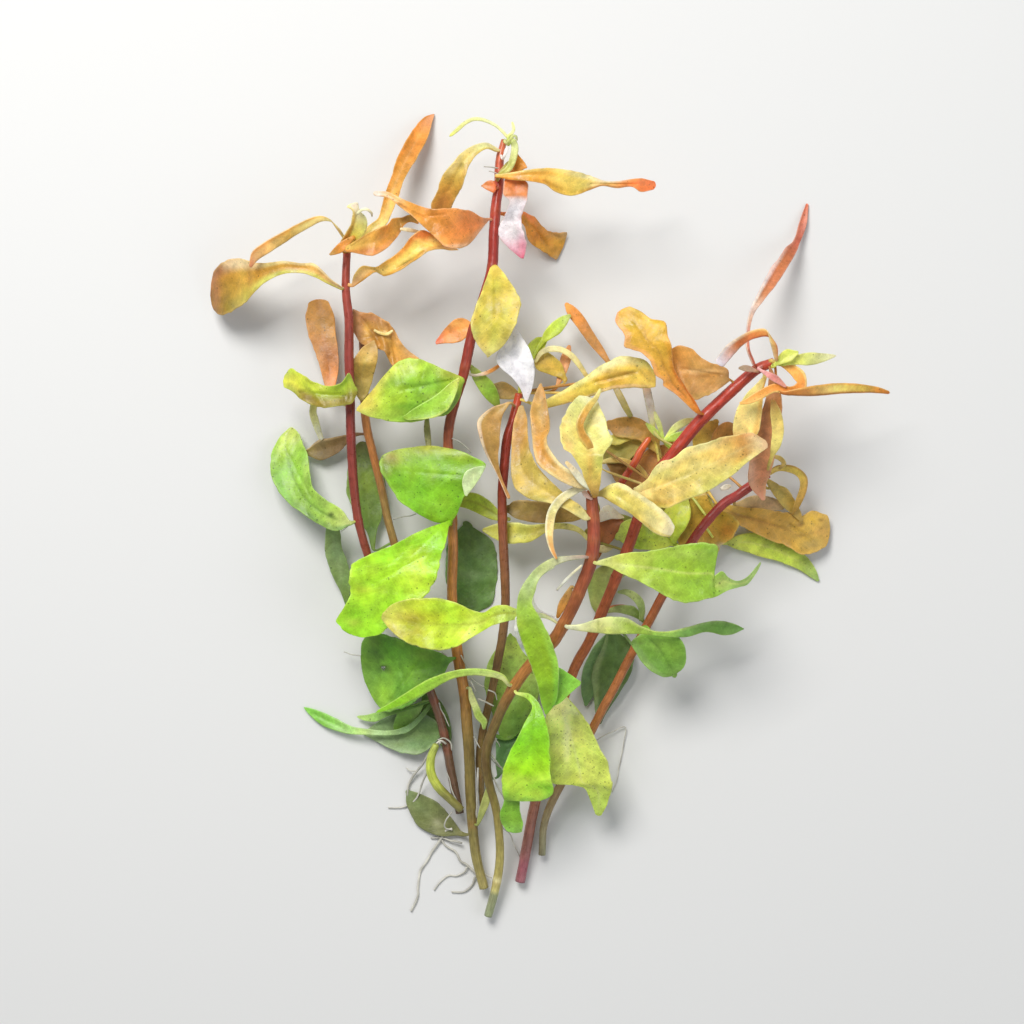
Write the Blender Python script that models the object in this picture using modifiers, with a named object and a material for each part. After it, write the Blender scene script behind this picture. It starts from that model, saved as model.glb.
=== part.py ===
"""Ammannia, an aquarium stem plant, pulled and laid down on its back.

+X is the plant's right, +Y runs from the rooted foot to the shoot tips, and +Z
faces away from the surface it lies on. Every stem and leaf is laid out in a
plan seen from above: plan units across, millimetres up. A plan unit is
UNIT_MM wide on the surface and a little less higher up, because the plan is
seen from EYE_MM above it. The pieces are listed from the lowest to the
highest, and each one is laid clear of those under it.
"""
import math

import bmesh
import bpy
import numpy as np

# ---- driving dimensions -----------------------------------------------------
UNIT_MM = 0.25          # one plan unit on the surface
EYE_MM = 604.0          # height from which the plan is seen
EYE_U, EYE_V = 512.0, 512.0      # plan point straight under the eye
ORIGIN_U, ORIGIN_V = 543.3, 515.3  # plan point of the model's origin
BLADE_MM = 0.6          # thickness of a leaf blade
CLEAR_MM = 0.40         # height kept between two pieces that cross
SKIN_MM = 0.05          # how little a blade may come near the surface
ROOT_MM = 0.9           # thickness of the root tuft's felt
COLLECTION = "ammannia"

# ---- colours (linear) ---------------------------------------------------------
LIME = (0.42, 0.72, 0.03)
GREEN = (0.16, 0.40, 0.03)
DARK_GREEN = (0.05, 0.13, 0.02)
OLIVE = (0.36, 0.38, 0.06)
YELLOW = (0.72, 0.60, 0.14)
PALE = (0.80, 0.74, 0.30)
ORANGE = (0.66, 0.24, 0.05)
RUST = (0.56, 0.13, 0.04)
BROWN = (0.34, 0.15, 0.06)
PINK = (0.72, 0.26, 0.20)
WHITE = (0.80, 0.74, 0.78)
STEM_RED = (0.40, 0.03, 0.015)
STEM_ORANGE = (0.42, 0.15, 0.04)
STEM_BROWN = (0.18, 0.09, 0.04)
STEM_OLIVE = (0.30, 0.25, 0.06)
STEM_PINK = (0.36, 0.10, 0.07)
ROOT_WHITE = (0.62, 0.60, 0.52)

# ---- the plan -----------------------------------------------------------------
# A blade's stations run from its base to its tip. (u, v, z, width) is a point on
# the midrib with the width across it; (lu, lv, ru, rv, z) gives its left and
# right edge, as seen when looking towards the tip. cup raises both edges, and
# roll raises the right one and lowers the left one, as a share of half the width.
# A stem's stations are (u, v, z, width).
PLAN = [
    ("leaf_back_flat", "blade", DARK_GREEN, [
        (470, 612, 478, 612, 0.3), (455, 601, 492, 603, 0.3), (446, 585, 497, 581, 0.3),
        (445, 560, 497, 558, 0.3), (451, 538, 491, 540, 0.3), (463, 525, 473, 527, 0.3)], {"flat": True}),
    ("root_tuft", "felt", ROOT_WHITE, [
        (478, 870, 462, 846, 0.5), (470, 884, 444, 842, 0.5), (456, 893, 428, 850, 0.5),
        (438, 898, 417, 868, 0.5), (420, 908, 411, 900, 0.5)], {}),
    ("leaves_lower_back", "blade", DARK_GREEN, [
        (304, 712, 304, 707, 0.36), (325, 724, 325, 717, 0.36), (346, 735, 346, 727, 0.36), (372, 748, 372, 730, 0.6),
        (404, 766, 404, 718, 0.8), (432, 788, 432, 700, 0.8), (466, 786, 470, 684, 1.0), (498, 762, 503, 648, 1.0),
        (520, 736, 526, 650, 1.2), (538, 700, 540, 676, 1.2)], {}),
    ("leaves_left_back", "blade", BROWN, [
        (310, 295, 322, 295, 5.5), (306, 322, 337, 322, 5.5), (308, 350, 352, 348, 5.0), (322, 385, 371, 380, 4.0),
        (326, 425, 368, 420, 2.8), (330, 465, 382, 460, 1.6), (340, 505, 383, 500, 0.9), (330, 545, 362, 545, 0.5),
        (332, 580, 350, 580, 0.36), (341, 602, 348, 602, 0.36)], {}),
    ("leaves_right_low_back", "blade", DARK_GREEN, [
        (596, 568, 622, 570, 4.0), (584, 590, 622, 592, 4.0), (582, 612, 632, 612, 3.5),
        (590, 636, 636, 634, 3.0), (590, 662, 634, 660, 2.0), (592, 692, 620, 690, 1.2),
        (596, 720, 603, 721, 1.0)], {}),
    ("leaf_top_back", "blade", ORANGE, [
        (504, 214, 10, 4), (521, 221, 9.4, 15), (538, 236, 6.4, 25), (552, 246, 3, 26),
        (561, 246, 1.0, 22), (566, 244, 0.4, 12)], {"cup": 0.1}),
    ("leaves_right_low", "blade", OLIVE, [
        (716, 502, 714, 509, 3.6), (738, 505, 735, 522, 3.2), (762, 507, 758, 545, 2.4),
        (787, 509, 780, 562, 1.4), (809, 513, 802, 572, 0.6), (826, 526, 815, 577, 0.36),
        (829, 540, 821, 580, 0.36)], {}),
    ("leaves_middle_back", "blade", BROWN, [
        (606, 424, 602, 540, 5.5), (628, 414, 624, 548, 5.5), (652, 416, 648, 551, 5.2),
        (676, 414, 672, 551, 5.0), (700, 418, 704, 550, 4.6), (722, 424, 730, 544, 3.8),
        (735, 432, 748, 532, 3.2)], {}),
    ("stem_left_back", "stem", STEM_ORANGE, [
        (362, 318, 9.0, 8), (364, 360, 9.2, 8), (365, 415, 9.0, 8), (372, 450, 8.6, 8), (382, 490, 8.2, 8),
        (388, 520, 8.0, 8), (395, 545, 7.6, 8), (408, 590, 7.0, 8), (421, 632, 6.4, 8), (436.5, 676, 5.6, 7.5)], {}),
    ("stem_right_back", "stem", STEM_RED, [
        (768, 474, 9.5, 8), (755, 483, 9.6, 9), (738, 495, 9.6, 9), (720, 507, 9.4, 9), (690, 545, 8.6, 9),
        (655, 610, 7.4, 9), (618, 680, 6.2, 9), (582, 748, 5.0, 9), (556, 793, 3.8, 8.5), (544, 824, 2.9, 7.5),
        (542, 855, 2.2, 7)], {}),
    ("leaf_left_brown", "blade", BROWN, [
        (353, 318, 353, 326, 11.5), (365, 311, 362, 340, 12), (382, 318, 372, 356, 12), (398, 332, 388, 362, 11.6),
        (412, 347, 405, 362, 11), (421, 358, 417, 363, 10.6)], {"cup": 0.1}),
    ("leaves_centre_left", "blade", YELLOW, [
        (477, 404, 470, 369, 8.0), (502, 398, 488, 362, 8.4), (524, 390, 510, 350, 8.4),
        (546, 378, 530, 344, 8.6), (562, 374, 546, 334, 8.8), (586, 366, 560, 322, 8.8),
        (602, 350, 576, 316, 8.4), (604, 341, 570, 308, 8.4)], {}),
    ("leaves_front_left", "blade", OLIVE, [
        (582, 534, 581, 512, 17.0), (566, 532, 566, 504, 15.0), (545, 536, 545, 501, 13.0),
        (522, 540, 520, 500, 10.6), (500, 524, 498, 506, 9.2), (480, 517, 480, 496, 8.4),
        (462, 508, 463, 495, 8.0)], {}),
    ("stem_middle", "stem", STEM_RED, [
        (519, 394, 13.0, 7), (513, 420, 13.2, 9), (507, 440, 13.2, 9), (504, 470, 13.0, 9), (502, 500, 12.6, 9),
        (503, 540, 12.0, 9), (505, 580, 10.8, 9), (505, 610, 9.6, 9), (501, 645, 8.2, 9), (493, 685, 6.6, 8.5),
        (484, 725, 5.2, 8), (479, 760, 4.4, 7.5), (481, 786, 4.0, 6.5), (482, 807, 3.8, 5)], {}),
    ("stem_left", "stem", STEM_RED, [
        (347, 252, 15.5, 7), (346, 290, 15.6, 8), (349, 320, 15.6, 8.5), (349, 360, 15.4, 9), (350, 400, 15.0, 9),
        (351, 437, 14.4, 9), (355, 500, 13.4, 9), (363, 540, 12.6, 8.5), (374, 570, 11.8, 8.5), (392, 605, 10.8, 8.5),
        (414, 650, 9.4, 8.5), (430, 690, 8.0, 8.5), (443, 730, 6.6, 8.5), (452, 775, 5.2, 8.5), (460, 813, 4.2, 8)], {}),
    ("stem_tall", "stem", STEM_ORANGE, [
        (504, 140, 15.5, 5), (500, 160, 15.8, 8), (499, 185, 16.0, 9), (496, 205, 16.0, 9.5), (494, 235, 15.8, 10),
        (492, 268, 15.4, 10), (483, 300, 15.0, 10), (472, 335, 14.6, 10), (463, 375, 14.0, 10), (453, 408, 13.4, 10),
        (448, 440, 12.8, 10), (451, 490, 12.2, 10), (453, 540, 11.6, 10), (452, 600, 10.6, 10), (457, 650, 9.4, 10.5),
        (465, 700, 7.8, 10.5), (469, 750, 6.2, 10.5), (471, 800, 4.6, 10), (475, 850, 3.2, 9.5), (484, 888, 2.0, 9)], {}),
    ("side_shoot", "stem", STEM_OLIVE, [
        (436, 745, 9.0, 6.5), (431, 758, 8.6, 8), (431, 773, 8.2, 8.5), (438, 787, 7.8, 8.5), (450, 799, 7.4, 8),
        (461.5, 810, 7.2, 7)], {}),
    # leaves of the left and the tall stem
    ("leaf_left_paddle", "blade", YELLOW, [
        (340, 288, 16.5, 4), (325, 277, 18, 7), (308, 268, 19, 11), (285, 267, 19, 12), (264, 269, 17.5, 16),
        (248, 275, 14.5, 30), (234, 284, 10.5, 44), (221, 298, 6.5, 34), (214, 311, 4, 8)], {"cup": 0.12}),
    ("leaf_left_arch", "blade", ORANGE, [
        (344, 238, 17, 4), (337, 226, 20, 6), (323, 220, 22, 7), (305, 227, 22, 9), (285, 238, 21, 10),
        (266, 247, 20.5, 10), (255, 255, 20.5, 7), (250, 266, 20.5, 3)], {"roll": 0.5}),
    ("leaf_left_tall", "blade", ORANGE, [
        (354, 248, 16.4, 4), (363, 240, 16.4, 6), (374, 228, 16, 9), (383, 211, 14.6, 13), (390, 194, 12.6, 16),
        (398, 176, 10, 18), (409, 153, 7, 19), (420, 134, 3.6, 13), (428, 121, 1.6, 8), (433, 115.5, 0.8, 3)], {"cup": 0.2}),
    ("leaf_left_young", "blade", PALE, [
        (347, 244, 18, 5), (352, 232, 21, 12), (354, 216, 24, 14), (352, 207, 26, 9), (346, 208, 27, 4)], {"cup": 0.35}),
    ("leaf_gold_arch", "blade", YELLOW, [
        (496, 149, 17.5, 4), (487, 146, 20, 7), (476, 150, 21.6, 11), (465, 161, 22, 15), (457, 174, 21.4, 18),
        (450, 187, 20, 18), (443, 201, 18, 16), (438, 210, 16.5, 6)], {"cup": 0.2}),
    ("leaf_left_peach", "blade", ORANGE, [
        (355, 243, 354, 250, 18.0), (367, 233, 367, 255, 20), (382, 222, 384, 255, 21.4), (394, 217, 396, 249, 21.6),
        (402, 214, 403, 236, 21.2), (412, 214, 412, 226, 20.6), (421, 217, 421, 222, 20)], {"cup": 0.2}),
    ("leaf_left_yellow", "blade", ORANGE, [
        (354, 284, 17.5, 4), (365, 273, 20.5, 9), (385, 268, 23, 13), (405, 258, 24.0, 19), (425, 244, 24.0, 22),
        (444, 247, 23.0, 12), (459, 249, 22, 4)], {"cup": 0.2}),
    ("leaf_rust", "blade", RUST, [
        (488, 221, 488, 218, 18.5), (480, 231, 481, 217, 21.5), (470, 243, 471, 211, 24.5), (459, 248, 459, 209, 26.4),
        (446, 246, 447, 209, 27.2), (433, 235, 434, 208.5, 27.4), (421, 224, 424, 207, 27.4), (411, 215, 413, 203, 27.2),
        (399, 206, 401, 198, 26.8), (388, 198, 388, 192, 26.2), (376, 196, 376, 191, 25.6)], {"cup": 0.12}),
    ("tip_leaves_tall", "blade", LIME, [
        (513, 160, 19.4, 6), (515, 150, 20, 7), (510, 139, 20.4, 6), (498, 124, 20.6, 5),
        (484, 118.5, 20.6, 4), (469, 120, 20, 4), (459, 128, 19.4, 4), (451, 135, 19, 3)], {}),
    ("leaf_top_right", "blade", ORANGE, [
        (504, 176, 18.0, 4), (528, 176, 20, 12), (553, 180, 22, 23), (573, 183, 23, 26), (588, 183, 23.4, 15),
        (600, 183, 23.4, 7), (618, 184, 23, 10), (640, 185, 22, 12), (652, 185, 21, 8), (659, 185, 20, 3)], {"cup": 0.15}),
    ("leaf_hanging_pink", "blade", PINK, [
        (507, 158, 21, 6), (515, 168, 24.5, 19), (518, 182, 26.5, 22), (517, 197, 26.8, 17), (514, 212, 26.5, 22),
        (513, 231, 25.5, 25), (517, 246, 24.5, 17), (523, 257, 23.5, 4)], {"cup": 0.18}),
    ("leaf_white", "blade", WHITE, [
        (498, 312, 494, 314, 17.2), (512, 320, 505, 324, 18.2), (525, 342, 503, 346, 19.0), (534, 360, 497, 359, 19.0),
        (534, 373, 506, 373, 18.6), (531, 387, 516, 387, 18.0), (526, 401, 523, 402, 17.2)], {"cup": 0.12}),
    ("leaf_olive_facing", "blade", OLIVE, [
        (498, 266, 490, 268, 18.5), (508, 278, 483, 288, 21), (519, 297, 475, 308, 23.5), (520, 312, 471, 325, 24.2),
        (512, 333, 476, 341, 24), (502, 347, 482, 350, 23.2), (491, 355, 487, 356, 22.4)], {"cup": 0.14}),
    ("leaf_left_green", "blade", GREEN, [
        (356, 392, 354, 385, 18.4), (349, 402, 349, 372, 19.5), (337, 406, 337, 384, 20), (321, 407, 319, 381, 19.5),
        (306, 402, 304, 372, 18), (294, 397, 292, 367, 16), (285, 391, 285, 375, 14), (282, 388, 282, 383, 13)],
        {"cup": 0.2}),
    ("leaf_green_folded", "blade", GREEN, [
        (461, 381, 461, 376, 17.6), (453, 407, 454, 372, 19.5), (438, 416, 440, 368, 21), (420, 422, 424, 361, 22),
        (400, 422, 407, 359, 22), (384, 419, 391, 364, 21), (369, 415, 376, 382, 19.5), (358, 412, 357, 407, 18.4)],
        {"cup": -0.12}),
    ("leaf_left_spotted", "blade", GREEN, [
        (348, 526, 349, 520, 14.5), (337, 531, 341, 509, 13.5), (322, 526, 326, 500, 11.5), (303, 514, 313, 488, 9.5),
        (285, 500, 310, 471, 7.5), (272, 478, 307, 454, 5.5), (271, 456, 301, 438, 3.6), (279, 438, 296, 430, 2.4),
        (289, 428, 293, 428, 2.0)], {"cup": 0.14}),
    ("leaf_dark_low_left", "blade", DARK_GREEN, [
        (449, 664, 448, 657, 12.8), (440, 681, 436, 651, 12.8), (425, 694, 415, 645, 12.4), (409, 705, 399, 638, 11.5),
        (395, 711, 383, 634, 10), (381, 709, 369, 635, 8.4), (368, 690, 359, 645, 7)], {"cup": 0.1}),
    ("leaf_green_large", "blade", GREEN, [
        (446, 521, 451, 519, 15.5), (430, 515, 458, 507, 17.5), (404, 501, 470, 488, 19.5), (386, 482, 485, 468, 20),
        (380, 463, 478, 459, 19.5), (387, 450, 457, 449, 18.5), (418, 447, 440, 446, 18)], {"cup": 0.1}),
    ("leaf_bright_down", "blade", LIME, [
        (448, 528, 443, 524, 16), (447, 545, 416, 535, 18.5), (438, 572, 376, 552, 20.5), (421, 599, 349, 575, 21),
        (390, 620, 347, 600, 20.5), (369, 636, 338, 620, 19.5), (356, 633, 344, 627, 19)], {"cup": 0.1}),
    ("leaf_lime_across", "blade", LIME, [
        (541, 618, 541, 613, 20.5), (519, 618, 519, 609, 22), (503, 622, 503, 606, 23.4), (487, 631, 487, 611, 24.6),
        (462, 645, 460, 601, 25.4), (438, 650, 432, 598, 25.4), (409, 641, 409, 601, 24.8), (393, 630, 392, 609, 24.2),
        (383, 620, 383, 616, 23.6)], {"cup": 0.12}),
    # the right stem and its leaves
    ("stem_right", "stem", STEM_RED, [
        (774, 362, 22.5, 8), (755, 370.5, 22.2, 10), (733, 389.5, 21.6, 11), (711, 410, 20.6, 11.5), (692, 430, 19.6, 12),
        (671, 457, 18.4, 12), (651, 485, 17.2, 12), (627, 550, 15.0, 11), (607, 600, 12.6, 11), (590, 640, 10.4, 10.5),
        (573, 672, 8.6, 10.5), (550, 740, 5.6, 10), (535, 805, 3.4, 10), (528, 840, 2.6, 10), (520, 882, 2.0, 9.5)], {}),
    ("leaf_right_pink", "blade", PINK, [
        (772, 376, 25, 6), (774, 396, 24, 15), (771, 420, 22, 22), (766, 445, 20, 23), (761, 466, 18, 23),
        (758, 484, 16, 18), (763, 498, 14.5, 5)], {"cup": 0.15}),
    ("leaf_right_brown", "blade", BROWN, [
        (730, 381, 728, 378, 22.8), (719, 389, 727, 369, 23.4), (705, 397, 706, 361, 23.8), (695, 399, 693, 349, 24),
        (683, 388, 681, 346, 24), (673, 371, 671, 349, 23.4)], {"cup": 0.1}),
    ("leaf_golden_long", "blade", YELLOW, [
        (547, 400, 549, 406, 18), (565, 391, 568, 402, 20), (585, 379, 588, 396, 22), (600, 368, 603, 391, 23.6),
        (615, 358, 617, 389, 24.4), (630, 356, 632, 387, 24.4), (645, 361, 645, 385, 23.8), (654, 373, 653, 384, 23),
        (658, 379, 657, 383, 22.4)], {"cup": -0.2}),
    ("leaf_big_orange", "blade", ORANGE, [
        (692, 408, 697, 405, 24.2), (681, 400, 690, 395, 25.2), (664, 388, 680, 379, 26.6), (656, 375, 675, 362, 27.6),
        (648, 358, 672, 347, 28), (631, 348, 670, 337, 28), (623, 335, 664, 321, 27.4), (617, 324, 648, 317, 26.4),
        (617, 314, 637, 308, 25.4), (623, 309, 629, 307, 25)], {"cup": 0.08}),
    ("leaf_right_tall", "blade", PINK, [
        (753, 362, 25, 3.5), (748, 348, 25, 3.5), (748, 330, 23, 4), (752, 312, 20, 5), (761, 297, 16, 9),
        (775, 275, 10.5, 13), (789, 253, 5.5, 12), (797, 241, 3, 7), (803, 223, 1.2, 8), (807, 205, 0.5, 3)], {"cup": 0.3}),
    ("tip_leaves_right", "blade", YELLOW, [
        (740, 450, 746, 452, 24.5), (734, 425, 760, 430, 25.0), (740, 402, 764, 406, 25.5), (752, 384, 774, 390, 26.0),
        (772, 372, 788, 386, 26.4), (790, 354, 798, 370, 26.2), (812, 352, 814, 363, 25.0), (834, 354.5, 834, 357.5, 23.5)], {}),
    ("leaf_right_arch", "blade", ORANGE, [
        (776, 357, 27.6, 4), (774, 340, 31, 8), (763, 332, 33, 10), (750, 336, 33.4, 12), (739, 345, 32.6, 12),
        (728, 356, 31, 12), (717, 366, 29, 5)], {"roll": 0.4}),
    ("leaf_right_far", "blade", ORANGE, [
        (787, 393, 27, 4), (800, 392, 28, 9), (818, 389, 28, 12), (840, 387, 27, 13), (860, 388, 25.4, 11),
        (878, 390, 23.4, 7), (889, 393, 22, 3)], {"roll": -0.35}),
    ("leaf_big_pale", "blade", PALE, [
        (634, 487, 635, 492, 25), (647, 477, 650, 499, 27), (664, 465, 666, 500, 28.6), (690, 451, 692, 496, 29.8),
        (722, 438, 719, 485, 30), (750, 433, 744, 469, 29.6), (764, 439, 760, 458, 28.8), (772, 448, 770, 453, 28)],
        {"cup": 0.1}),
    ("leaf_brown_hanging", "blade", BROWN, [
        (509, 405, 505, 403, 17.0), (503, 415, 491, 408, 17.2), (500, 429, 478, 420, 17), (499, 444, 480, 440, 16.8),
        (498, 460, 488, 458, 16.6), (502, 478, 497, 475, 16.4), (510, 496, 507, 498, 16)], {"cup": 0.2}),
    # the front stem and its leaves
    ("leaf_pale_low", "blade", PALE, [
        (564, 699, 559, 701, 12), (580, 713, 549, 717, 14), (592, 730, 547, 738, 15), (603, 755, 548, 760, 15.2),
        (611, 776, 551, 783, 14), (612, 793, 584, 790, 12), (606, 809, 591, 806, 10), (600, 819, 596, 818, 8.6)],
        {"cup": 0.08}),
    ("leaf_hanging_right", "blade", GREEN, [
        (652, 631, 640, 634, 18.6), (667, 633, 631, 643, 18.8), (680, 639, 638, 657, 18.2), (686, 655, 650, 671, 17),
        (684, 667, 663, 677, 16), (677, 673, 672, 676, 15.4)], {"cup": 0.1}),
    ("stem_front", "stem", STEM_ORANGE, [
        (592, 492, 27.0, 10), (592, 500, 27.0, 11), (594, 530, 26.4, 12), (591, 560, 25.4, 12), (580, 590, 23.8, 12),
        (568, 616, 22.0, 12), (554, 640, 20.2, 12), (531, 664, 17.6, 11.5), (512, 690, 15.4, 11), (497, 720, 13.2, 10),
        (487, 750, 11.2, 10), (488, 778, 9.2, 9), (496, 810, 7.0, 8.5), (500, 850, 4.6, 8.5), (497, 882, 3.0, 8.5),
        (488, 916, 2.0, 8)], {}),
    ("leaf_right_lime", "blade", LIME, [
        (568, 625, 568, 629, 23.6), (581, 624, 581, 631, 24), (597, 619, 597, 633, 24.4), (612, 617, 612, 634, 24.4),
        (628, 619, 628, 634, 24), (641, 626, 640, 634, 23), (655, 631, 654, 635.5, 22), (670, 631, 671, 637, 21),
        (688, 627, 688, 637, 20), (705, 622, 706, 632, 18.6), (722, 621, 722, 635, 17), (735, 624, 733, 634, 15.4),
        (743, 628, 742, 630, 14.4)], {"roll": -0.3}),
    ("leaf_arch_low", "blade", LIME, [
        (508, 684, 18.4, 4), (502, 677, 20, 6), (488, 673, 21, 7), (470, 672, 21.4, 7), (452, 675, 21, 8),
        (437, 681, 20, 10), (420, 690, 18, 11), (403, 700, 15.6, 9), (389, 707, 13.6, 6), (379, 711, 12.4, 3)],
        {"roll": 0.4}),
    ("leaf_bright_low", "blade", LIME, [
        (518, 692, 517, 695, 18.4), (528, 692, 526, 697, 19.6), (540, 703, 534, 707, 21.4), (545, 720, 527, 718, 22.4),
        (549, 738, 518, 738, 22.4), (551, 757, 507, 760, 22), (551, 777, 502, 779, 21), (550, 792, 502, 794, 19.6),
        (536, 802, 502, 804, 18.2), (523, 812, 503, 814, 16.8), (521, 824, 504, 826, 15.4), (515, 832, 510, 833, 14.4)],
        {"cup": 0.1}),
    ("leaf_right_large", "blade", LIME, [
        (597, 561, 597, 565, 29), (608, 558, 608, 567, 29.6), (626, 553, 623, 572, 30.4), (647, 551, 641, 583, 31),
        (670, 547, 661, 594, 31.2), (694, 543, 682, 604, 30.8), (715, 549, 702, 603, 30), (713, 572, 716, 598, 29.2),
        (726, 574, 728, 590, 28.6), (741, 577, 742, 588, 28), (752, 570, 754, 581, 27.4), (760, 562, 762, 564, 27)],
        {"cup": 0.1}),
    ("leaf_long_green", "blade", GREEN, [
        (583, 559, 583, 555, 30), (568, 561, 567, 556, 31), (553, 567, 550, 559, 32), (540, 578, 533, 571, 33),
        (532, 591, 521, 588, 33.4), (530, 606, 516, 605, 33.4), (541, 620, 517, 621, 33), (550, 639, 521, 638, 32),
        (558, 660, 529, 661, 30.6), (580, 680, 538, 684, 28.8), (567, 697, 542, 700, 27.2), (549, 712, 545, 714, 26)],
        {"cup": 0.08}),
    ("leaf_rosette_left", "blade", OLIVE, [
        (583, 520, 588, 515, 29), (575, 515, 581, 506, 29.4), (565, 509, 571, 499, 29.6), (552, 504, 560, 490, 29.6),
        (535, 500, 548, 478, 29.2), (520, 493, 537, 466, 28.4), (513, 483, 532, 456, 27.2), (511, 464, 529, 445, 25.6),
        (512, 440, 528, 432, 23.6), (514, 421, 527, 418, 21.8), (518, 409, 524, 408, 20.6)], {"cup": 0.1}),
    ("leaf_rosette_tan", "blade", ORANGE, [
        (585, 489, 589, 484, 30), (577, 488, 580, 476, 31.4), (562, 482, 568, 469, 32.4), (548, 473, 557, 459, 32.4),
        (537, 463, 549, 447, 31.6), (533, 448, 547, 438, 30.4), (531, 430, 550, 428, 28.6), (530, 411, 548, 409, 26.6),
        (535, 394, 545, 393, 24.8), (539, 385, 542, 385, 23.8)], {"cup": 0.12}),
    ("leaf_rosette_up", "blade", PALE, [
        (588, 489, 599, 489, 31), (584, 475, 602, 474, 33), (574, 457, 603, 458, 34.6), (560, 441, 611, 440, 35),
        (561, 425, 607, 424, 34.8), (569, 408, 601, 410, 34), (577, 396, 594, 397, 32.6), (594, 389, 598, 391, 31.6)],
        {"cup": 0.1}),
    ("leaf_tongue", "blade", PALE, [
        (600, 492, 600, 497, 31), (609, 484, 609, 502, 33.4), (622, 482, 621, 510, 35), (637, 489, 635, 519, 36),
        (652, 503, 647, 528, 36), (665, 517, 659, 534, 35), (675, 530, 670, 535, 33.4)], {"cup": -0.12}),
]

# ---- laying the plan out ------------------------------------------------------


def to_space(u, v, z):
    """A plan point at a height in millimetres, as a place in metres."""
    k = UNIT_MM * (1.0 - z / EYE_MM)
    x = (u - EYE_U) * k + (EYE_U - ORIGIN_U) * UNIT_MM
    y = (EYE_V - v) * k + (ORIGIN_V - EYE_V) * UNIT_MM
    return np.stack([x, y, z], axis=-1) * 0.001


def through(points, t):
    """A smooth curve through points, read at t from 0 to len(points) - 1."""
    p = np.asarray(points, float)
    p = np.vstack([2 * p[0] - p[1], p, 2 * p[-1] - p[-2]])
    i = np.clip(np.floor(t).astype(int), 0, len(points) - 2)
    f = (t - i)[..., None]
    a, b, c, d = p[i], p[i + 1], p[i + 2], p[i + 3]
    return 0.5 * (2 * b + (c - a) * f + (2 * a - 5 * b + 4 * c - d) * f * f + (3 * b - a - 3 * c + d) * f ** 3)


def edges(stations):
    """Left edge, right edge and height of each station, as rows of five."""
    rows = []
    mids = [((s[0] + s[2]) / 2, (s[1] + s[3]) / 2) if len(s) == 5 else s[:2] for s in stations]
    for i, s in enumerate(stations):
        if len(s) == 5:
            rows.append(s)
            continue
        a, b = mids[max(i - 1, 0)], mids[min(i + 1, len(mids) - 1)]
        du, dv = b[0] - a[0], b[1] - a[1]
        n = math.hypot(du, dv)
        lu, lv = dv / n * s[3] / 2, -du / n * s[3] / 2
        rows.append((s[0] + lu, s[1] + lv, s[0] - lu, s[1] - lv, s[2]))
    return np.array(rows, float)


def blade_point(rows, lift, form, t, s):
    """Plan place and height at t along a blade and s across it, from -1 at the left edge to 1 at the right."""
    e = through(rows, t)
    up = np.interp(t, np.arange(len(lift)), lift)
    a = (1 - s) / 2
    u = e[..., 0] * a + e[..., 2] * (1 - a)
    v = e[..., 1] * a + e[..., 3] * (1 - a)
    half = np.hypot(e[..., 2] - e[..., 0], e[..., 3] - e[..., 1]) / 2 * UNIT_MM
    z = e[..., 4] + up + half * (form.get("cup", 0.0) * np.abs(s) ** 1.6 + form.get("roll", 0.0) * s)
    return u, v, z


def sheet_grid(rows, lift, form, along, across):
    t = np.linspace(0, len(rows) - 1, along + 1)[:, None] * np.ones(across + 1)
    s = np.linspace(-1, 1, across + 1)[None, :] * np.ones((along + 1, 1))
    return blade_point(rows, lift, form, t, s)


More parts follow.
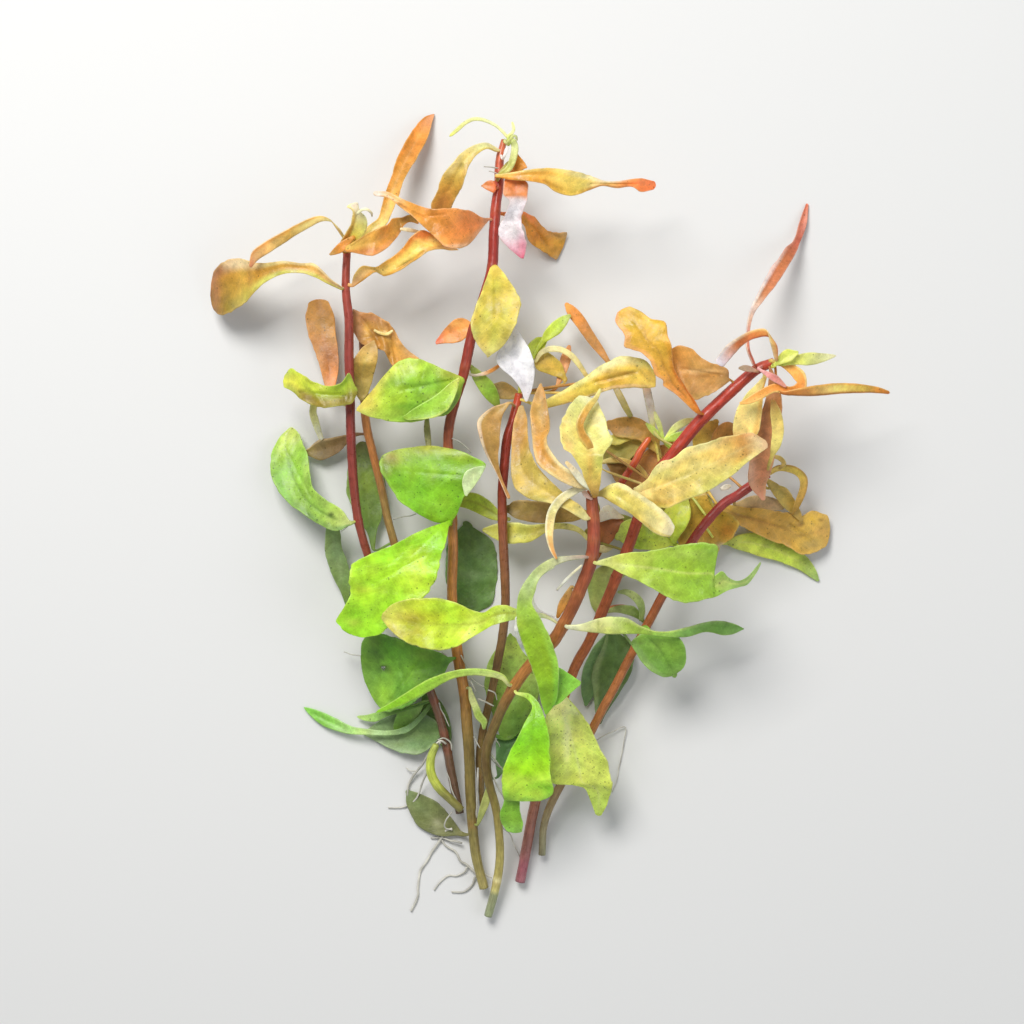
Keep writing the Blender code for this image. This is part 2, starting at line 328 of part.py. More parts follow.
class HeightMap:
    """The top of everything laid so far, on a grid over the plan."""

    U0, V0, W, H = 190, 90, 720, 850

    def __init__(self):
        self.top = np.full((self.H, self.W), -1e3)

    def cells(self, tri):
        """Cells that a triangle (u, v, z) covers, grown a little, with its height in each."""
        u, v, z = tri[:, 0] - self.U0, tri[:, 1] - self.V0, tri[:, 2]
        grow = 1.3
        c0, c1 = int(max(u.min() - grow, 0)), int(min(u.max() + grow + 1, self.W - 1))
        r0, r1 = int(max(v.min() - grow, 0)), int(min(v.max() + grow + 1, self.H - 1))
        cu, cv = np.meshgrid(np.arange(c0, c1 + 1) + 0.5, np.arange(r0, r1 + 1) + 0.5)
        area = (u[1] - u[0]) * (v[2] - v[0]) - (u[2] - u[0]) * (v[1] - v[0])
        if abs(area) < 1e-6:
            return None
        inside = np.ones(cu.shape, bool)
        weight = []
        for i in range(3):
            j, k = (i + 1) % 3, (i + 2) % 3
            w = ((u[k] - u[j]) * (cv - v[j]) - (cu - u[j]) * (v[k] - v[j])) / area
            side = math.hypot(u[k] - u[j], v[k] - v[j]) / abs(area)
            inside &= w > -grow * side
            weight.append(np.clip(w, -0.2, 1.2))
        r, c = np.nonzero(inside)
        zz = sum(weight[i][r, c] * z[i] for i in range(3))
        return r + r0, c + c0, np.clip(zz, z.min(), z.max())

    def walk(self, u, v, z, half):
        """Yields (row, rows, columns, height, half) over a sheet's triangles."""
        x = np.stack([u, v, z], -1)
        for i in range(x.shape[0] - 1):
            for j in range(x.shape[1] - 1):
                for tri in ((x[i, j], x[i + 1, j], x[i + 1, j + 1]), (x[i, j], x[i + 1, j + 1], x[i, j + 1])):
                    tri = np.array(tri)
                    found = self.cells(tri)
                    if found is None:
                        continue
                    m = tri * (UNIT_MM, UNIT_MM, 1)
                    n = np.cross(m[1] - m[0], m[2] - m[0])
                    n = abs(n[2]) / max(np.linalg.norm(n), 1e-9)
                    yield i, *found, half[i] if half[i] > 0.5 else min(half[i] / max(n, 0.3), 1.0)

    def lay(self, grid_of, half, n_rows):
        """Raises rows until the sheet is clear of what lies under it, adds it, and returns the lift of each row."""
        lift = np.zeros(n_rows)
        spots = np.linspace(0, n_rows - 1, len(half))
        for turn in range(12):
            u, v, z = grid_of(lift)
            need = np.zeros(len(half))
            for i, r, c, zz, h in self.walk(u, v, z, half):
                floor = np.maximum(self.top[r, c] + CLEAR_MM, SKIN_MM)
                gap = (floor - (zz - h)).max() if len(r) else 0
                need[i] = max(need[i], gap)
                need[i + 1] = max(need[i + 1], gap)
            if need.max() < 0.02:
                break
            at = np.interp(np.arange(n_rows), spots, need)
            for k in range(n_rows):
                near = need[np.abs(spots - k) <= 1.0 + 1e-9]
                at[k] = max(at[k], near.max() if len(near) else 0)
            soft = at.copy()
            for k in range(n_rows):
                around = [at[m] * (1 - abs(m - k) / 3.0) for m in range(n_rows) if abs(m - k) < 3]
                soft[k] = max(soft[k], max(around))
            lift += soft
        u, v, z = grid_of(lift)
        for i, r, c, zz, h in self.walk(u, v, z, half):
            np.maximum.at(self.top, (r, c), zz + h)
        return lift, float(need.max())


# ---- making the pieces ----------------------------------------------------------


def finish_of(name, colour, roughness):
    mat = bpy.data.materials.new(name + "_finish")
    mat.use_nodes = True
    p = mat.node_tree.nodes["Principled BSDF"]
    p.inputs["Base Color"].default_value = (*colour, 1.0)
    p.inputs["Roughness"].default_value = roughness
    p.inputs["Metallic"].default_value = 0.0
    mat.diffuse_color = (*colour, 1.0)
    return mat


def make_blade(name, rows, lift, form, along, across, thickness):
    mesh = bpy.data.meshes.new(name)
    bm = bmesh.new()
    bmesh.ops.create_grid(bm, x_segments=along, y_segments=across, size=1.0)
    for vert in bm.verts:
        t = np.array((vert.co.x + 1) / 2 * (len(rows) - 1))
        u, v, z = blade_point(rows, lift, form, t, np.array(float(vert.co.y)))
        vert.co = to_space(u, v, z)
    # the plan's v runs down the page, so the grid is turned to face up
    bmesh.ops.recalc_face_normals(bm, faces=bm.faces)
    if sum(f.normal.z * f.calc_area() for f in bm.faces) < 0:
        bmesh.ops.reverse_faces(bm, faces=bm.faces)
    bm.to_mesh(mesh)
    bm.free()
    mesh.shade_smooth()
    ob = bpy.data.objects.new(name, mesh)
    solid = ob.modifiers.new("thickness", "SOLIDIFY")
    solid.thickness = thickness * 0.001
    solid.offset = 0.0
    solid.use_rim = True
    return ob


def make_stem(name, stations, lift, points):
    t = np.linspace(0, len(stations) - 1, points)
    way = through(stations, t)
    way[:, 2] += np.interp(t, np.arange(len(lift)), lift)
    curve = bpy.data.curves.new(name, "CURVE")
    curve.dimensions = "3D"
    curve.bevel_depth = 0.001
    curve.bevel_resolution = 2
    curve.use_fill_caps = True
    spline = curve.splines.new("POLY")
    spline.points.add(points - 1)
    for point, (u, v, z, width) in zip(spline.points, way):
        point.co = (*to_space(u, v, z), 1.0)
        point.radius = width / 2 * UNIT_MM
    return bpy.data.objects.new(name, curve)


for old in list(bpy.data.objects):
    bpy.data.objects.remove(old, do_unlink=True)

plant = bpy.data.collections.new(COLLECTION)
bpy.context.scene.collection.children.link(plant)

heights = HeightMap()
for name, kind, colour, stations, form in PLAN:
    if kind == "stem":
        stations = np.array(stations, float)
        count = max(9, len(stations) + 4)
        spots = np.linspace(0, len(stations) - 1, count)
        half = np.interp(spots, np.arange(len(stations)), stations[:, 3] / 2 * UNIT_MM)
        rows = edges([tuple(s) for s in stations])
        lift, left = heights.lay(lambda up: sheet_grid(rows, up, {}, count - 1, 1), half, len(rows))
        ob = make_stem(name, stations, lift, count)
        ob.data.materials.append(finish_of(name, colour, 0.4))
    else:
        rows = edges(stations)
        width = np.hypot(rows[:, 2] - rows[:, 0], rows[:, 3] - rows[:, 1]).max()
        along = min(max(len(rows) - 1, 7), 10)
        across = 4 if width > 26 else 2
        thickness = ROOT_MM if kind == "felt" else BLADE_MM
        half = np.full(along + 1, thickness / 2)
        if form.get("flat"):
            lift, left = np.zeros(len(rows)), 0.0
            u, v, z = sheet_grid(rows, lift, form, along, across)
            for i, r, c, zz, h in heights.walk(u, v, z, half):
                np.maximum.at(heights.top, (r, c), zz + h)
        else:
            lift, left = heights.lay(lambda up: sheet_grid(rows, up, form, along, across), half, len(rows))
        ob = make_blade(name, rows, lift, form, along, across, thickness)
        ob.data.materials.append(finish_of(name, colour, 0.45))
    plant.objects.link(ob)
    print("laid", name, "lift", np.round(lift, 1).tolist() if lift.max() > 0.3 else "-", "left", round(left, 2))
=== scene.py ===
"""The looks of the ammannia: every leaf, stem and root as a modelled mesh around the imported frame.

The plant is laid out in the same plan as its CAD solids: plan units across and
down, millimetres up, seen from EYE_MM above. Pieces are laid from the lowest to
the highest, each clear of those under it, and every leaf is then joined to the
nearest stem by its petiole.
"""

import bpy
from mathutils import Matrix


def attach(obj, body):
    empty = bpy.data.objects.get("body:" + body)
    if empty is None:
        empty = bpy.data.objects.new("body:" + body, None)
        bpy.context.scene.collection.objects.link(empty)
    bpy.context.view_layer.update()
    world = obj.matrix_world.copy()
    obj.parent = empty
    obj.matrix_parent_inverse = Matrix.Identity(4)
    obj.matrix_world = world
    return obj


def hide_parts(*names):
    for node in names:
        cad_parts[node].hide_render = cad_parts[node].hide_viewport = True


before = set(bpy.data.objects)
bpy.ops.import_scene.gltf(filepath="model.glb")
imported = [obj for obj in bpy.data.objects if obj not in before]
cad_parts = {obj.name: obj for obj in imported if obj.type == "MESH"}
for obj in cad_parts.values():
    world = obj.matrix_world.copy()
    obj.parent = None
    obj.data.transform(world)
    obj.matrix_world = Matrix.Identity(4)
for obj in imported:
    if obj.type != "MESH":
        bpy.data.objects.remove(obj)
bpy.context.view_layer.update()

import math

import bpy
import numpy as np

# ---- the plan's scale ---------------------------------------------------------
UNIT_MM = 0.25
EYE_MM = 604.0
EYE_U, EYE_V = 512.0, 512.0
ORIGIN_U, ORIGIN_V = 543.3, 515.3
BLADE_MM = 0.30          # thickness of a real blade
CLEAR_MM = 0.26          # height kept between two pieces that cross
SKIN_MM = 0.06           # how little a blade may come near the surface
STEP_MM = 0.40           # spacing of a blade's mesh
SOFTEN = 0.84            # how far deep colours are lifted, because light passes through a leaf more than once


def c(r, g, b):
    """A colour given in 0 to 255 as a screen shows it, as linear values."""
    out = []
    for x in (r, g, b):
        x = x / 255.0
        out.append(x / 12.92 if x <= 0.04045 else ((x + 0.055) / 1.055) ** 2.4)
    return tuple(out)

# ---- colours (linear) ---------------------------------------------------------
LIME = (0.42, 0.72, 0.03)
GREEN = (0.16, 0.40, 0.03)
DARK_GREEN = (0.05, 0.13, 0.02)
OLIVE = (0.36, 0.38, 0.06)
YELLOW = (0.72, 0.60, 0.14)
PALE = (0.80, 0.74, 0.30)
ORANGE = (0.66, 0.24, 0.05)
RUST = (0.56, 0.13, 0.04)
BROWN = (0.34, 0.15, 0.06)
PINK = (0.72, 0.26, 0.20)
WHITE = (0.80, 0.74, 0.78)
STEM_RED = (0.40, 0.03, 0.015)
STEM_ORANGE = (0.42, 0.15, 0.04)
STEM_BROWN = (0.18, 0.09, 0.04)
STEM_OLIVE = (0.30, 0.25, 0.06)
STEM_PINK = (0.36, 0.10, 0.07)
ROOT_WHITE = (0.62, 0.60, 0.52)

# ---- the plan -----------------------------------------------------------------
# A blade's stations run from its base to its tip. (u, v, z, width) is a point on
# the midrib with the width across it; (lu, lv, ru, rv, z) gives its left and
# right edge, as seen when looking towards the tip. cup raises both edges, and
# roll raises the right one and lowers the left one, as a share of half the width.
# A stem's stations are (u, v, z, width).
PLAN = [
    ("leaf_back_flat", "blade", DARK_GREEN, [
        (470, 612, 478, 612, 0.3), (455, 601, 492, 603, 0.3), (446, 585, 497, 581, 0.3),
        (445, 560, 497, 558, 0.3), (451, 538, 491, 540, 0.3), (463, 525, 473, 527, 0.3)], {"flat": True}),
    ("root_tuft", "felt", ROOT_WHITE, [
        (478, 870, 462, 846, 0.5), (470, 884, 444, 842, 0.5), (456, 893, 428, 850, 0.5),
        (438, 898, 417, 868, 0.5), (420, 908, 411, 900, 0.5)], {}),
    ("leaves_lower_back", "blade", DARK_GREEN, [
        (304, 712, 304, 707, 0.36), (325, 724, 325, 717, 0.36), (346, 735, 346, 727, 0.36), (372, 748, 372, 730, 0.6),
        (404, 766, 404, 718, 0.8), (432, 788, 432, 700, 0.8), (466, 786, 470, 684, 1.0), (498, 762, 503, 648, 1.0),
        (520, 736, 526, 650, 1.2), (538, 700, 540, 676, 1.2)], {}),
    ("leaves_left_back", "blade", BROWN, [
        (310, 295, 322, 295, 5.5), (306, 322, 337, 322, 5.5), (308, 350, 352, 348, 5.0), (322, 385, 371, 380, 4.0),
        (326, 425, 368, 420, 2.8), (330, 465, 382, 460, 1.6), (340, 505, 383, 500, 0.9), (330, 545, 362, 545, 0.5),
        (332, 580, 350, 580, 0.36), (341, 602, 348, 602, 0.36)], {}),
    ("leaves_right_low_back", "blade", DARK_GREEN, [
        (596, 568, 622, 570, 4.0), (584, 590, 622, 592, 4.0), (582, 612, 632, 612, 3.5),
        (590, 636, 636, 634, 3.0), (590, 662, 634, 660, 2.0), (592, 692, 620, 690, 1.2),
        (596, 720, 603, 721, 1.0)], {}),
    ("leaf_top_back", "blade", ORANGE, [
        (504, 214, 10, 4), (521, 221, 9.4, 15), (538, 236, 6.4, 25), (552, 246, 3, 26),
        (561, 246, 1.0, 22), (566, 244, 0.4, 12)], {"cup": 0.1}),
    ("leaves_right_low", "blade", OLIVE, [
        (716, 502, 714, 509, 3.6), (738, 505, 735, 522, 3.2), (762, 507, 758, 545, 2.4),
        (787, 509, 780, 562, 1.4), (809, 513, 802, 572, 0.6), (826, 526, 815, 577, 0.36),
        (829, 540, 821, 580, 0.36)], {}),
    ("leaves_middle_back", "blade", BROWN, [
        (606, 424, 602, 540, 5.5), (628, 414, 624, 548, 5.5), (652, 416, 648, 551, 5.2),
        (676, 414, 672, 551, 5.0), (700, 418, 704, 550, 4.6), (722, 424, 730, 544, 3.8),
        (735, 432, 748, 532, 3.2)], {}),
    ("stem_left_back", "stem", STEM_ORANGE, [
        (362, 318, 9.0, 8), (364, 360, 9.2, 8), (365, 415, 9.0, 8), (372, 450, 8.6, 8), (382, 490, 8.2, 8),
        (388, 520, 8.0, 8), (395, 545, 7.6, 8), (408, 590, 7.0, 8), (421, 632, 6.4, 8), (436.5, 676, 5.6, 7.5)], {}),
    ("stem_right_back", "stem", STEM_RED, [
        (768, 474, 9.5, 8), (755, 483, 9.6, 9), (738, 495, 9.6, 9), (720, 507, 9.4, 9), (690, 545, 8.6, 9),
        (655, 610, 7.4, 9), (618, 680, 6.2, 9), (582, 748, 5.0, 9), (556, 793, 3.8, 8.5), (544, 824, 2.9, 7.5),
        (542, 855, 2.2, 7)], {}),
    ("leaf_left_brown", "blade", BROWN, [
        (353, 318, 353, 326, 11.5), (365, 311, 362, 340, 12), (382, 318, 372, 356, 12), (398, 332, 388, 362, 11.6),
        (412, 347, 405, 362, 11), (421, 358, 417, 363, 10.6)], {"cup": 0.1}),
    ("leaves_centre_left", "blade", YELLOW, [
        (477, 404, 470, 369, 8.0), (502, 398, 488, 362, 8.4), (524, 390, 510, 350, 8.4),
        (546, 378, 530, 344, 8.6), (562, 374, 546, 334, 8.8), (586, 366, 560, 322, 8.8),
        (602, 350, 576, 316, 8.4), (604, 341, 570, 308, 8.4)], {}),
    ("leaves_front_left", "blade", OLIVE, [
        (582, 534, 581, 512, 17.0), (566, 532, 566, 504, 15.0), (545, 536, 545, 501, 13.0),
        (522, 540, 520, 500, 10.6), (500, 524, 498, 506, 9.2), (480, 517, 480, 496, 8.4),
        (462, 508, 463, 495, 8.0)], {}),
    ("stem_middle", "stem", STEM_RED, [
        (519, 394, 13.0, 7), (513, 420, 13.2, 9), (507, 440, 13.2, 9), (504, 470, 13.0, 9), (502, 500, 12.6, 9),
        (503, 540, 12.0, 9), (505, 580, 10.8, 9), (505, 610, 9.6, 9), (501, 645, 8.2, 9), (493, 685, 6.6, 8.5),
        (484, 725, 5.2, 8), (479, 760, 4.4, 7.5), (481, 786, 4.0, 6.5), (482, 807, 3.8, 5)], {}),
    ("stem_left", "stem", STEM_RED, [
        (347, 252, 15.5, 7), (346, 290, 15.6, 8), (349, 320, 15.6, 8.5), (349, 360, 15.4, 9), (350, 400, 15.0, 9),
        (351, 437, 14.4, 9), (355, 500, 13.4, 9), (363, 540, 12.6, 8.5), (374, 570, 11.8, 8.5), (392, 605, 10.8, 8.5),
        (414, 650, 9.4, 8.5), (430, 690, 8.0, 8.5), (443, 730, 6.6, 8.5), (452, 775, 5.2, 8.5), (460, 813, 4.2, 8)], {}),
    ("stem_tall", "stem", STEM_ORANGE, [
        (504, 140, 15.5, 5), (500, 160, 15.8, 8), (499, 185, 16.0, 9), (496, 205, 16.0, 9.5), (494, 235, 15.8, 10),
        (492, 268, 15.4, 10), (483, 300, 15.0, 10), (472, 335, 14.6, 10), (463, 375, 14.0, 10), (453, 408, 13.4, 10),
        (448, 440, 12.8, 10), (451, 490, 12.2, 10), (453, 540, 11.6, 10), (452, 600, 10.6, 10), (457, 650, 9.4, 10.5),
        (465, 700, 7.8, 10.5), (469, 750, 6.2, 10.5), (471, 800, 4.6, 10), (475, 850, 3.2, 9.5), (484, 888, 2.0, 9)], {}),
    ("side_shoot", "stem", STEM_OLIVE, [
        (436, 745, 9.0, 6.5), (431, 758, 8.6, 8), (431, 773, 8.2, 8.5), (438, 787, 7.8, 8.5), (450, 799, 7.4, 8),
        (461.5, 810, 7.2, 7)], {}),
    # leaves of the left and the tall stem
    ("leaf_left_paddle", "blade", YELLOW, [
        (340, 288, 16.5, 4), (325, 277, 18, 7), (308, 268, 19, 11), (285, 267, 19, 12), (264, 269, 17.5, 16),
        (248, 275, 14.5, 30), (234, 284, 10.5, 44), (221, 298, 6.5, 34), (214, 311, 4, 8)], {"cup": 0.12}),
    ("leaf_left_arch", "blade", ORANGE, [
        (344, 238, 17, 4), (337, 226, 20, 6), (323, 220, 22, 7), (305, 227, 22, 9), (285, 238, 21, 10),
        (266, 247, 20.5, 10), (255, 255, 20.5, 7), (250, 266, 20.5, 3)], {"roll": 0.5}),
    ("leaf_left_tall", "blade", ORANGE, [
        (354, 248, 16.4, 4), (363, 240, 16.4, 6), (374, 228, 16, 9), (383, 211, 14.6, 13), (390, 194, 12.6, 16),
        (398, 176, 10, 18), (409, 153, 7, 19), (420, 134, 3.6, 13), (428, 121, 1.6, 8), (433, 115.5, 0.8, 3)], {"cup": 0.2}),
    ("leaf_left_young", "blade", PALE, [
        (347, 244, 18, 5), (352, 232, 21, 12), (354, 216, 24, 14), (352, 207, 26, 9), (346, 208, 27, 4)], {"cup": 0.35}),
    ("leaf_gold_arch", "blade", YELLOW, [
        (496, 149, 17.5, 4), (487, 146, 20, 7), (476, 150, 21.6, 11), (465, 161, 22, 15), (457, 174, 21.4, 18),
        (450, 187, 20, 18), (443, 201, 18, 16), (438, 210, 16.5, 6)], {"cup": 0.2}),
    ("leaf_left_peach", "blade", ORANGE, [
        (355, 243, 354, 250, 18.0), (367, 233, 367, 255, 20), (382, 222, 384, 255, 21.4), (394, 217, 396, 249, 21.6),
        (402, 214, 403, 236, 21.2), (412, 214, 412, 226, 20.6), (421, 217, 421, 222, 20)], {"cup": 0.2}),
    ("leaf_left_yellow", "blade", ORANGE, [
        (354, 284, 17.5, 4), (365, 273, 20.5, 9), (385, 268, 23, 13), (405, 258, 24.0, 19), (425, 244, 24.0, 22),
        (444, 247, 23.0, 12), (459, 249, 22, 4)], {"cup": 0.2}),
    ("leaf_rust", "blade", RUST, [
        (488, 221, 488, 218, 18.5), (480, 231, 481, 217, 21.5), (470, 243, 471, 211, 24.5), (459, 248, 459, 209, 26.4),
        (446, 246, 447, 209, 27.2), (433, 235, 434, 208.5, 27.4), (421, 224, 424, 207, 27.4), (411, 215, 413, 203, 27.2),
        (399, 206, 401, 198, 26.8), (388, 198, 388, 192, 26.2), (376, 196, 376, 191, 25.6)], {"cup": 0.12}),
    ("tip_leaves_tall", "blade", LIME, [
        (513, 160, 19.4, 6), (515, 150, 20, 7), (510, 139, 20.4, 6), (498, 124, 20.6, 5),
        (484, 118.5, 20.6, 4), (469, 120, 20, 4), (459, 128, 19.4, 4), (451, 135, 19, 3)], {}),
    ("leaf_top_right", "blade", ORANGE, [
        (504, 176, 18.0, 4), (528, 176, 20, 12), (553, 180, 22, 23), (573, 183, 23, 26), (588, 183, 23.4, 15),
        (600, 183, 23.4, 7), (618, 184, 23, 10), (640, 185, 22, 12), (652, 185, 21, 8), (659, 185, 20, 3)], {"cup": 0.15}),
    ("leaf_hanging_pink", "blade", PINK, [
        (507, 158, 21, 6), (515, 168, 24.5, 19), (518, 182, 26.5, 22), (517, 197, 26.8, 17), (514, 212, 26.5, 22),
        (513, 231, 25.5, 25), (517, 246, 24.5, 17), (523, 257, 23.5, 4)], {"cup": 0.18}),
    ("leaf_white", "blade", WHITE, [
        (498, 312, 494, 314, 17.2), (512, 320, 505, 324, 18.2), (525, 342, 503, 346, 19.0), (534, 360, 497, 359, 19.0),
        (534, 373, 506, 373, 18.6), (531, 387, 516, 387, 18.0), (526, 401, 523, 402, 17.2)], {"cup": 0.12}),
    ("leaf_olive_facing", "blade", OLIVE, [
        (498, 266, 490, 268, 18.5), (508, 278, 483, 288, 21), (519, 297, 475, 308, 23.5), (520, 312, 471, 325, 24.2),
        (512, 333, 476, 341, 24), (502, 347, 482, 350, 23.2), (491, 355, 487, 356, 22.4)], {"cup": 0.14}),
    ("leaf_left_green", "blade", GREEN, [
        (356, 392, 354, 385, 18.4), (349, 402, 349, 372, 19.5), (337, 406, 337, 384, 20), (321, 407, 319, 381, 19.5),
        (306, 402, 304, 372, 18), (294, 397, 292, 367, 16), (285, 391, 285, 375, 14), (282, 388, 282, 383, 13)],
        {"cup": 0.2}),
    ("leaf_green_folded", "blade", GREEN, [
        (461, 381, 461, 376, 17.6), (453, 407, 454, 372, 19.5), (438, 416, 440, 368, 21), (420, 422, 424, 361, 22),
        (400, 422, 407, 359, 22), (384, 419, 391, 364, 21), (369, 415, 376, 382, 19.5), (358, 412, 357, 407, 18.4)],
        {"cup": -0.12}),
    ("leaf_left_spotted", "blade", GREEN, [
        (348, 526, 349, 520, 14.5), (337, 531, 341, 509, 13.5), (322, 526, 326, 500, 11.5), (303, 514, 313, 488, 9.5),
        (285, 500, 310, 471, 7.5), (272, 478, 307, 454, 5.5), (271, 456, 301, 438, 3.6), (279, 438, 296, 430, 2.4),
        (289, 428, 293, 428, 2.0)], {"cup": 0.14}),
    ("leaf_dark_low_left", "blade", DARK_GREEN, [
        (449, 664, 448, 657, 12.8), (440, 681, 436, 651, 12.8), (425, 694, 415, 645, 12.4), (409, 705, 399, 638, 11.5),
        (395, 711, 383, 634, 10), (381, 709, 369, 635, 8.4), (368, 690, 359, 645, 7)], {"cup": 0.1}),
    ("leaf_green_large", "blade", GREEN, [
        (446, 521, 451, 519, 15.5), (430, 515, 458, 507, 17.5), (404, 501, 470, 488, 19.5), (386, 482, 485, 468, 20),
        (380, 463, 478, 459, 19.5), (387, 450, 457, 449, 18.5), (418, 447, 440, 446, 18)], {"cup": 0.1}),
    ("leaf_bright_down", "blade", LIME, [
        (448, 528, 443, 524, 16), (447, 545, 416, 535, 18.5), (438, 572, 376, 552, 20.5), (421, 599, 349, 575, 21),
        (390, 620, 347, 600, 20.5), (369, 636, 338, 620, 19.5), (356, 633, 344, 627, 19)], {"cup": 0.1}),
    ("leaf_lime_across", "blade", LIME, [
        (541, 618, 541, 613, 20.5), (519, 618, 519, 609, 22), (503, 622, 503, 606, 23.4), (487, 631, 487, 611, 24.6),
        (462, 645, 460, 601, 25.4), (438, 650, 432, 598, 25.4), (409, 641, 409, 601, 24.8), (393, 630, 392, 609, 24.2),
        (383, 620, 383, 616, 23.6)], {"cup": 0.12}),
    # the right stem and its leaves
    ("stem_right", "stem", STEM_RED, [
        (774, 362, 22.5, 8), (755, 370.5, 22.2, 10), (733, 389.5, 21.6, 11), (711, 410, 20.6, 11.5), (692, 430, 19.6, 12),
        (671, 457, 18.4, 12), (651, 485, 17.2, 12), (627, 550, 15.0, 11), (607, 600, 12.6, 11), (590, 640, 10.4, 10.5),
        (573, 672, 8.6, 10.5), (550, 740, 5.6, 10), (535, 805, 3.4, 10), (528, 840, 2.6, 10), (520, 882, 2.0, 9.5)], {}),
    ("leaf_right_pink", "blade", PINK, [
        (772, 376, 25, 6), (774, 396, 24, 15), (771, 420, 22, 22), (766, 445, 20, 23), (761, 466, 18, 23),
        (758, 484, 16, 18), (763, 498, 14.5, 5)], {"cup": 0.15}),
    ("leaf_right_brown", "blade", BROWN, [
        (730, 381, 728, 378, 22.8), (719, 389, 727, 369, 23.4), (705, 397, 706, 361, 23.8), (695, 399, 693, 349, 24),
        (683, 388, 681, 346, 24), (673, 371, 671, 349, 23.4)], {"cup": 0.1}),
    ("leaf_golden_long", "blade", YELLOW, [
        (547, 400, 549, 406, 18), (565, 391, 568, 402, 20), (585, 379, 588, 396, 22), (600, 368, 603, 391, 23.6),
        (615, 358, 617, 389, 24.4), (630, 356, 632, 387, 24.4), (645, 361, 645, 385, 23.8), (654, 373, 653, 384, 23),
        (658, 379, 657, 383, 22.4)], {"cup": -0.2}),
    ("leaf_big_orange", "blade", ORANGE, [
        (692, 408, 697, 405, 24.2), (681, 400, 690, 395, 25.2), (664, 388, 680, 379, 26.6), (656, 375, 675, 362, 27.6),
        (648, 358, 672, 347, 28), (631, 348, 670, 337, 28), (623, 335, 664, 321, 27.4), (617, 324, 648, 317, 26.4),
        (617, 314, 637, 308, 25.4), (623, 309, 629, 307, 25)], {"cup": 0.08}),
    ("leaf_right_tall", "blade", PINK, [
        (753, 362, 25, 3.5), (748, 348, 25, 3.5), (748, 330, 23, 4), (752, 312, 20, 5), (761, 297, 16, 9),
        (775, 275, 10.5, 13), (789, 253, 5.5, 12), (797, 241, 3, 7), (803, 223, 1.2, 8), (807, 205, 0.5, 3)], {"cup": 0.3}),
    ("tip_leaves_right", "blade", YELLOW, [
        (740, 450, 746, 452, 24.5), (734, 425, 760, 430, 25.0), (740, 402, 764, 406, 25.5), (752, 384, 774, 390, 26.0),
        (772, 372, 788, 386, 26.4), (790, 354, 798, 370, 26.2), (812, 352, 814, 363, 25.0), (834, 354.5, 834, 357.5, 23.5)], {}),
    ("leaf_right_arch", "blade", ORANGE, [
        (776, 357, 27.6, 4), (774, 340, 31, 8), (763, 332, 33, 10), (750, 336, 33.4, 12), (739, 345, 32.6, 12),
        (728, 356, 31, 12), (717, 366, 29, 5)], {"roll": 0.4}),
    ("leaf_right_far", "blade", ORANGE, [
        (787, 393, 27, 4), (800, 392, 28, 9), (818, 389, 28, 12), (840, 387, 27, 13), (860, 388, 25.4, 11),
        (878, 390, 23.4, 7), (889, 393, 22, 3)], {"roll": -0.35}),
    ("leaf_big_pale", "blade", PALE, [
        (634, 487, 635, 492, 25), (647, 477, 650, 499, 27), (664, 465, 666, 500, 28.6), (690, 451, 692, 496, 29.8),
        (722, 438, 719, 485, 30), (750, 433, 744, 469, 29.6), (764, 439, 760, 458, 28.8), (772, 448, 770, 453, 28)],
        {"cup": 0.1}),
    ("leaf_brown_hanging", "blade", BROWN, [
        (509, 405, 505, 403, 17.0), (503, 415, 491, 408, 17.2), (500, 429, 478, 420, 17), (499, 444, 480, 440, 16.8),
        (498, 460, 488, 458, 16.6), (502, 478, 497, 475, 16.4), (510, 496, 507, 498, 16)], {"cup": 0.2}),
    # the front stem and its leaves
    ("leaf_pale_low", "blade", PALE, [
        (564, 699, 559, 701, 12), (580, 713, 549, 717, 14), (592, 730, 547, 738, 15), (603, 755, 548, 760, 15.2),
        (611, 776, 551, 783, 14), (612, 793, 584, 790, 12), (606, 809, 591, 806, 10), (600, 819, 596, 818, 8.6)],
        {"cup": 0.08}),
    ("leaf_hanging_right", "blade", GREEN, [
        (652, 631, 640, 634, 18.6), (667, 633, 631, 643, 18.8), (680, 639, 638, 657, 18.2), (686, 655, 650, 671, 17),
        (684, 667, 663, 677, 16), (677, 673, 672, 676, 15.4)], {"cup": 0.1}),
    ("stem_front", "stem", STEM_ORANGE, [
        (592, 492, 27.0, 10), (592, 500, 27.0, 11), (594, 530, 26.4, 12), (591, 560, 25.4, 12), (580, 590, 23.8, 12),
        (568, 616, 22.0, 12), (554, 640, 20.2, 12), (531, 664, 17.6, 11.5), (512, 690, 15.4, 11), (497, 720, 13.2, 10),
        (487, 750, 11.2, 10), (488, 778, 9.2, 9), (496, 810, 7.0, 8.5), (500, 850, 4.6, 8.5), (497, 882, 3.0, 8.5),
        (488, 916, 2.0, 8)], {}),
    ("leaf_right_lime", "blade", LIME, [
        (568, 625, 568, 629, 23.6), (581, 624, 581, 631, 24), (597, 619, 597, 633, 24.4), (612, 617, 612, 634, 24.4),
        (628, 619, 628, 634, 24), (641, 626, 640, 634, 23), (655, 631, 654, 635.5, 22), (670, 631, 671, 637, 21),
        (688, 627, 688, 637, 20), (705, 622, 706, 632, 18.6), (722, 621, 722, 635, 17), (735, 624, 733, 634, 15.4),
        (743, 628, 742, 630, 14.4)], {"roll": -0.3}),
    ("leaf_arch_low", "blade", LIME, [
        (508, 684, 18.4, 4), (502, 677, 20, 6), (488, 673, 21, 7), (470, 672, 21.4, 7), (452, 675, 21, 8),
        (437, 681, 20, 10), (420, 690, 18, 11), (403, 700, 15.6, 9), (389, 707, 13.6, 6), (379, 711, 12.4, 3)],
        {"roll": 0.4}),
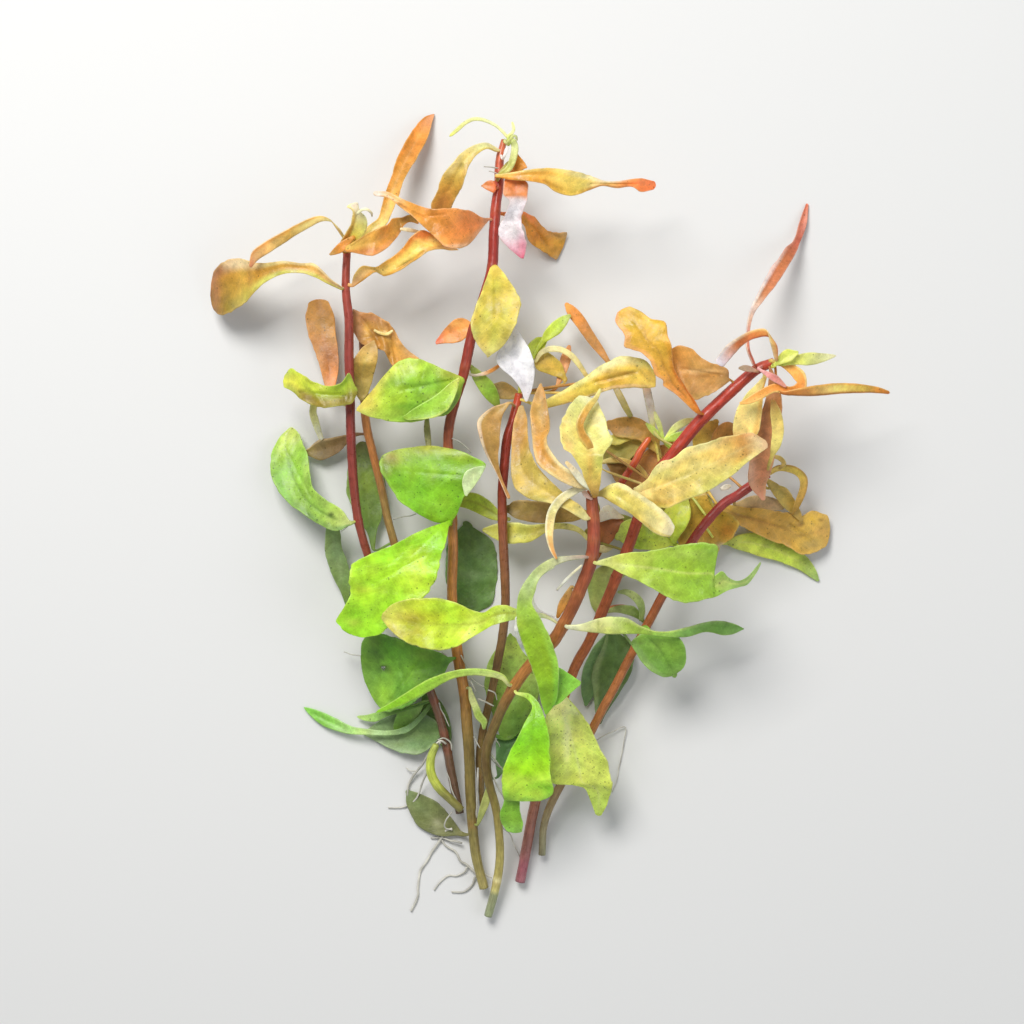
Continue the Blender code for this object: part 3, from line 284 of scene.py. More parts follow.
    ("leaf_bright_low", "blade", LIME, [
        (518, 692, 517, 695, 18.4), (528, 692, 526, 697, 19.6), (540, 703, 534, 707, 21.4), (545, 720, 527, 718, 22.4),
        (549, 738, 518, 738, 22.4), (551, 757, 507, 760, 22), (551, 777, 502, 779, 21), (550, 792, 502, 794, 19.6),
        (536, 802, 502, 804, 18.2), (523, 812, 503, 814, 16.8), (521, 824, 504, 826, 15.4), (515, 832, 510, 833, 14.4)],
        {"cup": 0.1}),
    ("leaf_right_large", "blade", LIME, [
        (597, 561, 597, 565, 29), (608, 558, 608, 567, 29.6), (626, 553, 623, 572, 30.4), (647, 551, 641, 583, 31),
        (670, 547, 661, 594, 31.2), (694, 543, 682, 604, 30.8), (715, 549, 702, 603, 30), (713, 572, 716, 598, 29.2),
        (726, 574, 728, 590, 28.6), (741, 577, 742, 588, 28), (752, 570, 754, 581, 27.4), (760, 562, 762, 564, 27)],
        {"cup": 0.1}),
    ("leaf_long_green", "blade", GREEN, [
        (583, 559, 583, 555, 30), (568, 561, 567, 556, 31), (553, 567, 550, 559, 32), (540, 578, 533, 571, 33),
        (532, 591, 521, 588, 33.4), (530, 606, 516, 605, 33.4), (541, 620, 517, 621, 33), (550, 639, 521, 638, 32),
        (558, 660, 529, 661, 30.6), (580, 680, 538, 684, 28.8), (567, 697, 542, 700, 27.2), (549, 712, 545, 714, 26)],
        {"cup": 0.08}),
    ("leaf_rosette_left", "blade", OLIVE, [
        (583, 520, 588, 515, 29), (575, 515, 581, 506, 29.4), (565, 509, 571, 499, 29.6), (552, 504, 560, 490, 29.6),
        (535, 500, 548, 478, 29.2), (520, 493, 537, 466, 28.4), (513, 483, 532, 456, 27.2), (511, 464, 529, 445, 25.6),
        (512, 440, 528, 432, 23.6), (514, 421, 527, 418, 21.8), (518, 409, 524, 408, 20.6)], {"cup": 0.1}),
    ("leaf_rosette_tan", "blade", ORANGE, [
        (585, 489, 589, 484, 30), (577, 488, 580, 476, 31.4), (562, 482, 568, 469, 32.4), (548, 473, 557, 459, 32.4),
        (537, 463, 549, 447, 31.6), (533, 448, 547, 438, 30.4), (531, 430, 550, 428, 28.6), (530, 411, 548, 409, 26.6),
        (535, 394, 545, 393, 24.8), (539, 385, 542, 385, 23.8)], {"cup": 0.12}),
    ("leaf_rosette_up", "blade", PALE, [
        (588, 489, 599, 489, 31), (584, 475, 602, 474, 33), (574, 457, 603, 458, 34.6), (560, 441, 611, 440, 35),
        (561, 425, 607, 424, 34.8), (569, 408, 601, 410, 34), (577, 396, 594, 397, 32.6), (594, 389, 598, 391, 31.6)],
        {"cup": 0.1}),
    ("leaf_tongue", "blade", PALE, [
        (600, 492, 600, 497, 31), (609, 484, 609, 502, 33.4), (622, 482, 621, 510, 35), (637, 489, 635, 519, 36),
        (652, 503, 647, 528, 36), (665, 517, 659, 534, 35), (675, 530, 670, 535, 33.4)], {"cup": -0.12}),
]

# ---- how each large leaf looks: colours from its base to its tip -------------------
# rim gives the colour and rim_highlight_k the strength of the painted highlight along a blade's margin
LOOK = {
    "leaf_back_flat": {"slot": "leaf_dark_green", "cols": [c(96, 126, 62), c(88, 122, 56), c(102, 132, 72), c(92, 116, 62)], "dabs": [(470, 575, 30, 6, c(130, 155, 105), 0.5)], "rim_highlight_k": 0.25, "folds": [(470, 530, 471, 605, 1.5, 0.10)]},
    "leaf_top_back": {"slot": "leaf_orange", "cols": [c(214, 120, 66), c(212, 134, 56), c(220, 156, 62), c(206, 150, 72)], "left": [c(232, 130, 92), c(232, 130, 92), c(226, 158, 82), c(196, 160, 116)], "dabs": [(560, 242, 8, 6, c(240, 178, 66), 0.8), (556, 258, 5, 4, c(165, 140, 108), 0.6), (536, 236, 8, 5, c(196, 112, 52), 0.5)], "folds": [(532, 226, 548, 246, 1.6, 0.45), (548, 232, 560, 238, 1.3, 0.35)], "uneven": 0.10, "cup": 0.1},
    "leaf_left_brown": {"slot": "leaf_brown", "cols": [c(165, 110, 78), c(186, 132, 68), c(206, 146, 72), c(228, 166, 98)], "left": [c(170, 112, 84), c(178, 122, 82), c(205, 150, 86), c(236, 180, 120)], "dabs": [(384, 333, 5, 2, c(240, 214, 140), 0.8), (367, 330, 4, 9, c(226, 176, 84), 0.7), (405, 345, 3, 9, c(242, 186, 132), 0.6), (372, 318, 9, 3, c(158, 104, 84), 0.6)], "folds": [(362, 318, 380, 344, 1.8, 0.55), (376, 320, 388, 352, 1.6, -0.45), (388, 326, 396, 360, 1.5, 0.45), (366, 338, 378, 336, 1.5, 0.4), (380, 331, 387, 334, 1.2, -0.35)], "uneven": 0.12, "wave": 0.7, "period": 4.5},
    "leaf_left_paddle": {"slot": "leaf_yellow", "stalk": 2.2, "cols": [(0.0, c(165, 140, 110)), (0.1, c(205, 165, 95)), (0.3, c(205, 150, 70)), (0.55, c(205, 145, 60)), (0.68, c(205, 165, 70)), (0.8, c(180, 125, 50)), (0.93, c(165, 125, 50)), (1.0, c(150, 110, 45))],
        "left": [(0, c(200, 190, 90)), (0.55, c(222, 215, 100)), (0.7, c(200, 180, 80)), (0.85, c(150, 125, 45)), (1, c(150, 100, 45))],
        "right": [(0, c(240, 220, 160)), (0.5, c(235, 205, 130)), (0.68, c(240, 215, 165)), (0.85, c(165, 105, 75)), (1, c(165, 105, 70))], "right_at": 0.35,
        # the cream dab at (236, 264) is a painted highlight on the top of the paddle
        "dabs": [(236, 264, 12, 5, c(238, 215, 165), 0.9), (217, 290, 5, 16, c(175, 110, 80), 0.8), (232, 288, 9, 14, c(170, 140, 50), 0.6), (250, 275, 2.5, 16, c(150, 100, 45), 0.5)],
        "specks": 0.2, "speck_dabs": [(233, 278, 12, 14, None, 0.6)], "wave": 0.4, "tip": 1.0},
    "leaf_left_arch": {"slot": "leaf_orange", "cols": [(0, c(236, 220, 150)), (0.2, c(242, 228, 158)), (0.42, c(240, 218, 138)), (0.6, c(232, 186, 98)), (0.78, c(238, 200, 122)), (0.92, c(232, 178, 118)), (1, c(214, 130, 110))], "right": [c(236, 206, 120), c(230, 176, 90), c(222, 152, 78), c(220, 140, 92)], "right_at": 0.2, "right_to": 0.9, "specks": 0.03, "rim_highlight_k": 0.7, "rim": c(246, 236, 190)},
    "leaf_left_tall": {"slot": "leaf_orange", "cols": [(0, c(236, 222, 122)), (0.16, c(240, 222, 136)), (0.28, c(232, 190, 108)), (0.38, c(222, 158, 80)), (0.6, c(220, 146, 70)), (0.85, c(216, 136, 74)), (1, c(226, 150, 124))], "mid": c(240, 190, 124), "mid_k": 0.6, "left": [c(232, 214, 120), c(206, 130, 60), c(205, 122, 54), c(205, 120, 66)], "left_at": 0.4, "wave": 0.3, "uneven": 0.09, "sharp": True, "tip": 1.2, "folds": [(384, 215, 391, 190, 1.3, 0.25)]},
    "leaf_left_young": {"slot": "leaf_pale", "cols": [c(206, 150, 66), c(226, 200, 90), c(230, 220, 108), c(236, 230, 140), c(246, 240, 190), c(246, 232, 205)], "left": [c(196, 122, 56), c(208, 142, 66), c(232, 205, 110), c(240, 228, 160)], "left_at": 0.2, "wave": 0.2, "folds": [(346, 246, 357, 215, 1.8, 0.5)], "uneven": 0.08},
    "leaf_gold_arch": {"slot": "leaf_yellow", "cols": [(0, c(238, 232, 172)), (0.2, c(240, 232, 160)), (0.38, c(232, 206, 112)), (0.6, c(214, 172, 80)), (0.8, c(190, 132, 66)), (1, c(176, 116, 62))], "right": [c(244, 238, 190), c(240, 226, 150), c(222, 180, 88), c(196, 134, 70)], "right_at": 0.2, "left": [c(232, 214, 120), c(212, 170, 78), c(176, 118, 62)], "left_at": 0.3, "dabs": [(449, 168, 5, 5, c(238, 220, 150), 0.7), (452, 183, 4, 8, c(170, 124, 60), 0.4)], "specks": 0.25, "uneven": 0.08, "folds": [(462, 165, 449, 190, 1.5, 0.45)]},
    "leaf_left_peach": {"slot": "leaf_orange", "cols": [(0, c(226, 186, 96)), (0.2, c(224, 166, 84)), (0.45, c(216, 142, 70)), (0.75, c(196, 140, 70)), (1, c(150, 118, 62))], "right": [c(216, 140, 84), c(218, 142, 90), c(196, 138, 70)], "right_at": 0.3, "dabs": [(408, 220, 9, 5, c(140, 108, 54), 0.8), (368, 250, 8, 3, c(176, 92, 44), 0.5)], "folds": [(352, 246, 378, 228, 1.6, 0.4), (396, 217, 402, 232, 1.4, 0.4)], "uneven": 0.07},
    "leaf_left_yellow": {"slot": "leaf_orange", "stalk": 3.6, "cols": [(0, c(238, 186, 130)), (0.2, c(238, 190, 112)), (0.4, c(238, 204, 98)), (0.7, c(240, 212, 108)), (0.85, c(238, 200, 104)), (1, c(240, 206, 150))], "left": [c(238, 200, 130), c(226, 180, 84), c(216, 118, 56), c(240, 214, 130)], "left_at": 0.2, "right": [c(224, 160, 84), c(220, 160, 72), c(214, 150, 62), c(234, 190, 120)], "right_at": 0.5, "dabs": [(423, 236, 11, 6, c(214, 106, 56), 0.85), (438, 240, 8, 3, c(246, 226, 150), 0.7), (450, 248, 8, 3, c(244, 222, 160), 0.6)], "folds": [(398, 268, 424, 252, 1.1, 0.4), (414, 240, 434, 246, 1.4, -0.3), (374, 268, 380, 274, 1.6, 0.4)], "uneven": 0.06},
    "leaf_rust": {"slot": "leaf_rust", "cols": [(0, c(226, 160, 130)), (0.14, c(214, 126, 84)), (0.35, c(208, 122, 70)), (0.55, c(206, 126, 62)), (0.72, c(214, 148, 76)), (0.88, c(226, 172, 112)), (1, c(244, 226, 205))],
        "left": [(0, c(236, 190, 160)), (0.3, c(216, 136, 82)), (0.6, c(208, 136, 64)), (1, c(225, 170, 110))], "left_at": 0.2, "dabs": [(432, 224, 14, 9, c(212, 140, 64), 0.6), (466, 222, 12, 12, c(208, 112, 70), 0.5), (458, 246, 14, 2, c(240, 204, 170), 0.7), (396, 196, 12, 4, c(238, 196, 130), 0.6), (378, 195, 4, 4, c(248, 236, 222), 0.9)], "folds": [(428, 216, 446, 214, 1.2, 0.2), (400, 205, 424, 218, 1.4, 0.35)], "specks": 0.4, "wave": 0.35},
    "leaf_top_right": {"slot": "leaf_orange", "cols": [(0, c(232, 200, 110)), (0.12, c(218, 150, 62)), (0.3, c(222, 168, 70)), (0.45, c(232, 204, 96)), (0.56, c(230, 204, 100)), (0.66, c(236, 206, 140)), (0.8, c(214, 140, 84)), (0.9, c(228, 126, 88)), (1, c(232, 118, 84))],
        "left": [(0, c(238, 214, 140)), (0.3, c(234, 196, 96)), (0.5, c(246, 236, 160)), (0.7, c(248, 228, 190)), (0.86, c(236, 150, 110)), (1, c(228, 110, 80))], "left_at": 0.4, "right": [(0, c(206, 130, 52)), (0.3, c(206, 142, 56)), (0.5, c(226, 196, 84)), (0.62, c(176, 116, 62)), (0.75, c(160, 96, 60)), (0.88, c(222, 128, 92)), (1, c(226, 112, 80))], "right_at": 0.2, "dabs": [(562, 178, 14, 4, c(242, 226, 120), 0.6)], "folds": [(544, 181, 562, 190, 1.3, 0.4), (590, 184, 636, 184, 0.9, 0.3)], "specks": 0.15, "uneven": 0.06},
    "leaf_hanging_pink": {"slot": "leaf_pink", "cols": [(0, c(206, 122, 62)), (0.16, c(204, 124, 62)), (0.26, c(208, 134, 76)), (0.31, c(240, 226, 222)), (0.45, c(250, 247, 250)), (0.75, c(248, 240, 246)), (0.88, c(240, 205, 216)), (1, c(222, 120, 140))], "right": [(0, c(206, 118, 58)), (0.27, c(214, 136, 78)), (0.33, c(248, 236, 236)), (0.7, c(244, 226, 234)), (0.85, c(232, 160, 176)), (1, c(214, 96, 122))], "right_at": 0.3,
        "dabs": [(515, 188, 9, 5, c(198, 112, 52), 0.6), (521, 247, 5, 7, c(230, 146, 164), 0.7)], "mid_k": 0.12, "mid": c(232, 200, 205), "specks": 0.06, "uneven": 0.11, "folds": [(512, 214, 518, 248, 1.8, 0.3)], "cup": 0.12, "mottle": 0.4},
    "leaf_white": {"slot": "leaf_white", "cols": [c(240, 238, 232), c(250, 249, 250), c(252, 251, 253), c(252, 250, 253), c(248, 246, 250)], "dabs": [(514, 352, 3, 9, c(214, 214, 222), 0.5), (500, 320, 6, 4, c(214, 222, 180), 0.6)], "mottle": 0.15, "specks": 0.02, "rim_highlight_k": 0.1, "mid_k": 0.05, "vein_k": 0.1},
    "leaf_olive_facing": {"slot": "leaf_olive", "cols": [(0, c(218, 202, 96)), (0.2, c(210, 190, 76)), (0.5, c(200, 184, 68)), (0.8, c(206, 190, 80)), (1, c(232, 220, 132))], "dabs": [(482, 328, 5, 12, c(228, 214, 106), 0.5), (494, 300, 3, 18, c(168, 156, 50), 0.5), (508, 330, 8, 8, c(178, 164, 60), 0.5), (484, 300, 4, 10, c(178, 162, 56), 0.45), (512, 300, 4, 12, c(224, 206, 100), 0.5), (500, 344, 8, 3, c(228, 214, 110), 0.5)], "specks": 0.6, "edge": [c(222, 206, 104), c(220, 202, 96), c(236, 222, 140)], "edge_at": 0.7, "mottle": 1.8, "folds": [(494, 272, 497, 345, 1.3, 0.16)]},
    "leaf_left_green": {"slot": "leaf_green", "cols": [(0, c(165, 172, 62)), (0.2, c(160, 186, 52)), (0.5, c(186, 208, 58)), (0.75, c(214, 226, 66)), (1, c(226, 232, 92))], "left": [(0, c(140, 128, 50)), (0.4, c(146, 128, 48)), (0.7, c(160, 146, 52)), (1, c(216, 220, 88))], "left_at": -0.1, "left_to": 0.55, "specks": 0.5, "dabs": [(344, 377, 4, 5, c(140, 176, 52), 0.6), (309, 398, 12, 5, c(122, 98, 44), 0.7), (298, 378, 10, 6, c(236, 238, 84), 0.8), (330, 398, 14, 3, c(116, 112, 40), 0.6), (318, 388, 10, 3, c(232, 232, 96), 0.5)], "folds": [(300, 392, 345, 396, 2.0, 0.35), (346, 376, 350, 398, 1.4, 0.4), (308, 384, 322, 404, 1.6, -0.3)], "uneven": 0.09, "mottle": 1.6, "wave": 0.5},
    "leaf_green_folded": {"slot": "leaf_green", "cols": [(0, c(176, 196, 66)), (0.2, c(150, 192, 52)), (0.5, c(140, 190, 46)), (0.72, c(172, 200, 62)), (0.88, c(216, 212, 88)), (1, c(226, 206, 110))], "left": [c(150, 178, 62), c(112, 158, 40), c(126, 172, 44), c(176, 198, 70), c(228, 218, 116)], "left_at": 0.25, "right": [c(190, 200, 90), c(172, 206, 70), c(196, 216, 82), c(228, 222, 104)], "right_at": 0.3, "dabs": [(405, 406, 18, 4, c(104, 156, 36), 0.6), (418, 384, 20, 3, c(92, 136, 34), 0.5), (402, 372, 12, 5, c(190, 216, 76), 0.6), (368, 404, 9, 6, c(222, 204, 92), 0.6), (372, 392, 6, 5, c(186, 160, 70), 0.5), (438, 398, 10, 6, c(190, 198, 86), 0.5)], "folds": [(400, 390, 452, 380, 1.4, 0.35), (398, 366, 408, 398, 1.5, 0.22), (424, 366, 418, 392, 1.3, 0.18)], "specks": 0.75, "mottle": 1.7, "uneven": 0.04},
    "leaf_left_spotted": {"slot": "leaf_green", "cols": [(0, c(196, 212, 118)), (0.15, c(172, 206, 92)), (0.45, c(146, 194, 70)), (0.75, c(154, 198, 70)), (1, c(206, 222, 110))], "left": [c(140, 172, 92), c(122, 164, 74), c(132, 180, 66), c(176, 208, 92)], "left_at": 0.35, "mid": c(96, 134, 46), "mid_k": 0.7, "specks": 1.0, "dabs": [(332, 516, 6, 7, c(186, 212, 104), 0.6), (331, 515, 2.2, 2.2, c(64, 80, 36), 0.9), (290, 438, 8, 5, c(206, 220, 116), 0.7), (306, 470, 3, 14, c(186, 214, 106), 0.6)], "mottle": 1.5, "folds": [(286, 450, 312, 498, 1.6, 0.25)]},
    "leaf_dark_low_left": {"slot": "leaf_dark_green", "cols": [(0, c(110, 152, 62)), (0.3, c(104, 150, 48)), (0.6, c(104, 156, 46)), (1, c(120, 160, 58))], "dabs": [(412, 672, 12, 12, c(136, 184, 52), 0.6), (385, 694, 9, 12, c(158, 206, 60), 0.8), (375, 660, 10, 16, c(92, 130, 44), 0.5), (384, 668, 4.4, 3.2, c(45, 60, 25), 0.9), (398, 690, 3, 12, c(80, 124, 38), 0.5), (425, 655, 10, 6, c(140, 172, 66), 0.4)], "specks": 0.3, "folds": [(390, 700, 420, 660, 1.6, 0.3), (398, 650, 408, 700, 1.4, 0.2)], "mottle": 1.5, "holes": [(383.5, 667.5, 2.1)]},
    "leaf_green_large": {"slot": "leaf_green", "cols": [(0, c(158, 208, 52)), (0.2, c(142, 202, 42)), (0.5, c(132, 190, 38)), (0.8, c(140, 184, 48)), (1, c(170, 178, 78))], "dabs": [(390, 458, 9, 7, c(150, 122, 66), 0.7), (385, 470, 4, 14, c(104, 122, 40), 0.6), (420, 470, 16, 6, c(162, 208, 58), 0.4), (440, 505, 14, 8, c(172, 222, 62), 0.6), (432, 458, 18, 4, c(112, 162, 36), 0.5), (458, 452, 14, 3, c(180, 208, 90), 0.5)], "specks": 0.9, "mottle": 1.5, "folds": [(396, 470, 462, 476, 1.6, 0.2)], "holes": [(401, 478, 0.8)]},
    "leaf_bright_down": {"slot": "leaf_lime", "cols": [(0, c(160, 216, 46)), (0.25, c(166, 224, 40)), (0.55, c(190, 236, 48)), (0.8, c(184, 232, 54)), (1, c(158, 218, 46))], "dabs": [(416, 575, 14, 24, c(226, 248, 78), 0.8), (357, 612, 12, 12, c(150, 216, 40), 0.6), (436, 540, 8, 12, c(148, 208, 40), 0.5), (372, 566, 16, 8, c(190, 230, 70), 0.5), (366, 590, 14, 4, c(206, 214, 70), 0.5), (392, 596, 5, 16, c(160, 214, 44), 0.5), (352, 622, 8, 5, c(206, 214, 84), 0.5)], "specks": 0.4, "relief": 1.1, "mottle": 1.3, "folds": [(372, 584, 424, 556, 2.0, 0.22)]},
    "leaf_lime_across": {"slot": "leaf_lime", "cols": [(0, c(236, 242, 176)), (0.15, c(220, 238, 120)), (0.35, c(208, 236, 62)), (0.6, c(204, 232, 54)), (0.85, c(200, 210, 60)), (1, c(216, 212, 108))], "dabs": [(462, 633, 22, 9, c(236, 250, 86), 0.85), (412, 618, 20, 8, c(176, 150, 46), 0.6), (404, 634, 14, 5, c(200, 184, 78), 0.5), (440, 608, 24, 6, c(184, 226, 48), 0.5), (475, 622, 10, 6, c(238, 250, 118), 0.6), (398, 616, 5, 4, c(214, 206, 96), 0.5)], "mid": c(176, 178, 48), "mid_k": 0.6, "specks": 0.35, "mottle": 1.4},
    "leaf_right_pink": {"slot": "leaf_pink", "cols": [(0, c(196, 140, 96)), (0.3, c(190, 140, 90)), (0.6, c(206, 146, 100)), (0.85, c(232, 168, 126)), (1, c(238, 176, 140))], "dabs": [(765, 425, 5, 24, c(170, 116, 88), 0.6), (751, 470, 5, 20, c(246, 214, 190), 0.6), (762, 478, 9, 12, c(232, 156, 112), 0.6)], "left": [c(196, 146, 90), c(205, 150, 96), c(236, 186, 142)], "left_at": 0.4, "specks": 0.12},
    "leaf_right_brown": {"slot": "leaf_brown", "cols": [(0, c(176, 128, 76)), (0.3, c(190, 136, 76)), (0.7, c(198, 140, 76)), (1, c(210, 146, 84))], "dabs": [(700, 371, 20, 2, c(232, 184, 124), 0.8), (712, 398, 12, 6, c(176, 158, 80), 0.6), (695, 390, 12, 6, c(176, 118, 84), 0.4), (690, 352, 10, 4, c(214, 146, 72), 0.5), (700, 376, 20, 2, c(158, 98, 50), 0.6)], "folds": [(682, 369, 720, 375, 1.4, 0.45)], "specks": 0.15, "uneven": 0.08},
    "leaf_golden_long": {"slot": "leaf_yellow", "cols": [(0, c(226, 208, 104)), (0.2, c(230, 208, 96)), (0.5, c(226, 190, 78)), (0.75, c(226, 190, 76)), (1, c(232, 206, 98))], "left": [(0, c(232, 214, 116)), (0.4, c(242, 236, 150)), (0.75, c(246, 240, 170)), (1, c(240, 232, 130))], "left_at": 0.2, "right": [(0, c(214, 186, 84)), (0.5, c(238, 206, 150)), (0.8, c(238, 200, 130)), (1, c(226, 196, 90))], "right_at": 0.7, "dabs": [(626, 373, 10, 2.4, c(160, 106, 40), 0.8), (610, 380, 14, 2, c(196, 142, 56), 0.6), (575, 397, 16, 4, c(205, 170, 78), 0.5)], "folds": [(596, 382, 636, 372, 1.4, 0.6), (636, 366, 650, 382, 1.3, 0.3)], "specks": 0.3, "uneven": 0.06},
    "leaf_big_orange": {"slot": "leaf_orange", "cols": [(0, c(222, 130, 66)), (0.2, c(226, 146, 76)), (0.38, c(222, 156, 66)), (0.6, c(214, 168, 58)), (0.8, c(216, 176, 60)), (1, c(222, 176, 72))], "right": [(0, c(200, 104, 46)), (0.35, c(196, 110, 46)), (0.55, c(210, 150, 56)), (0.8, c(220, 182, 62)), (1, c(226, 190, 84))], "right_at": 0.45, "left": [(0, c(232, 160, 100)), (0.4, c(236, 168, 100)), (0.7, c(222, 168, 92)), (1, c(236, 168, 112))], "left_at": 0.6, "dabs": [(660, 330, 6, 10, c(226, 188, 66), 0.6), (640, 330, 6, 16, c(200, 160, 62), 0.4)], "specks": 0.3, "mid": c(176, 124, 48), "mid_k": 0.6, "wave": 0.4, "uneven": 0.06, "rim": c(240, 180, 120), "folds": [(634, 322, 668, 372, 1.2, 0.18), (672, 360, 694, 404, 1.3, 0.3)]},
    "leaf_right_tall": {"slot": "leaf_pink", "stalk": 2.2, "cols": [(0, c(190, 100, 80)), (0.15, c(205, 130, 105)), (0.3, c(232, 205, 185)), (0.42, c(200, 130, 84)), (0.65, c(182, 108, 66)), (0.82, c(176, 92, 70)), (0.93, c(200, 120, 96)), (1, c(200, 110, 80))], "left": [c(228, 190, 170), c(244, 232, 220), c(248, 240, 232), c(196, 130, 104), c(170, 84, 60)], "left_at": 0.3, "specks": 0.2, "uneven": 0.10, "tip": 0.9, "wave": 0.3, "folds": [(758, 302, 776, 272, 1.2, 0.25)]},
    "leaf_right_arch": {"slot": "leaf_orange", "stalk": 3.0, "cols": [(0, c(232, 190, 130)), (0.2, c(228, 170, 100)), (0.45, c(216, 128, 82)), (0.7, c(206, 110, 84)), (0.85, c(236, 196, 180)), (1, c(250, 246, 244))], "right": [c(244, 222, 160), c(240, 204, 130), c(238, 186, 120), c(246, 226, 206), c(252, 248, 246)], "right_at": 0.2, "left": [c(214, 118, 78), c(198, 90, 70), c(206, 110, 88), c(248, 240, 240)], "left_at": 0.4, "specks": 0.03, "wave": 0.2},
    "leaf_right_far": {"slot": "leaf_orange", "cols": [(0, c(180, 104, 62)), (0.2, c(196, 126, 70)), (0.45, c(238, 214, 120)), (0.7, c(240, 206, 96)), (0.88, c(226, 146, 66)), (1, c(205, 110, 56))], "left": [c(214, 150, 84), c(226, 176, 90), c(232, 170, 84)], "left_at": 0.5, "right": [c(150, 88, 60), c(176, 112, 66), c(205, 125, 60)], "right_at": 0.4, "sharp": True, "tip": 1.2, "wave": 0.2, "uneven": 0.07},
    "leaf_big_pale": {"slot": "leaf_pale", "cols": [(0, c(236, 222, 142)), (0.2, c(234, 212, 116)), (0.5, c(232, 210, 112)), (0.72, c(226, 196, 104)), (0.84, c(208, 156, 84)), (0.92, c(238, 214, 150)), (1, c(242, 210, 160))], "left": [(0, c(246, 234, 160)), (0.5, c(242, 228, 144)), (0.75, c(222, 182, 112)), (0.85, c(206, 148, 82)), (1, c(240, 214, 160))], "left_at": 0.5, "right": [(0, c(206, 178, 84)), (0.4, c(222, 204, 100)), (0.8, c(230, 218, 120)), (1, c(242, 210, 160))], "right_at": 0.5, "dabs": [(740, 443, 14, 5, c(198, 140, 74), 0.7), (766, 446, 4, 6, c(242, 196, 150), 0.6), (664, 492, 12, 5, c(206, 168, 84), 0.5), (700, 466, 24, 4, c(244, 232, 142), 0.5), (664, 502, 14, 3, c(196, 150, 76), 0.5), (706, 478, 16, 5, c(214, 206, 94), 0.5)], "specks": 0.5, "mid": c(248, 236, 160), "mid_k": 0.5, "uneven": 0.05, "mottle": 1.5, "folds": [(640, 492, 700, 470, 1.2, 0.2)]},
    "leaf_brown_hanging": {"slot": "leaf_brown", "cols": [(0, c(214, 180, 116)), (0.15, c(184, 142, 80)), (0.5, c(172, 130, 70)), (0.8, c(176, 126, 74)), (1, c(200, 144, 96))], "right": [c(214, 172, 122), c(240, 218, 184), c(244, 224, 200), c(238, 200, 170)], "right_at": 0.6, "dabs": [(492, 428, 6, 16, c(188, 140, 72), 0.5), (486, 450, 3, 12, c(140, 98, 60), 0.5)], "specks": 0.3},
    "leaf_pale_low": {"slot": "leaf_pale", "cols": [(0, c(236, 240, 160)), (0.2, c(226, 234, 126)), (0.5, c(218, 228, 104)), (0.8, c(216, 230, 104)), (1, c(206, 228, 104))], "dabs": [(567, 735, 4, 26, c(242, 244, 176), 0.8), (598, 776, 9, 16, c(222, 234, 108), 0.6), (588, 735, 8, 16, c(206, 222, 92), 0.4), (600, 760, 4, 16, c(196, 216, 84), 0.5)], "specks": 1.3, "mid": c(246, 246, 190), "mid_k": 0.4, "edge": [c(206, 222, 86)], "edge_at": 0.8},
    "leaf_hanging_right": {"slot": "leaf_green", "cols": [(0, c(150, 195, 75)), (0.4, c(130, 175, 62)), (0.8, c(125, 170, 65)), (1, c(145, 185, 80))], "mid": c(80, 115, 40), "mid_k": 0.6, "right": [c(140, 180, 85), c(150, 185, 95)], "right_at": 0.6, "specks": 0.25},
    "leaf_right_lime": {"slot": "leaf_lime", "stalk": 3.4, "cols": [(0, c(240, 236, 200)), (0.1, c(236, 236, 170)), (0.22, c(226, 236, 130)), (0.36, c(188, 220, 80)), (0.5, c(165, 205, 85)), (0.65, c(140, 185, 85)), (0.85, c(120, 170, 72)), (1, c(150, 190, 100))], "left": [c(240, 236, 190), c(232, 240, 150), c(200, 225, 110), c(160, 195, 110), c(110, 160, 60)], "left_at": 0.3, "dabs": [(608, 623, 10, 5, c(240, 244, 170), 0.7), (598, 626, 1.5, 8, c(170, 180, 90), 0.5), (726, 627, 10, 4, c(95, 150, 55), 0.5)], "specks": 0.1, "wave": 0.2},
    "leaf_arch_low": {"slot": "leaf_lime", "stalk": 3.4, "cols": [(0, c(240, 240, 180)), (0.15, c(232, 242, 150)), (0.4, c(205, 236, 100)), (0.6, c(190, 235, 80)), (0.8, c(176, 232, 60)), (1, c(165, 225, 60))], "right": [c(200, 225, 110), c(165, 215, 60), c(150, 215, 45)], "right_at": 0.5, "specks": 0.1, "wave": 0.15, "mid": c(130, 185, 35), "mid_k": 0.4, "sharp": True, "tip": 2.0},
    "leaf_bright_low": {"slot": "leaf_lime", "stalk": 3.0, "cols": [(0, c(225, 235, 140)), (0.1, c(180, 220, 75)), (0.25, c(148, 205, 45)), (0.5, c(146, 214, 36)), (0.72, c(188, 240, 44)), (0.8, c(214, 250, 84)), (0.86, c(150, 212, 52)), (1, c(158, 205, 84))], "dabs": [(538, 748, 10, 16, c(142, 206, 30), 0.6), (516, 786, 14, 8, c(220, 250, 84), 0.8), (538, 794, 10, 6, c(218, 250, 82), 0.7), (527, 772, 8, 6, c(178, 244, 20), 0.6), (512, 822, 10, 8, c(150, 206, 66), 0.6)], "specks": 0.3, "mid_k": 0.15, "rim_highlight_k": 0.3},
    "leaf_right_large": {"slot": "leaf_lime", "stalk": 3.2, "cols": [(0, c(236, 234, 150)), (0.12, c(212, 224, 105)), (0.3, c(172, 202, 66)), (0.5, c(158, 196, 56)), (0.68, c(152, 190, 60)), (0.82, c(150, 185, 95)), (1, c(160, 190, 120))], "mid": c(222, 230, 130), "mid_k": 0.8, "dabs": [(690, 553, 14, 6, c(186, 212, 92), 0.7), (650, 590, 20, 6, c(172, 204, 62), 0.5), (635, 558, 14, 4, c(200, 215, 90), 0.5), (722, 583, 8, 6, c(205, 218, 120), 0.5), (745, 579, 9, 5, c(140, 172, 88), 0.6)], "specks": 0.45, "wave": 0.3},
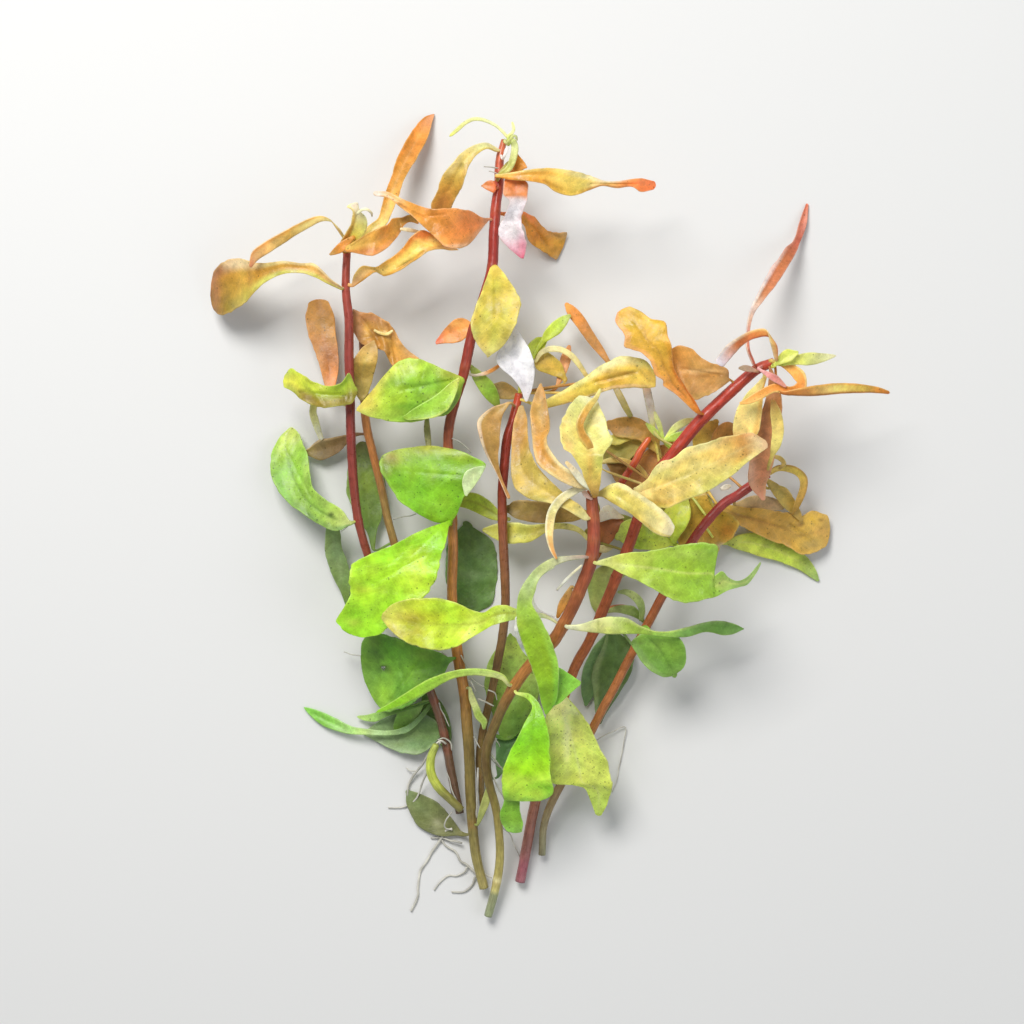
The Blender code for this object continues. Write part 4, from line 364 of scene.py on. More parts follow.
    "leaf_long_green": {"slot": "leaf_green", "stalk": 2.4, "cols": [(0, c(195, 165, 150)), (0.1, c(205, 205, 165)), (0.2, c(196, 206, 135)), (0.34, c(182, 200, 120)), (0.44, c(160, 190, 70)), (0.6, c(150, 186, 40)), (0.8, c(142, 182, 36)), (1, c(138, 190, 52))], "left": [(0, c(215, 205, 180)), (0.25, c(200, 212, 140)), (0.45, c(165, 196, 70)), (0.8, c(140, 195, 62)), (1, c(130, 195, 55))], "left_at": 0.3, "dabs": [(567, 685, 10, 14, c(142, 205, 66), 0.85), (532, 640, 10, 20, c(152, 192, 42), 0.5), (548, 690, 5, 14, c(128, 170, 34), 0.5)], "mid_k": 0.2, "specks": 0.2},
    "leaf_rosette_left": {"slot": "leaf_olive", "cols": [(0, c(230, 215, 150)), (0.12, c(222, 200, 110)), (0.3, c(205, 182, 82)), (0.55, c(198, 172, 78)), (0.75, c(190, 145, 75)), (0.9, c(186, 136, 74)), (1, c(190, 150, 95))], "left": [(0, c(235, 220, 150)), (0.4, c(215, 195, 100)), (0.8, c(205, 160, 95)), (1, c(205, 165, 110))], "left_at": 0.5, "dabs": [(528, 478, 8, 14, c(182, 150, 66), 0.5), (520, 440, 5, 16, c(178, 128, 70), 0.4)], "specks": 0.35},
    "leaf_rosette_tan": {"slot": "leaf_orange", "cols": [(0, c(238, 225, 185)), (0.12, c(230, 205, 140)), (0.3, c(215, 165, 85)), (0.5, c(205, 145, 68)), (0.75, c(194, 148, 82)), (1, c(196, 150, 90))], "left": [(0, c(240, 225, 170)), (0.3, c(236, 205, 130)), (0.6, c(215, 165, 95)), (1, c(200, 155, 95))], "left_at": 0.5, "right": [(0, c(240, 230, 180)), (0.35, c(240, 225, 160)), (0.6, c(205, 150, 80)), (1, c(190, 135, 75))], "right_at": 0.4, "specks": 0.3},
    "leaf_rosette_up": {"slot": "leaf_pale", "free": 1.0, "cols": [(0, c(206, 166, 84)), (0.12, c(214, 184, 92)), (0.3, c(224, 212, 104)), (0.5, c(234, 224, 128)), (0.7, c(238, 230, 140)), (0.9, c(238, 232, 150)), (1, c(242, 236, 180))], "dabs": [(568, 446, 7, 8, c(238, 190, 120), 0.7), (590, 466, 4, 20, c(196, 146, 66), 0.6), (604, 430, 5, 12, c(244, 238, 168), 0.6), (563, 428, 3, 8, c(226, 190, 110), 0.5), (600, 462, 4, 12, c(206, 210, 96), 0.5)], "specks": 0.25, "wave": 0.3, "uneven": 0.09},
    "leaf_tongue": {"slot": "leaf_pale", "cols": [(0, c(236, 222, 136)), (0.2, c(232, 216, 112)), (0.5, c(234, 218, 116)), (0.8, c(242, 230, 150)), (1, c(248, 240, 190))], "left": [c(242, 232, 150), c(246, 236, 170), c(250, 244, 206)], "left_at": 0.4, "right": [c(216, 192, 92), c(214, 192, 90), c(234, 218, 130)], "right_at": 0.6, "specks": 0.15, "wave": 0.2, "folds": [(614, 494, 660, 522, 1.3, 0.15)]},
}

STEM_LOOK = {
    "stem_left_back": {"slot": "stem_orange", "cols": [(0, c(156, 104, 64)), (0.15, c(176, 124, 82)), (0.3, c(196, 128, 68)), (0.4, c(180, 116, 62)), (0.5, c(160, 126, 70)), (1, c(140, 122, 70))], "knot": c(205, 130, 66)},
    "stem_right_back": {"slot": "stem_red", "cols": [(0, c(190, 76, 66)), (0.15, c(178, 62, 60)), (0.3, c(160, 76, 54)), (0.45, c(190, 112, 58)), (0.7, c(172, 112, 62)), (0.9, c(170, 150, 110)), (1, c(150, 150, 115))], "knot": c(205, 100, 66)},
    "stem_middle": {"slot": "stem_red", "cols": [(0, c(214, 82, 50)), (0.08, c(150, 50, 34)), (0.22, c(142, 52, 34)), (0.36, c(150, 92, 60)), (0.6, c(134, 102, 62)), (1, c(126, 106, 60))], "knot": c(170, 100, 54)},
    "stem_left": {"slot": "stem_red", "cols": [(0, c(168, 76, 60)), (0.2, c(150, 60, 50)), (0.33, c(136, 54, 46)), (0.5, c(146, 70, 52)), (0.7, c(140, 90, 66)), (0.85, c(120, 88, 66)), (1, c(108, 84, 64))], "knot": c(205, 84, 60), "nodes": (437,)},
    "stem_tall": {"slot": "stem_orange", "cols": [(0, c(216, 116, 76)), (0.06, c(186, 70, 52)), (0.15, c(160, 48, 38)), (0.3, c(156, 58, 42)), (0.4, c(166, 88, 54)), (0.5, c(196, 130, 70)), (0.68, c(212, 140, 66)), (0.75, c(176, 130, 66)), (0.8, c(138, 118, 62)), (0.92, c(136, 124, 66)), (1, c(170, 158, 96))], "knot": c(214, 120, 60), "nodes": (405, 520, 608, 675)},
    "stem_front": {"slot": "stem_orange", "cols": [(0, c(176, 92, 60)), (0.1, c(156, 70, 48)), (0.25, c(162, 92, 52)), (0.4, c(202, 132, 66)), (0.47, c(180, 124, 62)), (0.53, c(126, 104, 58)), (0.66, c(118, 100, 54)), (0.78, c(160, 144, 76)), (0.92, c(196, 184, 106)), (0.94, c(206, 196, 124)), (0.95, c(160, 168, 124)), (1, c(158, 168, 126))], "knot": c(220, 150, 76), "nodes": (624, 688, 880), "cut": c(160, 170, 120), "dabs": [(497, 879, 5, 3, c(235, 225, 165), 0.8)]},
    "stem_right": {"slot": "stem_red", "cols": [(0, c(206, 84, 62)), (0.08, c(196, 70, 54)), (0.25, c(186, 66, 52)), (0.33, c(176, 74, 54)), (0.5, c(180, 96, 58)), (0.68, c(190, 112, 62)), (0.8, c(150, 96, 64)), (0.93, c(168, 112, 100)), (1, c(160, 100, 108))], "knot": c(215, 96, 66), "nodes": (391, 418), "dabs": [(523, 866, 6, 8, c(160, 84, 100), 0.6)]},
    "side_shoot": {"slot": "stem_olive", "cols": [(0, c(178, 190, 92)), (0.3, c(206, 220, 86)), (0.5, c(198, 208, 88)), (0.7, c(146, 144, 72)), (1, c(130, 122, 66))], "swell": 0.02, "knot_k": 0.0, "dome": (0.4, 0.2), "stain": 0.2},
}

# ---- finer outlines of some large leaves, which replace the plan's ones here ---------
SHAPE = {
    "leaf_bright_down": ([
        (449, 526, 445, 522, 16), (447, 537, 425, 529, 18), (444, 550, 400, 541, 18.8), (440, 565, 378, 551, 19.8),
        (435, 581, 355, 563, 20.8), (424, 598, 348, 577, 21), (404, 612, 350, 592, 20.8), (391, 624, 345, 605, 20.3),
        (380, 634, 336, 620, 19.5), (366, 637, 341, 627, 19.2)], 0.25),
    "leaf_green_large": ([
        (446, 524, 450, 524, 15.5), (432, 521, 457, 514, 17), (415, 512, 462, 502, 18.6), (400, 500, 467, 492, 19.6),
        (388, 485, 474, 480, 20), (383, 470, 485, 466, 19.8), (381, 457, 473, 456, 19.2), (395, 450, 458, 450, 18.6),
        (415, 447, 440, 447, 18)], 0.1),
    "leaf_green_folded": ([
        (463, 384, 462, 377, 17.8), (459, 399, 450, 372, 19.6), (448, 413, 438, 367, 21), (430, 418, 424, 361, 21.6),
        (410, 422, 412, 358, 22), (392, 421, 400, 360, 21.8), (377, 418, 388, 371, 20.8), (365, 415, 374, 388, 19.6),
        (357, 411, 360, 405, 18.6)], 0.5),
    "leaf_lime_across": ([
        (541, 618, 541, 613, 20.5), (519, 619, 518, 609, 22), (506, 621, 506, 605, 23.2), (493, 625, 494, 606, 24.2),
        (484, 630, 484, 612, 24.8), (471, 638, 471, 610, 25.2), (458, 646, 456, 603, 25.4), (440, 650, 438, 599, 25.4),
        (420, 647, 420, 598, 25.2), (403, 640, 404, 600, 24.6), (390, 630, 391, 605, 24.1), (383, 621, 384, 612, 23.6)], 0.4),
    "leaf_left_green": ([
        (357, 394, 355, 386, 18.4), (352, 403, 349, 373, 19.3), (343, 405, 341, 383, 19.8), (330, 407, 328, 386, 19.8),
        (316, 407, 313, 381, 19), (303, 400, 301, 373, 17.6), (294, 393, 291, 368, 16), (285, 388, 286, 374, 14)], 0.3),
    "leaf_left_paddle": ([
        (341, 290, 341, 286, 16.5), (330, 285, 331, 279, 18), (322, 281, 322, 270, 18.6), (314, 277, 313, 263, 19),
        (300, 273, 300, 263, 19), (283, 274, 283, 261, 18.8), (266, 282, 266, 263, 17.6), (257, 290, 255, 263, 16.4),
        (249, 298, 247, 260, 14.6), (242, 305, 236, 258, 12.6), (234, 311, 225, 261, 10.6), (226, 315, 216, 268, 8.4),
        (219, 315, 212, 280, 6.4), (215, 311, 210.5, 294, 5)], 0.2),
    "leaf_left_arch": ([
        (346, 239, 342, 237, 17), (340, 229, 335, 227, 20), (331, 222, 328, 218, 21.6), (320, 222, 317, 216, 22.2),
        (305, 230, 301, 222, 22), (287, 241, 282, 232, 21), (270, 252, 263, 243, 20.5), (258, 260, 252, 252, 20.5),
        (252, 267, 249, 264, 20.5)], 0.6),
    "leaf_left_tall": ([
        (361, 240, 363, 237, 16.6), (364, 233, 372, 236, 17.4), (368, 226, 380, 230, 17.2), (377, 219, 388, 222, 16.6),
        (381, 209, 393, 210, 14.6), (384, 196, 398, 197, 12.6), (391, 176, 405, 178, 10), (399, 154, 417, 158, 7),
        (412, 131, 427, 138, 3.6), (423, 118, 432, 123, 1.6), (431, 114.5, 434, 116.5, 0.8)], 1.2),
    "leaf_left_young": ([
        (338, 248, 353, 252, 18.6), (342, 240, 360, 241, 21), (349, 228, 366, 229, 23), (352, 218, 366, 218, 25),
        (352.5, 211, 360, 211, 26.2), (347, 207, 358, 203, 27)], 0.25),
    "leaf_gold_arch": ([
        (496, 152, 496, 147, 17.5), (487, 149, 486, 142.5, 20), (478, 154, 474, 145, 21.6), (470, 164, 461, 153, 22),
        (465, 177, 452, 164, 21.8), (462, 187, 444, 174, 20.8), (456, 198, 437, 191, 18.4), (452, 207, 431, 203, 16.6),
        (448, 214, 432, 212, 15.6)], 0.2),
    "leaf_left_peach": ([
        (350, 244, 349, 252, 18.0), (364, 236, 362, 254, 20), (376, 229, 373, 255, 21), (387, 224, 386, 248, 21.6),
        (393, 218, 398, 236, 21.2), (402, 217, 404, 226, 20.8), (408, 215, 410, 222, 20.2), (415, 214, 418, 224, 19.6)], 0.3),
    "leaf_left_yellow": ([
        (352, 283, 355, 286, 17.5), (354, 275, 364, 280, 19.5), (362, 266, 375, 272, 21), (376, 267, 385, 276, 22),
        (385, 261, 398, 271, 23), (400, 251, 415, 261, 23.8), (412, 235, 428, 252, 24.0), (423, 230, 440, 249, 23.6),
        (436, 237, 450, 250, 22.8), (448, 245, 458, 250, 22)], 0.4),
    "leaf_top_back": ([
        (504, 212, 504, 216, 10), (521, 211, 523, 224, 9.4), (533, 217, 528, 240, 7.6), (546, 229, 535, 247, 5.2),
        (556, 232, 546, 254, 2.8), (567, 232, 556, 260, 0.9)], 0.12),
    "leaf_top_right": ([
        (500, 174, 500, 178, 20.4), (514, 172, 512, 180, 22), (532, 169, 528, 181, 23), (551, 168, 544, 184, 23.4),
        (568, 170, 556, 192, 23.4), (582, 173, 572, 196, 23.4), (594, 177, 588, 191, 23.2), (605, 181, 602, 186, 23.2),
        (618, 181, 617, 188, 23), (632, 179, 632, 187, 22.4), (642, 178.5, 641, 192, 21.8), (653, 181, 652, 190, 21)], 0.7),
    "leaf_hanging_pink": ([
        (505, 176, 511, 176, 19.4), (504, 184, 527, 182, 20.6), (504, 194, 528, 193, 21.2), (509, 201, 527, 202, 21.4),
        (506, 211, 523, 212, 21.4), (502, 221, 521, 222, 21.2), (498.5, 231, 523, 232, 20.8), (501, 239, 526, 243, 20.2),
        (508, 247, 526, 251, 19.4), (517, 255, 524, 258, 18.8)], 0.4),
    "leaf_right_arch": ([
        (778, 357, 774, 357, 27.6), (777, 345, 770, 342, 30.2), (768, 337, 766, 329.5, 31.8), (754, 339, 753, 330, 32.4),
        (742, 346, 738, 337, 31.8), (733, 356, 726, 346, 30.4), (724, 366, 716, 359, 28.8)], 0.5),
    "leaf_right_far": ([
        (786, 391, 787, 395, 27), (800, 388, 801, 396, 28), (818, 385, 819, 396, 28), (840, 383, 840, 394, 27),
        (860, 384, 860, 393, 25.4), (878, 387, 877, 393, 23.4), (889, 391, 888, 394, 22)], 0.8),
    "leaf_big_pale": ([
        (636, 487, 640, 496, 25), (647, 479, 653, 504, 27), (657, 465, 665, 508, 28.4), (673, 457, 684, 501, 29.4),
        (688, 448, 701, 494, 29.8), (706, 443, 718, 485, 29.8), (722, 438, 734, 474, 29.6), (738, 434.5, 748, 462, 29),
        (752, 433, 760, 453, 28.4), (765, 440, 767, 448, 27.8)], 0.3),
    "leaf_golden_long": ([
        (545, 400, 548, 408, 18), (562, 391, 568, 403, 20), (578, 381, 586, 398, 22), (591, 373, 600, 393, 23.4),
        (605, 363, 613, 389, 24.2), (620, 356, 626, 388, 24.4), (634, 357.5, 637, 388, 24.2), (646, 361, 648, 388, 23.6),
        (654, 371, 655, 387, 22.8)], 0.15),
    "leaf_rosette_up": ([
        (590, 491, 599, 491, 30.4), (585, 480, 601, 481, 31.6), (579, 467, 602.5, 468, 32.6), (571, 454, 605, 457, 33.2),
        (563, 447, 607.5, 450, 33.4), (560, 433, 612.5, 440, 33.4), (563, 420, 608, 428, 33.2), (568, 411, 606, 418, 33),
        (573, 402, 602, 410, 32.4), (579, 396, 598, 401, 31.6)], 0.15),
    "leaf_tongue": ([
        (601, 490, 603, 497, 30.2), (612, 483.5, 611, 502, 32.4), (622, 483, 621, 508, 33.6), (634, 490, 633, 516, 34.2),
        (646, 498, 642, 523, 34.2), (658, 506, 651, 531, 33.8), (668, 515, 660, 536, 33.2), (674, 525, 668, 537, 32.4)], 0.35),
    "leaf_bright_low": ([
        (518, 692, 517, 695, 18.4), (530, 694, 527, 699, 19.8), (539, 703, 532, 708, 21.2), (545, 718, 525, 722, 22.4),
        (549, 738, 515, 742, 22.6), (550, 757, 507, 759, 22.2), (550, 775, 502, 775, 21.4), (553, 791, 502, 788, 20.2),
        (549, 797, 503, 797, 19.5), (540, 801, 504, 800, 19.1)], 0.05),
    "leaf_pale_low": ([
        (569, 699, 558, 703, 12), (580, 712, 546, 716, 14), (591, 729, 548, 734, 15), (601, 750, 549, 754, 15.2),
        (609, 767, 550, 772, 14.6), (612, 780, 552, 783, 14), (612, 787, 572, 785, 13.4), (611, 793, 585, 789, 12.4),
        (607, 805, 591, 802, 10.4), (602, 814, 595, 813, 9)], 0.6),
    "leaf_long_green": ([
        (583, 559, 583, 555, 30), (568, 561, 567, 556, 31), (553, 567, 550, 559, 32), (540, 578, 533, 571, 33),
        (535, 591, 521, 589, 33.4), (532, 604, 517, 605, 33.4), (541, 620, 517, 621, 33), (550, 639, 521, 638, 32),
        (558, 662, 530, 663, 30.4), (559, 684, 537, 685, 28.6), (556, 702, 541, 702, 27), (548, 713, 545, 714, 26)], 0.5),
    "leaf_big_orange": ([
        (692, 410, 699, 408, 24.2), (683, 401, 694, 399, 24.8), (673, 392, 688, 391, 25.6), (664, 386, 681, 381, 26.4),
        (663, 380, 676, 372, 27), (655, 374, 673, 363, 27.5), (651, 363, 672.5, 353, 28), (642, 353, 672, 345, 28.1),
        (631, 349, 669, 336, 28), (624, 346, 667, 327, 27.8), (625, 336, 663, 321, 27.4), (620, 328, 651, 319, 26.8),
        (615, 321, 640, 311, 26), (617, 313, 630, 306.5, 25.2)], 0.12),
    "leaf_right_large": ([
        (597, 561, 597, 565, 29), (610, 557, 609, 567, 29.6), (626, 553, 624, 575, 30.2), (648, 551, 641, 583, 30.8),
        (670, 547, 662, 593, 31.2), (690, 543, 680, 603, 31), (706, 544, 695, 603, 30.6), (718, 548, 706, 600, 30.2),
        (713, 566, 714, 598, 29.8), (711, 577, 718, 596, 29.4), (722, 571, 725, 592, 29), (728, 577, 732, 589, 28.7),
        (737, 581, 740, 587, 28.3), (747, 577, 748, 584, 27.8), (756, 567, 757, 572, 27.2), (760, 562, 761, 564, 27)], 0.3),
    "leaf_dark_low_left": ([
        (449, 664, 448, 657, 12.8), (440, 681, 436, 651, 12.8), (425, 694, 415, 645, 12.4), (409, 705, 399, 638, 11.5),
        (395, 711, 383, 634, 10), (383, 712, 370, 633, 8.4), (372, 697, 362, 642, 7.4), (366, 684, 361, 655, 7)], 0.1),
    "leaf_white": ([
        (500, 312, 496, 314, 17.2), (514, 326, 506, 330, 18.4), (523, 338, 504, 343, 19), (530, 350, 496, 356, 19.2),
        (534, 365, 499, 367, 19), (534, 378, 511, 377, 18.6), (532, 389, 520, 388, 18), (528, 400, 525, 401, 17.2)], 0.6),
    "leaf_left_spotted": (None, 0.4),
    "leaf_left_brown": ([
        (353, 309, 354, 333, 11.6), (363, 312, 361, 343, 12), (374, 313.5, 372, 349, 12.2), (387, 320, 383, 351, 12),
        (392, 326, 388, 358, 11.8), (398, 337, 393, 364, 11.4), (408, 350, 404, 366, 11), (419, 358, 415, 365, 10.6)], 0.2),
}

# Single pieces laid right before a large leaf, partly under it: as in SMALL.
BEFORE = {
    "leaf_bright_low": [
        ("bright_low_lobe", "leaf_lime", 18.0, 14.4, [(519, 794, 505, 794), (520, 805, 503, 805), (521, 814, 500, 814), (523, 823, 502, 823), (522, 831, 506, 830)], [c(165, 215, 90), c(140, 196, 62), c(142, 196, 64), c(150, 200, 90)], {"root": "leaf", "tip": 0.3, "specks": 0.4}),
    ],
    "leaf_long_green": [
        ("long_green_flap", "leaf_green", 27.6, 26.8, [(554, 666, 554, 706), (563, 670, 563, 700), (572, 676, 572, 692), (580, 681, 579, 686)], [c(136, 196, 56), c(146, 208, 66), c(150, 212, 72)], {"root": "leaf", "tip": 0.5, "mid_k": 0.0}),
    ],
}

# ---- the small leaves --------------------------------------------------------------
# Under each CAD cluster's name, from the lowest to the highest: name, slot, height at
# the base and at the tip in mm, stations (u, v, width) or (lu, lv, ru, rv) from base
# to tip, colours from base to tip, and what else there is to say.
SMALL = {
    "leaves_lower_back": [
        ("low_leaf_dark", "leaf_dark_green", 2.6, 1.0, [(446, 748, 5), (444, 738, 16), (438, 722, 24), (431, 706, 22), (425, 693, 6)], [c(92, 118, 56), c(96, 124, 60)], {}),
        ("low_leaf_shade", "leaf_dark_green", 3.0, 1.6, [(497, 775, 501, 775), (496, 765, 509, 766), (496, 755, 512, 758), (496, 744, 518, 748), (498, 738, 524, 742)], [c(84, 116, 66), c(96, 134, 80), c(80, 118, 64)], {"mid_k": 0.2}),
        ("low_leaf_foot", "leaf_dark_green", 1.2, 0.5, [(459, 833, 6), (445, 826, 22), (428, 814, 30), (414, 800, 18), (408, 792, 5)], [c(124, 122, 78), c(108, 112, 66), c(104, 114, 66), c(116, 128, 80)], {"dabs": [(437, 822, 5, 4, c(165, 165, 130), 0.6)]}),
        ("low_leaf_grey", "leaf_dark_green", 2.2, 0.8, [(442, 735, 442, 728), (432, 746, 432, 718), (418, 754, 415, 712), (403, 754, 400, 712), (388, 748, 384, 719), (375, 741, 372, 726), (366, 736, 365, 731)], [c(116, 148, 84), c(126, 156, 94), c(128, 154, 104), c(150, 172, 126)], {"dabs": [(395, 741, 20, 2, c(165, 188, 136), 0.6), (425, 728, 10, 12, c(92, 124, 62), 0.6)], "edge": [c(150, 174, 124)], "edge_at": 0.7}),
        ("low_leaf_inner", "leaf_green", 3.4, 1.6, [(424, 704, 418, 703), (419, 716, 402, 708), (413, 726, 396, 716), (404, 733, 393, 727), (398, 733, 396, 731)], [c(150, 182, 96), c(140, 182, 76), c(130, 172, 70)], {"left": [c(160, 190, 106)], "left_at": 0.4}),
        # low_leaf_olive: the lighter colours towards its tip, v 640 to 680, and the dab at (500, 668) are painted light
        # where light falls on that end
        ("low_leaf_olive", "leaf_green", 2.4, 3.2, [(500, 736, 519, 733), (495, 722, 532, 714), (488, 702, 540, 692), (486, 682, 540, 674), (488, 664, 532, 654), (497, 648, 522, 643), (508, 636, 512, 635)], [c(110, 146, 58), c(136, 166, 68), c(158, 186, 86), c(180, 204, 96), c(170, 196, 86)], {"specks": 0.9, "mottle": 1.6, "dabs": [(510, 657, 3, 2, c(70, 92, 40), 0.7), (520, 720, 14, 10, c(104, 146, 54), 0.6), (500, 668, 10, 12, c(170, 194, 88), 0.5)]}),
        ("low_leaf_lime", "leaf_lime", 3.0, 0.7, [(430, 706, 4), (418, 720, 5), (405, 730, 6), (388, 733, 5), (368, 732, 6), (350, 730, 8), (334, 724, 12), (320, 717, 11), (310, 711, 6), (305, 708, 2)], [(0, c(120, 150, 76)), (0.25, c(140, 170, 110)), (0.45, c(190, 216, 150)), (0.6, c(190, 224, 134)), (0.8, c(150, 208, 84)), (1, c(150, 212, 90))], {"sharp": True, "tip": 1.4, "wave": 0.2, "uneven": 0.09, "folds": [(312, 713, 340, 726, 1.3, 0.25)]}),
        ("low_leaf_tip", "leaf_lime", 1.8, 1.0, [(395, 712, 4), (386, 714, 6), (376, 717, 9), (366, 718, 6), (359, 717, 3)], [c(100, 140, 60), c(165, 205, 105), c(190, 225, 130)], {"sharp": True, "tip": 1.5, "stalk": 2.0}),
    ],
    "leaves_left_back": [
        ("left_back_green", "leaf_dark_green", 4.0, 2.2, [(371, 547, 375, 547), (367, 532, 377, 530), (358, 520, 381, 520), (350, 503, 385, 502), (346, 485, 386, 482), (348, 466, 380, 462), (355, 450, 370, 448)], [c(130, 160, 80), c(106, 136, 56), c(112, 138, 54), c(104, 124, 54), c(98, 108, 52)], {"dabs": [(368, 480, 9, 13, c(146, 172, 56), 0.8)], "specks": 0.5}),
        ("left_back_grey", "leaf_green", 6.4, 0.5, [(338, 524, 326, 527), (341, 536, 325, 540), (342, 548, 325, 552), (347, 562, 328, 563), (350, 577, 334, 579), (350, 592, 341, 593), (348, 604, 345, 604)], [c(150, 174, 104), c(146, 168, 108), c(134, 158, 98), c(126, 152, 84), c(120, 150, 76)], {"dabs": [(340, 575, 3, 20, c(165, 186, 126), 0.5)], "root": "leaf"}),
        ("left_back_dark", "leaf_brown", 4.8, 2.6, [(350, 440, 350, 434), (341, 450, 339, 436), (332, 456, 329, 438), (320, 460, 318, 440), (309, 456, 309, 448)], [c(130, 92, 60), c(122, 94, 56), c(116, 96, 58), c(144, 122, 72)], {"right": [c(150, 108, 66), c(205, 180, 132)], "right_at": 0.75}),
        ("left_back_hook", "leaf_yellow", 7.0, 2.6, [(314, 404, 7), (313, 412, 7), (315, 420, 7), (318, 430, 6), (321, 438, 4.5)], [(0, c(196, 190, 90)), (0.5, c(222, 218, 150)), (1, c(248, 246, 230))], {"root": "stem_left", "cup": 0.5}),
        ("left_back_orange", "leaf_brown", 7.6, 5.2, [(326, 390, 335, 388), (322.5, 378, 337.5, 376), (319, 364, 339, 362), (314, 349, 338, 347), (308.5, 335, 335.5, 333), (306, 318, 335, 317), (308, 305, 329, 303)], [(0, c(232, 152, 108)), (0.15, c(210, 130, 90)), (0.45, c(178, 120, 84)), (0.65, c(184, 124, 64)), (1, c(190, 130, 62))], {"mid": c(150, 96, 58), "mid_k": 0.4, "specks": 0.3, "tip": 0.45, "uneven": 0.05}),
    ],
    "leaves_right_low_back": [
        ("right_back_thin", "leaf_dark_green", 2.2, 1.4, [(612, 632, 6), (600, 650, 14), (592, 672, 18), (588, 692, 14), (586, 704, 4)], [c(110, 140, 84), c(104, 136, 84), c(112, 146, 92)], {}),
        ("right_back_dark", "leaf_dark_green", 3.0, 1.6, [(612, 628, 608, 628), (620, 634, 606, 636), (632, 644, 600, 652), (634, 660, 594, 666), (630, 676, 592, 684), (618, 696, 594, 704), (606, 714, 596, 716), (602, 722, 598, 722)], [c(96, 124, 62), c(84, 110, 52), c(74, 98, 48), c(70, 88, 50)], {"right": [c(130, 152, 92), c(118, 138, 88)], "right_at": 0.55, "dabs": [(622, 655, 8, 12, c(66, 88, 42), 0.5)]}),
        ("right_back_pale", "leaf_olive", 5.0, 4.2, [(626, 575, 622, 569), (617, 583, 603, 565), (609, 595, 588, 580), (602, 608, 590, 602), (600, 614, 596, 614)], [c(186, 196, 110), c(170, 180, 100), c(156, 170, 92), c(150, 160, 90)], {}),
        ("right_back_stalk", "leaf_pink", 7.0, 6.4, [(606, 611, 2.5), (612, 607, 3), (619, 606, 3), (625, 606, 2.5)], [c(215, 130, 95), c(205, 140, 110)], {"root": "stem_right"}),
        ("right_back_curl", "leaf_green", 6.6, 5.6, [(606, 612, 3), (612, 610, 5), (620, 609, 8), (632, 611, 10), (640, 617, 6), (644, 622, 3)], [c(190, 200, 130), c(140, 160, 80), c(110, 140, 60)], {}),
        ("right_back_hook", "leaf_green", 6.0, 8.0, [(641, 621, 4), (642, 612, 6), (640, 603, 8), (634, 596, 8), (626, 592, 6), (619, 592, 3)], [c(140, 165, 90), c(165, 180, 110), c(180, 190, 130)], {"root": "leaf"}),
    ],
    "leaves_right_low": [
        ("right_low_beige", "leaf_pale", 5.0, 4.4, [(738, 505, 6), (752, 503, 14), (768, 504, 15), (781, 506, 8)], [c(190, 165, 110), c(196, 172, 120), c(205, 180, 130)], {}),
        ("right_low_lime", "leaf_lime", 2.6, 0.6, [(727, 541, 727, 545), (736, 536, 736, 549), (748, 533, 747, 552), (764, 534, 761, 557), (780, 540, 776, 561), (796, 550, 790, 566), (808, 558, 801, 571), (816, 570, 810, 577), (819, 579, 815, 580)], [(0, c(226, 232, 116)), (0.15, c(226, 236, 98)), (0.5, c(214, 232, 84)), (0.8, c(196, 220, 92)), (1, c(165, 190, 110))], {"mid": c(236, 236, 140), "mid_k": 0.5, "dabs": [(785, 540, 20, 4, c(180, 170, 66), 0.4)], "specks": 0.3}),
        ("right_low_gold", "leaf_brown", 4.2, 1.6, [(715, 503, 714, 508), (727, 504, 724, 514), (742, 507, 737, 524), (765, 509, 759, 535), (787, 513, 783, 545), (798, 518, 800, 553), (812, 512, 814, 553), (826, 515, 824, 548)], [(0, c(222, 190, 96)), (0.15, c(206, 164, 72)), (0.4, c(190, 142, 62)), (0.62, c(186, 142, 62)), (0.85, c(216, 176, 76)), (1, c(196, 156, 78))], {"dabs": [(812, 518, 10, 6, c(236, 192, 78), 0.8), (800, 525, 3, 2, c(110, 72, 36), 0.8), (821, 520, 3, 2, c(110, 70, 36), 0.7), (812, 545, 10, 6, c(165, 138, 84), 0.6), (750, 512, 20, 3, c(226, 180, 76), 0.6)], "specks": 0.6, "mid": c(150, 104, 50), "mid_k": 0.6, "tip": 0.3, "uneven": 0.1, "folds": [(790, 525, 812, 540, 1.6, 0.4), (812, 516, 822, 528, 1.4, -0.35), (740, 514, 790, 530, 1.3, 0.25)], "wave": 0.5}),
        ("right_low_bits", "leaf_yellow", 5.4, 4.4, [(770, 488, 3), (777, 487, 4), (785, 490, 5), (791, 496, 3)], [c(205, 180, 90), c(225, 205, 120)], {}),
        ("right_low_tan", "leaf_olive", 7.0, 3.4, [(767, 480, 4), (775, 488, 10), (786, 500, 14), (796, 512, 9), (801, 520, 4)], [c(205, 180, 92), c(190, 164, 78), c(180, 148, 70)], {}),
        ("right_low_arch", "leaf_yellow", 7.5, 5.5, [(768, 474, 4), (779, 468, 6), (794, 470, 7.5), (803, 478, 8), (803, 490, 7.5), (797, 505, 6), (793, 513, 3)], [c(236, 216, 116), c(226, 200, 94), c(198, 160, 74), c(184, 140, 66)], {"roll": 0.5, "arch": 2.4, "left": [c(176, 132, 62)], "left_at": 0.3}),
        ("right_low_curl", "leaf_pale", 8.6, 7.0, [(768, 462, 3), (774, 457, 4), (781, 459, 5), (784, 464, 5), (780, 468, 3)], [c(225, 205, 130), c(215, 190, 110)], {"arch": 1.0}),
    ],
    "leaves_middle_back": [
        ("middle_deep_brown", "leaf_brown", 4.6, 3.8, [(598, 446, 5), (614, 458, 20), (630, 472, 34), (644, 488, 30), (652, 502, 8)], [c(150, 116, 62), c(146, 108, 60), c(132, 96, 54)], {}),
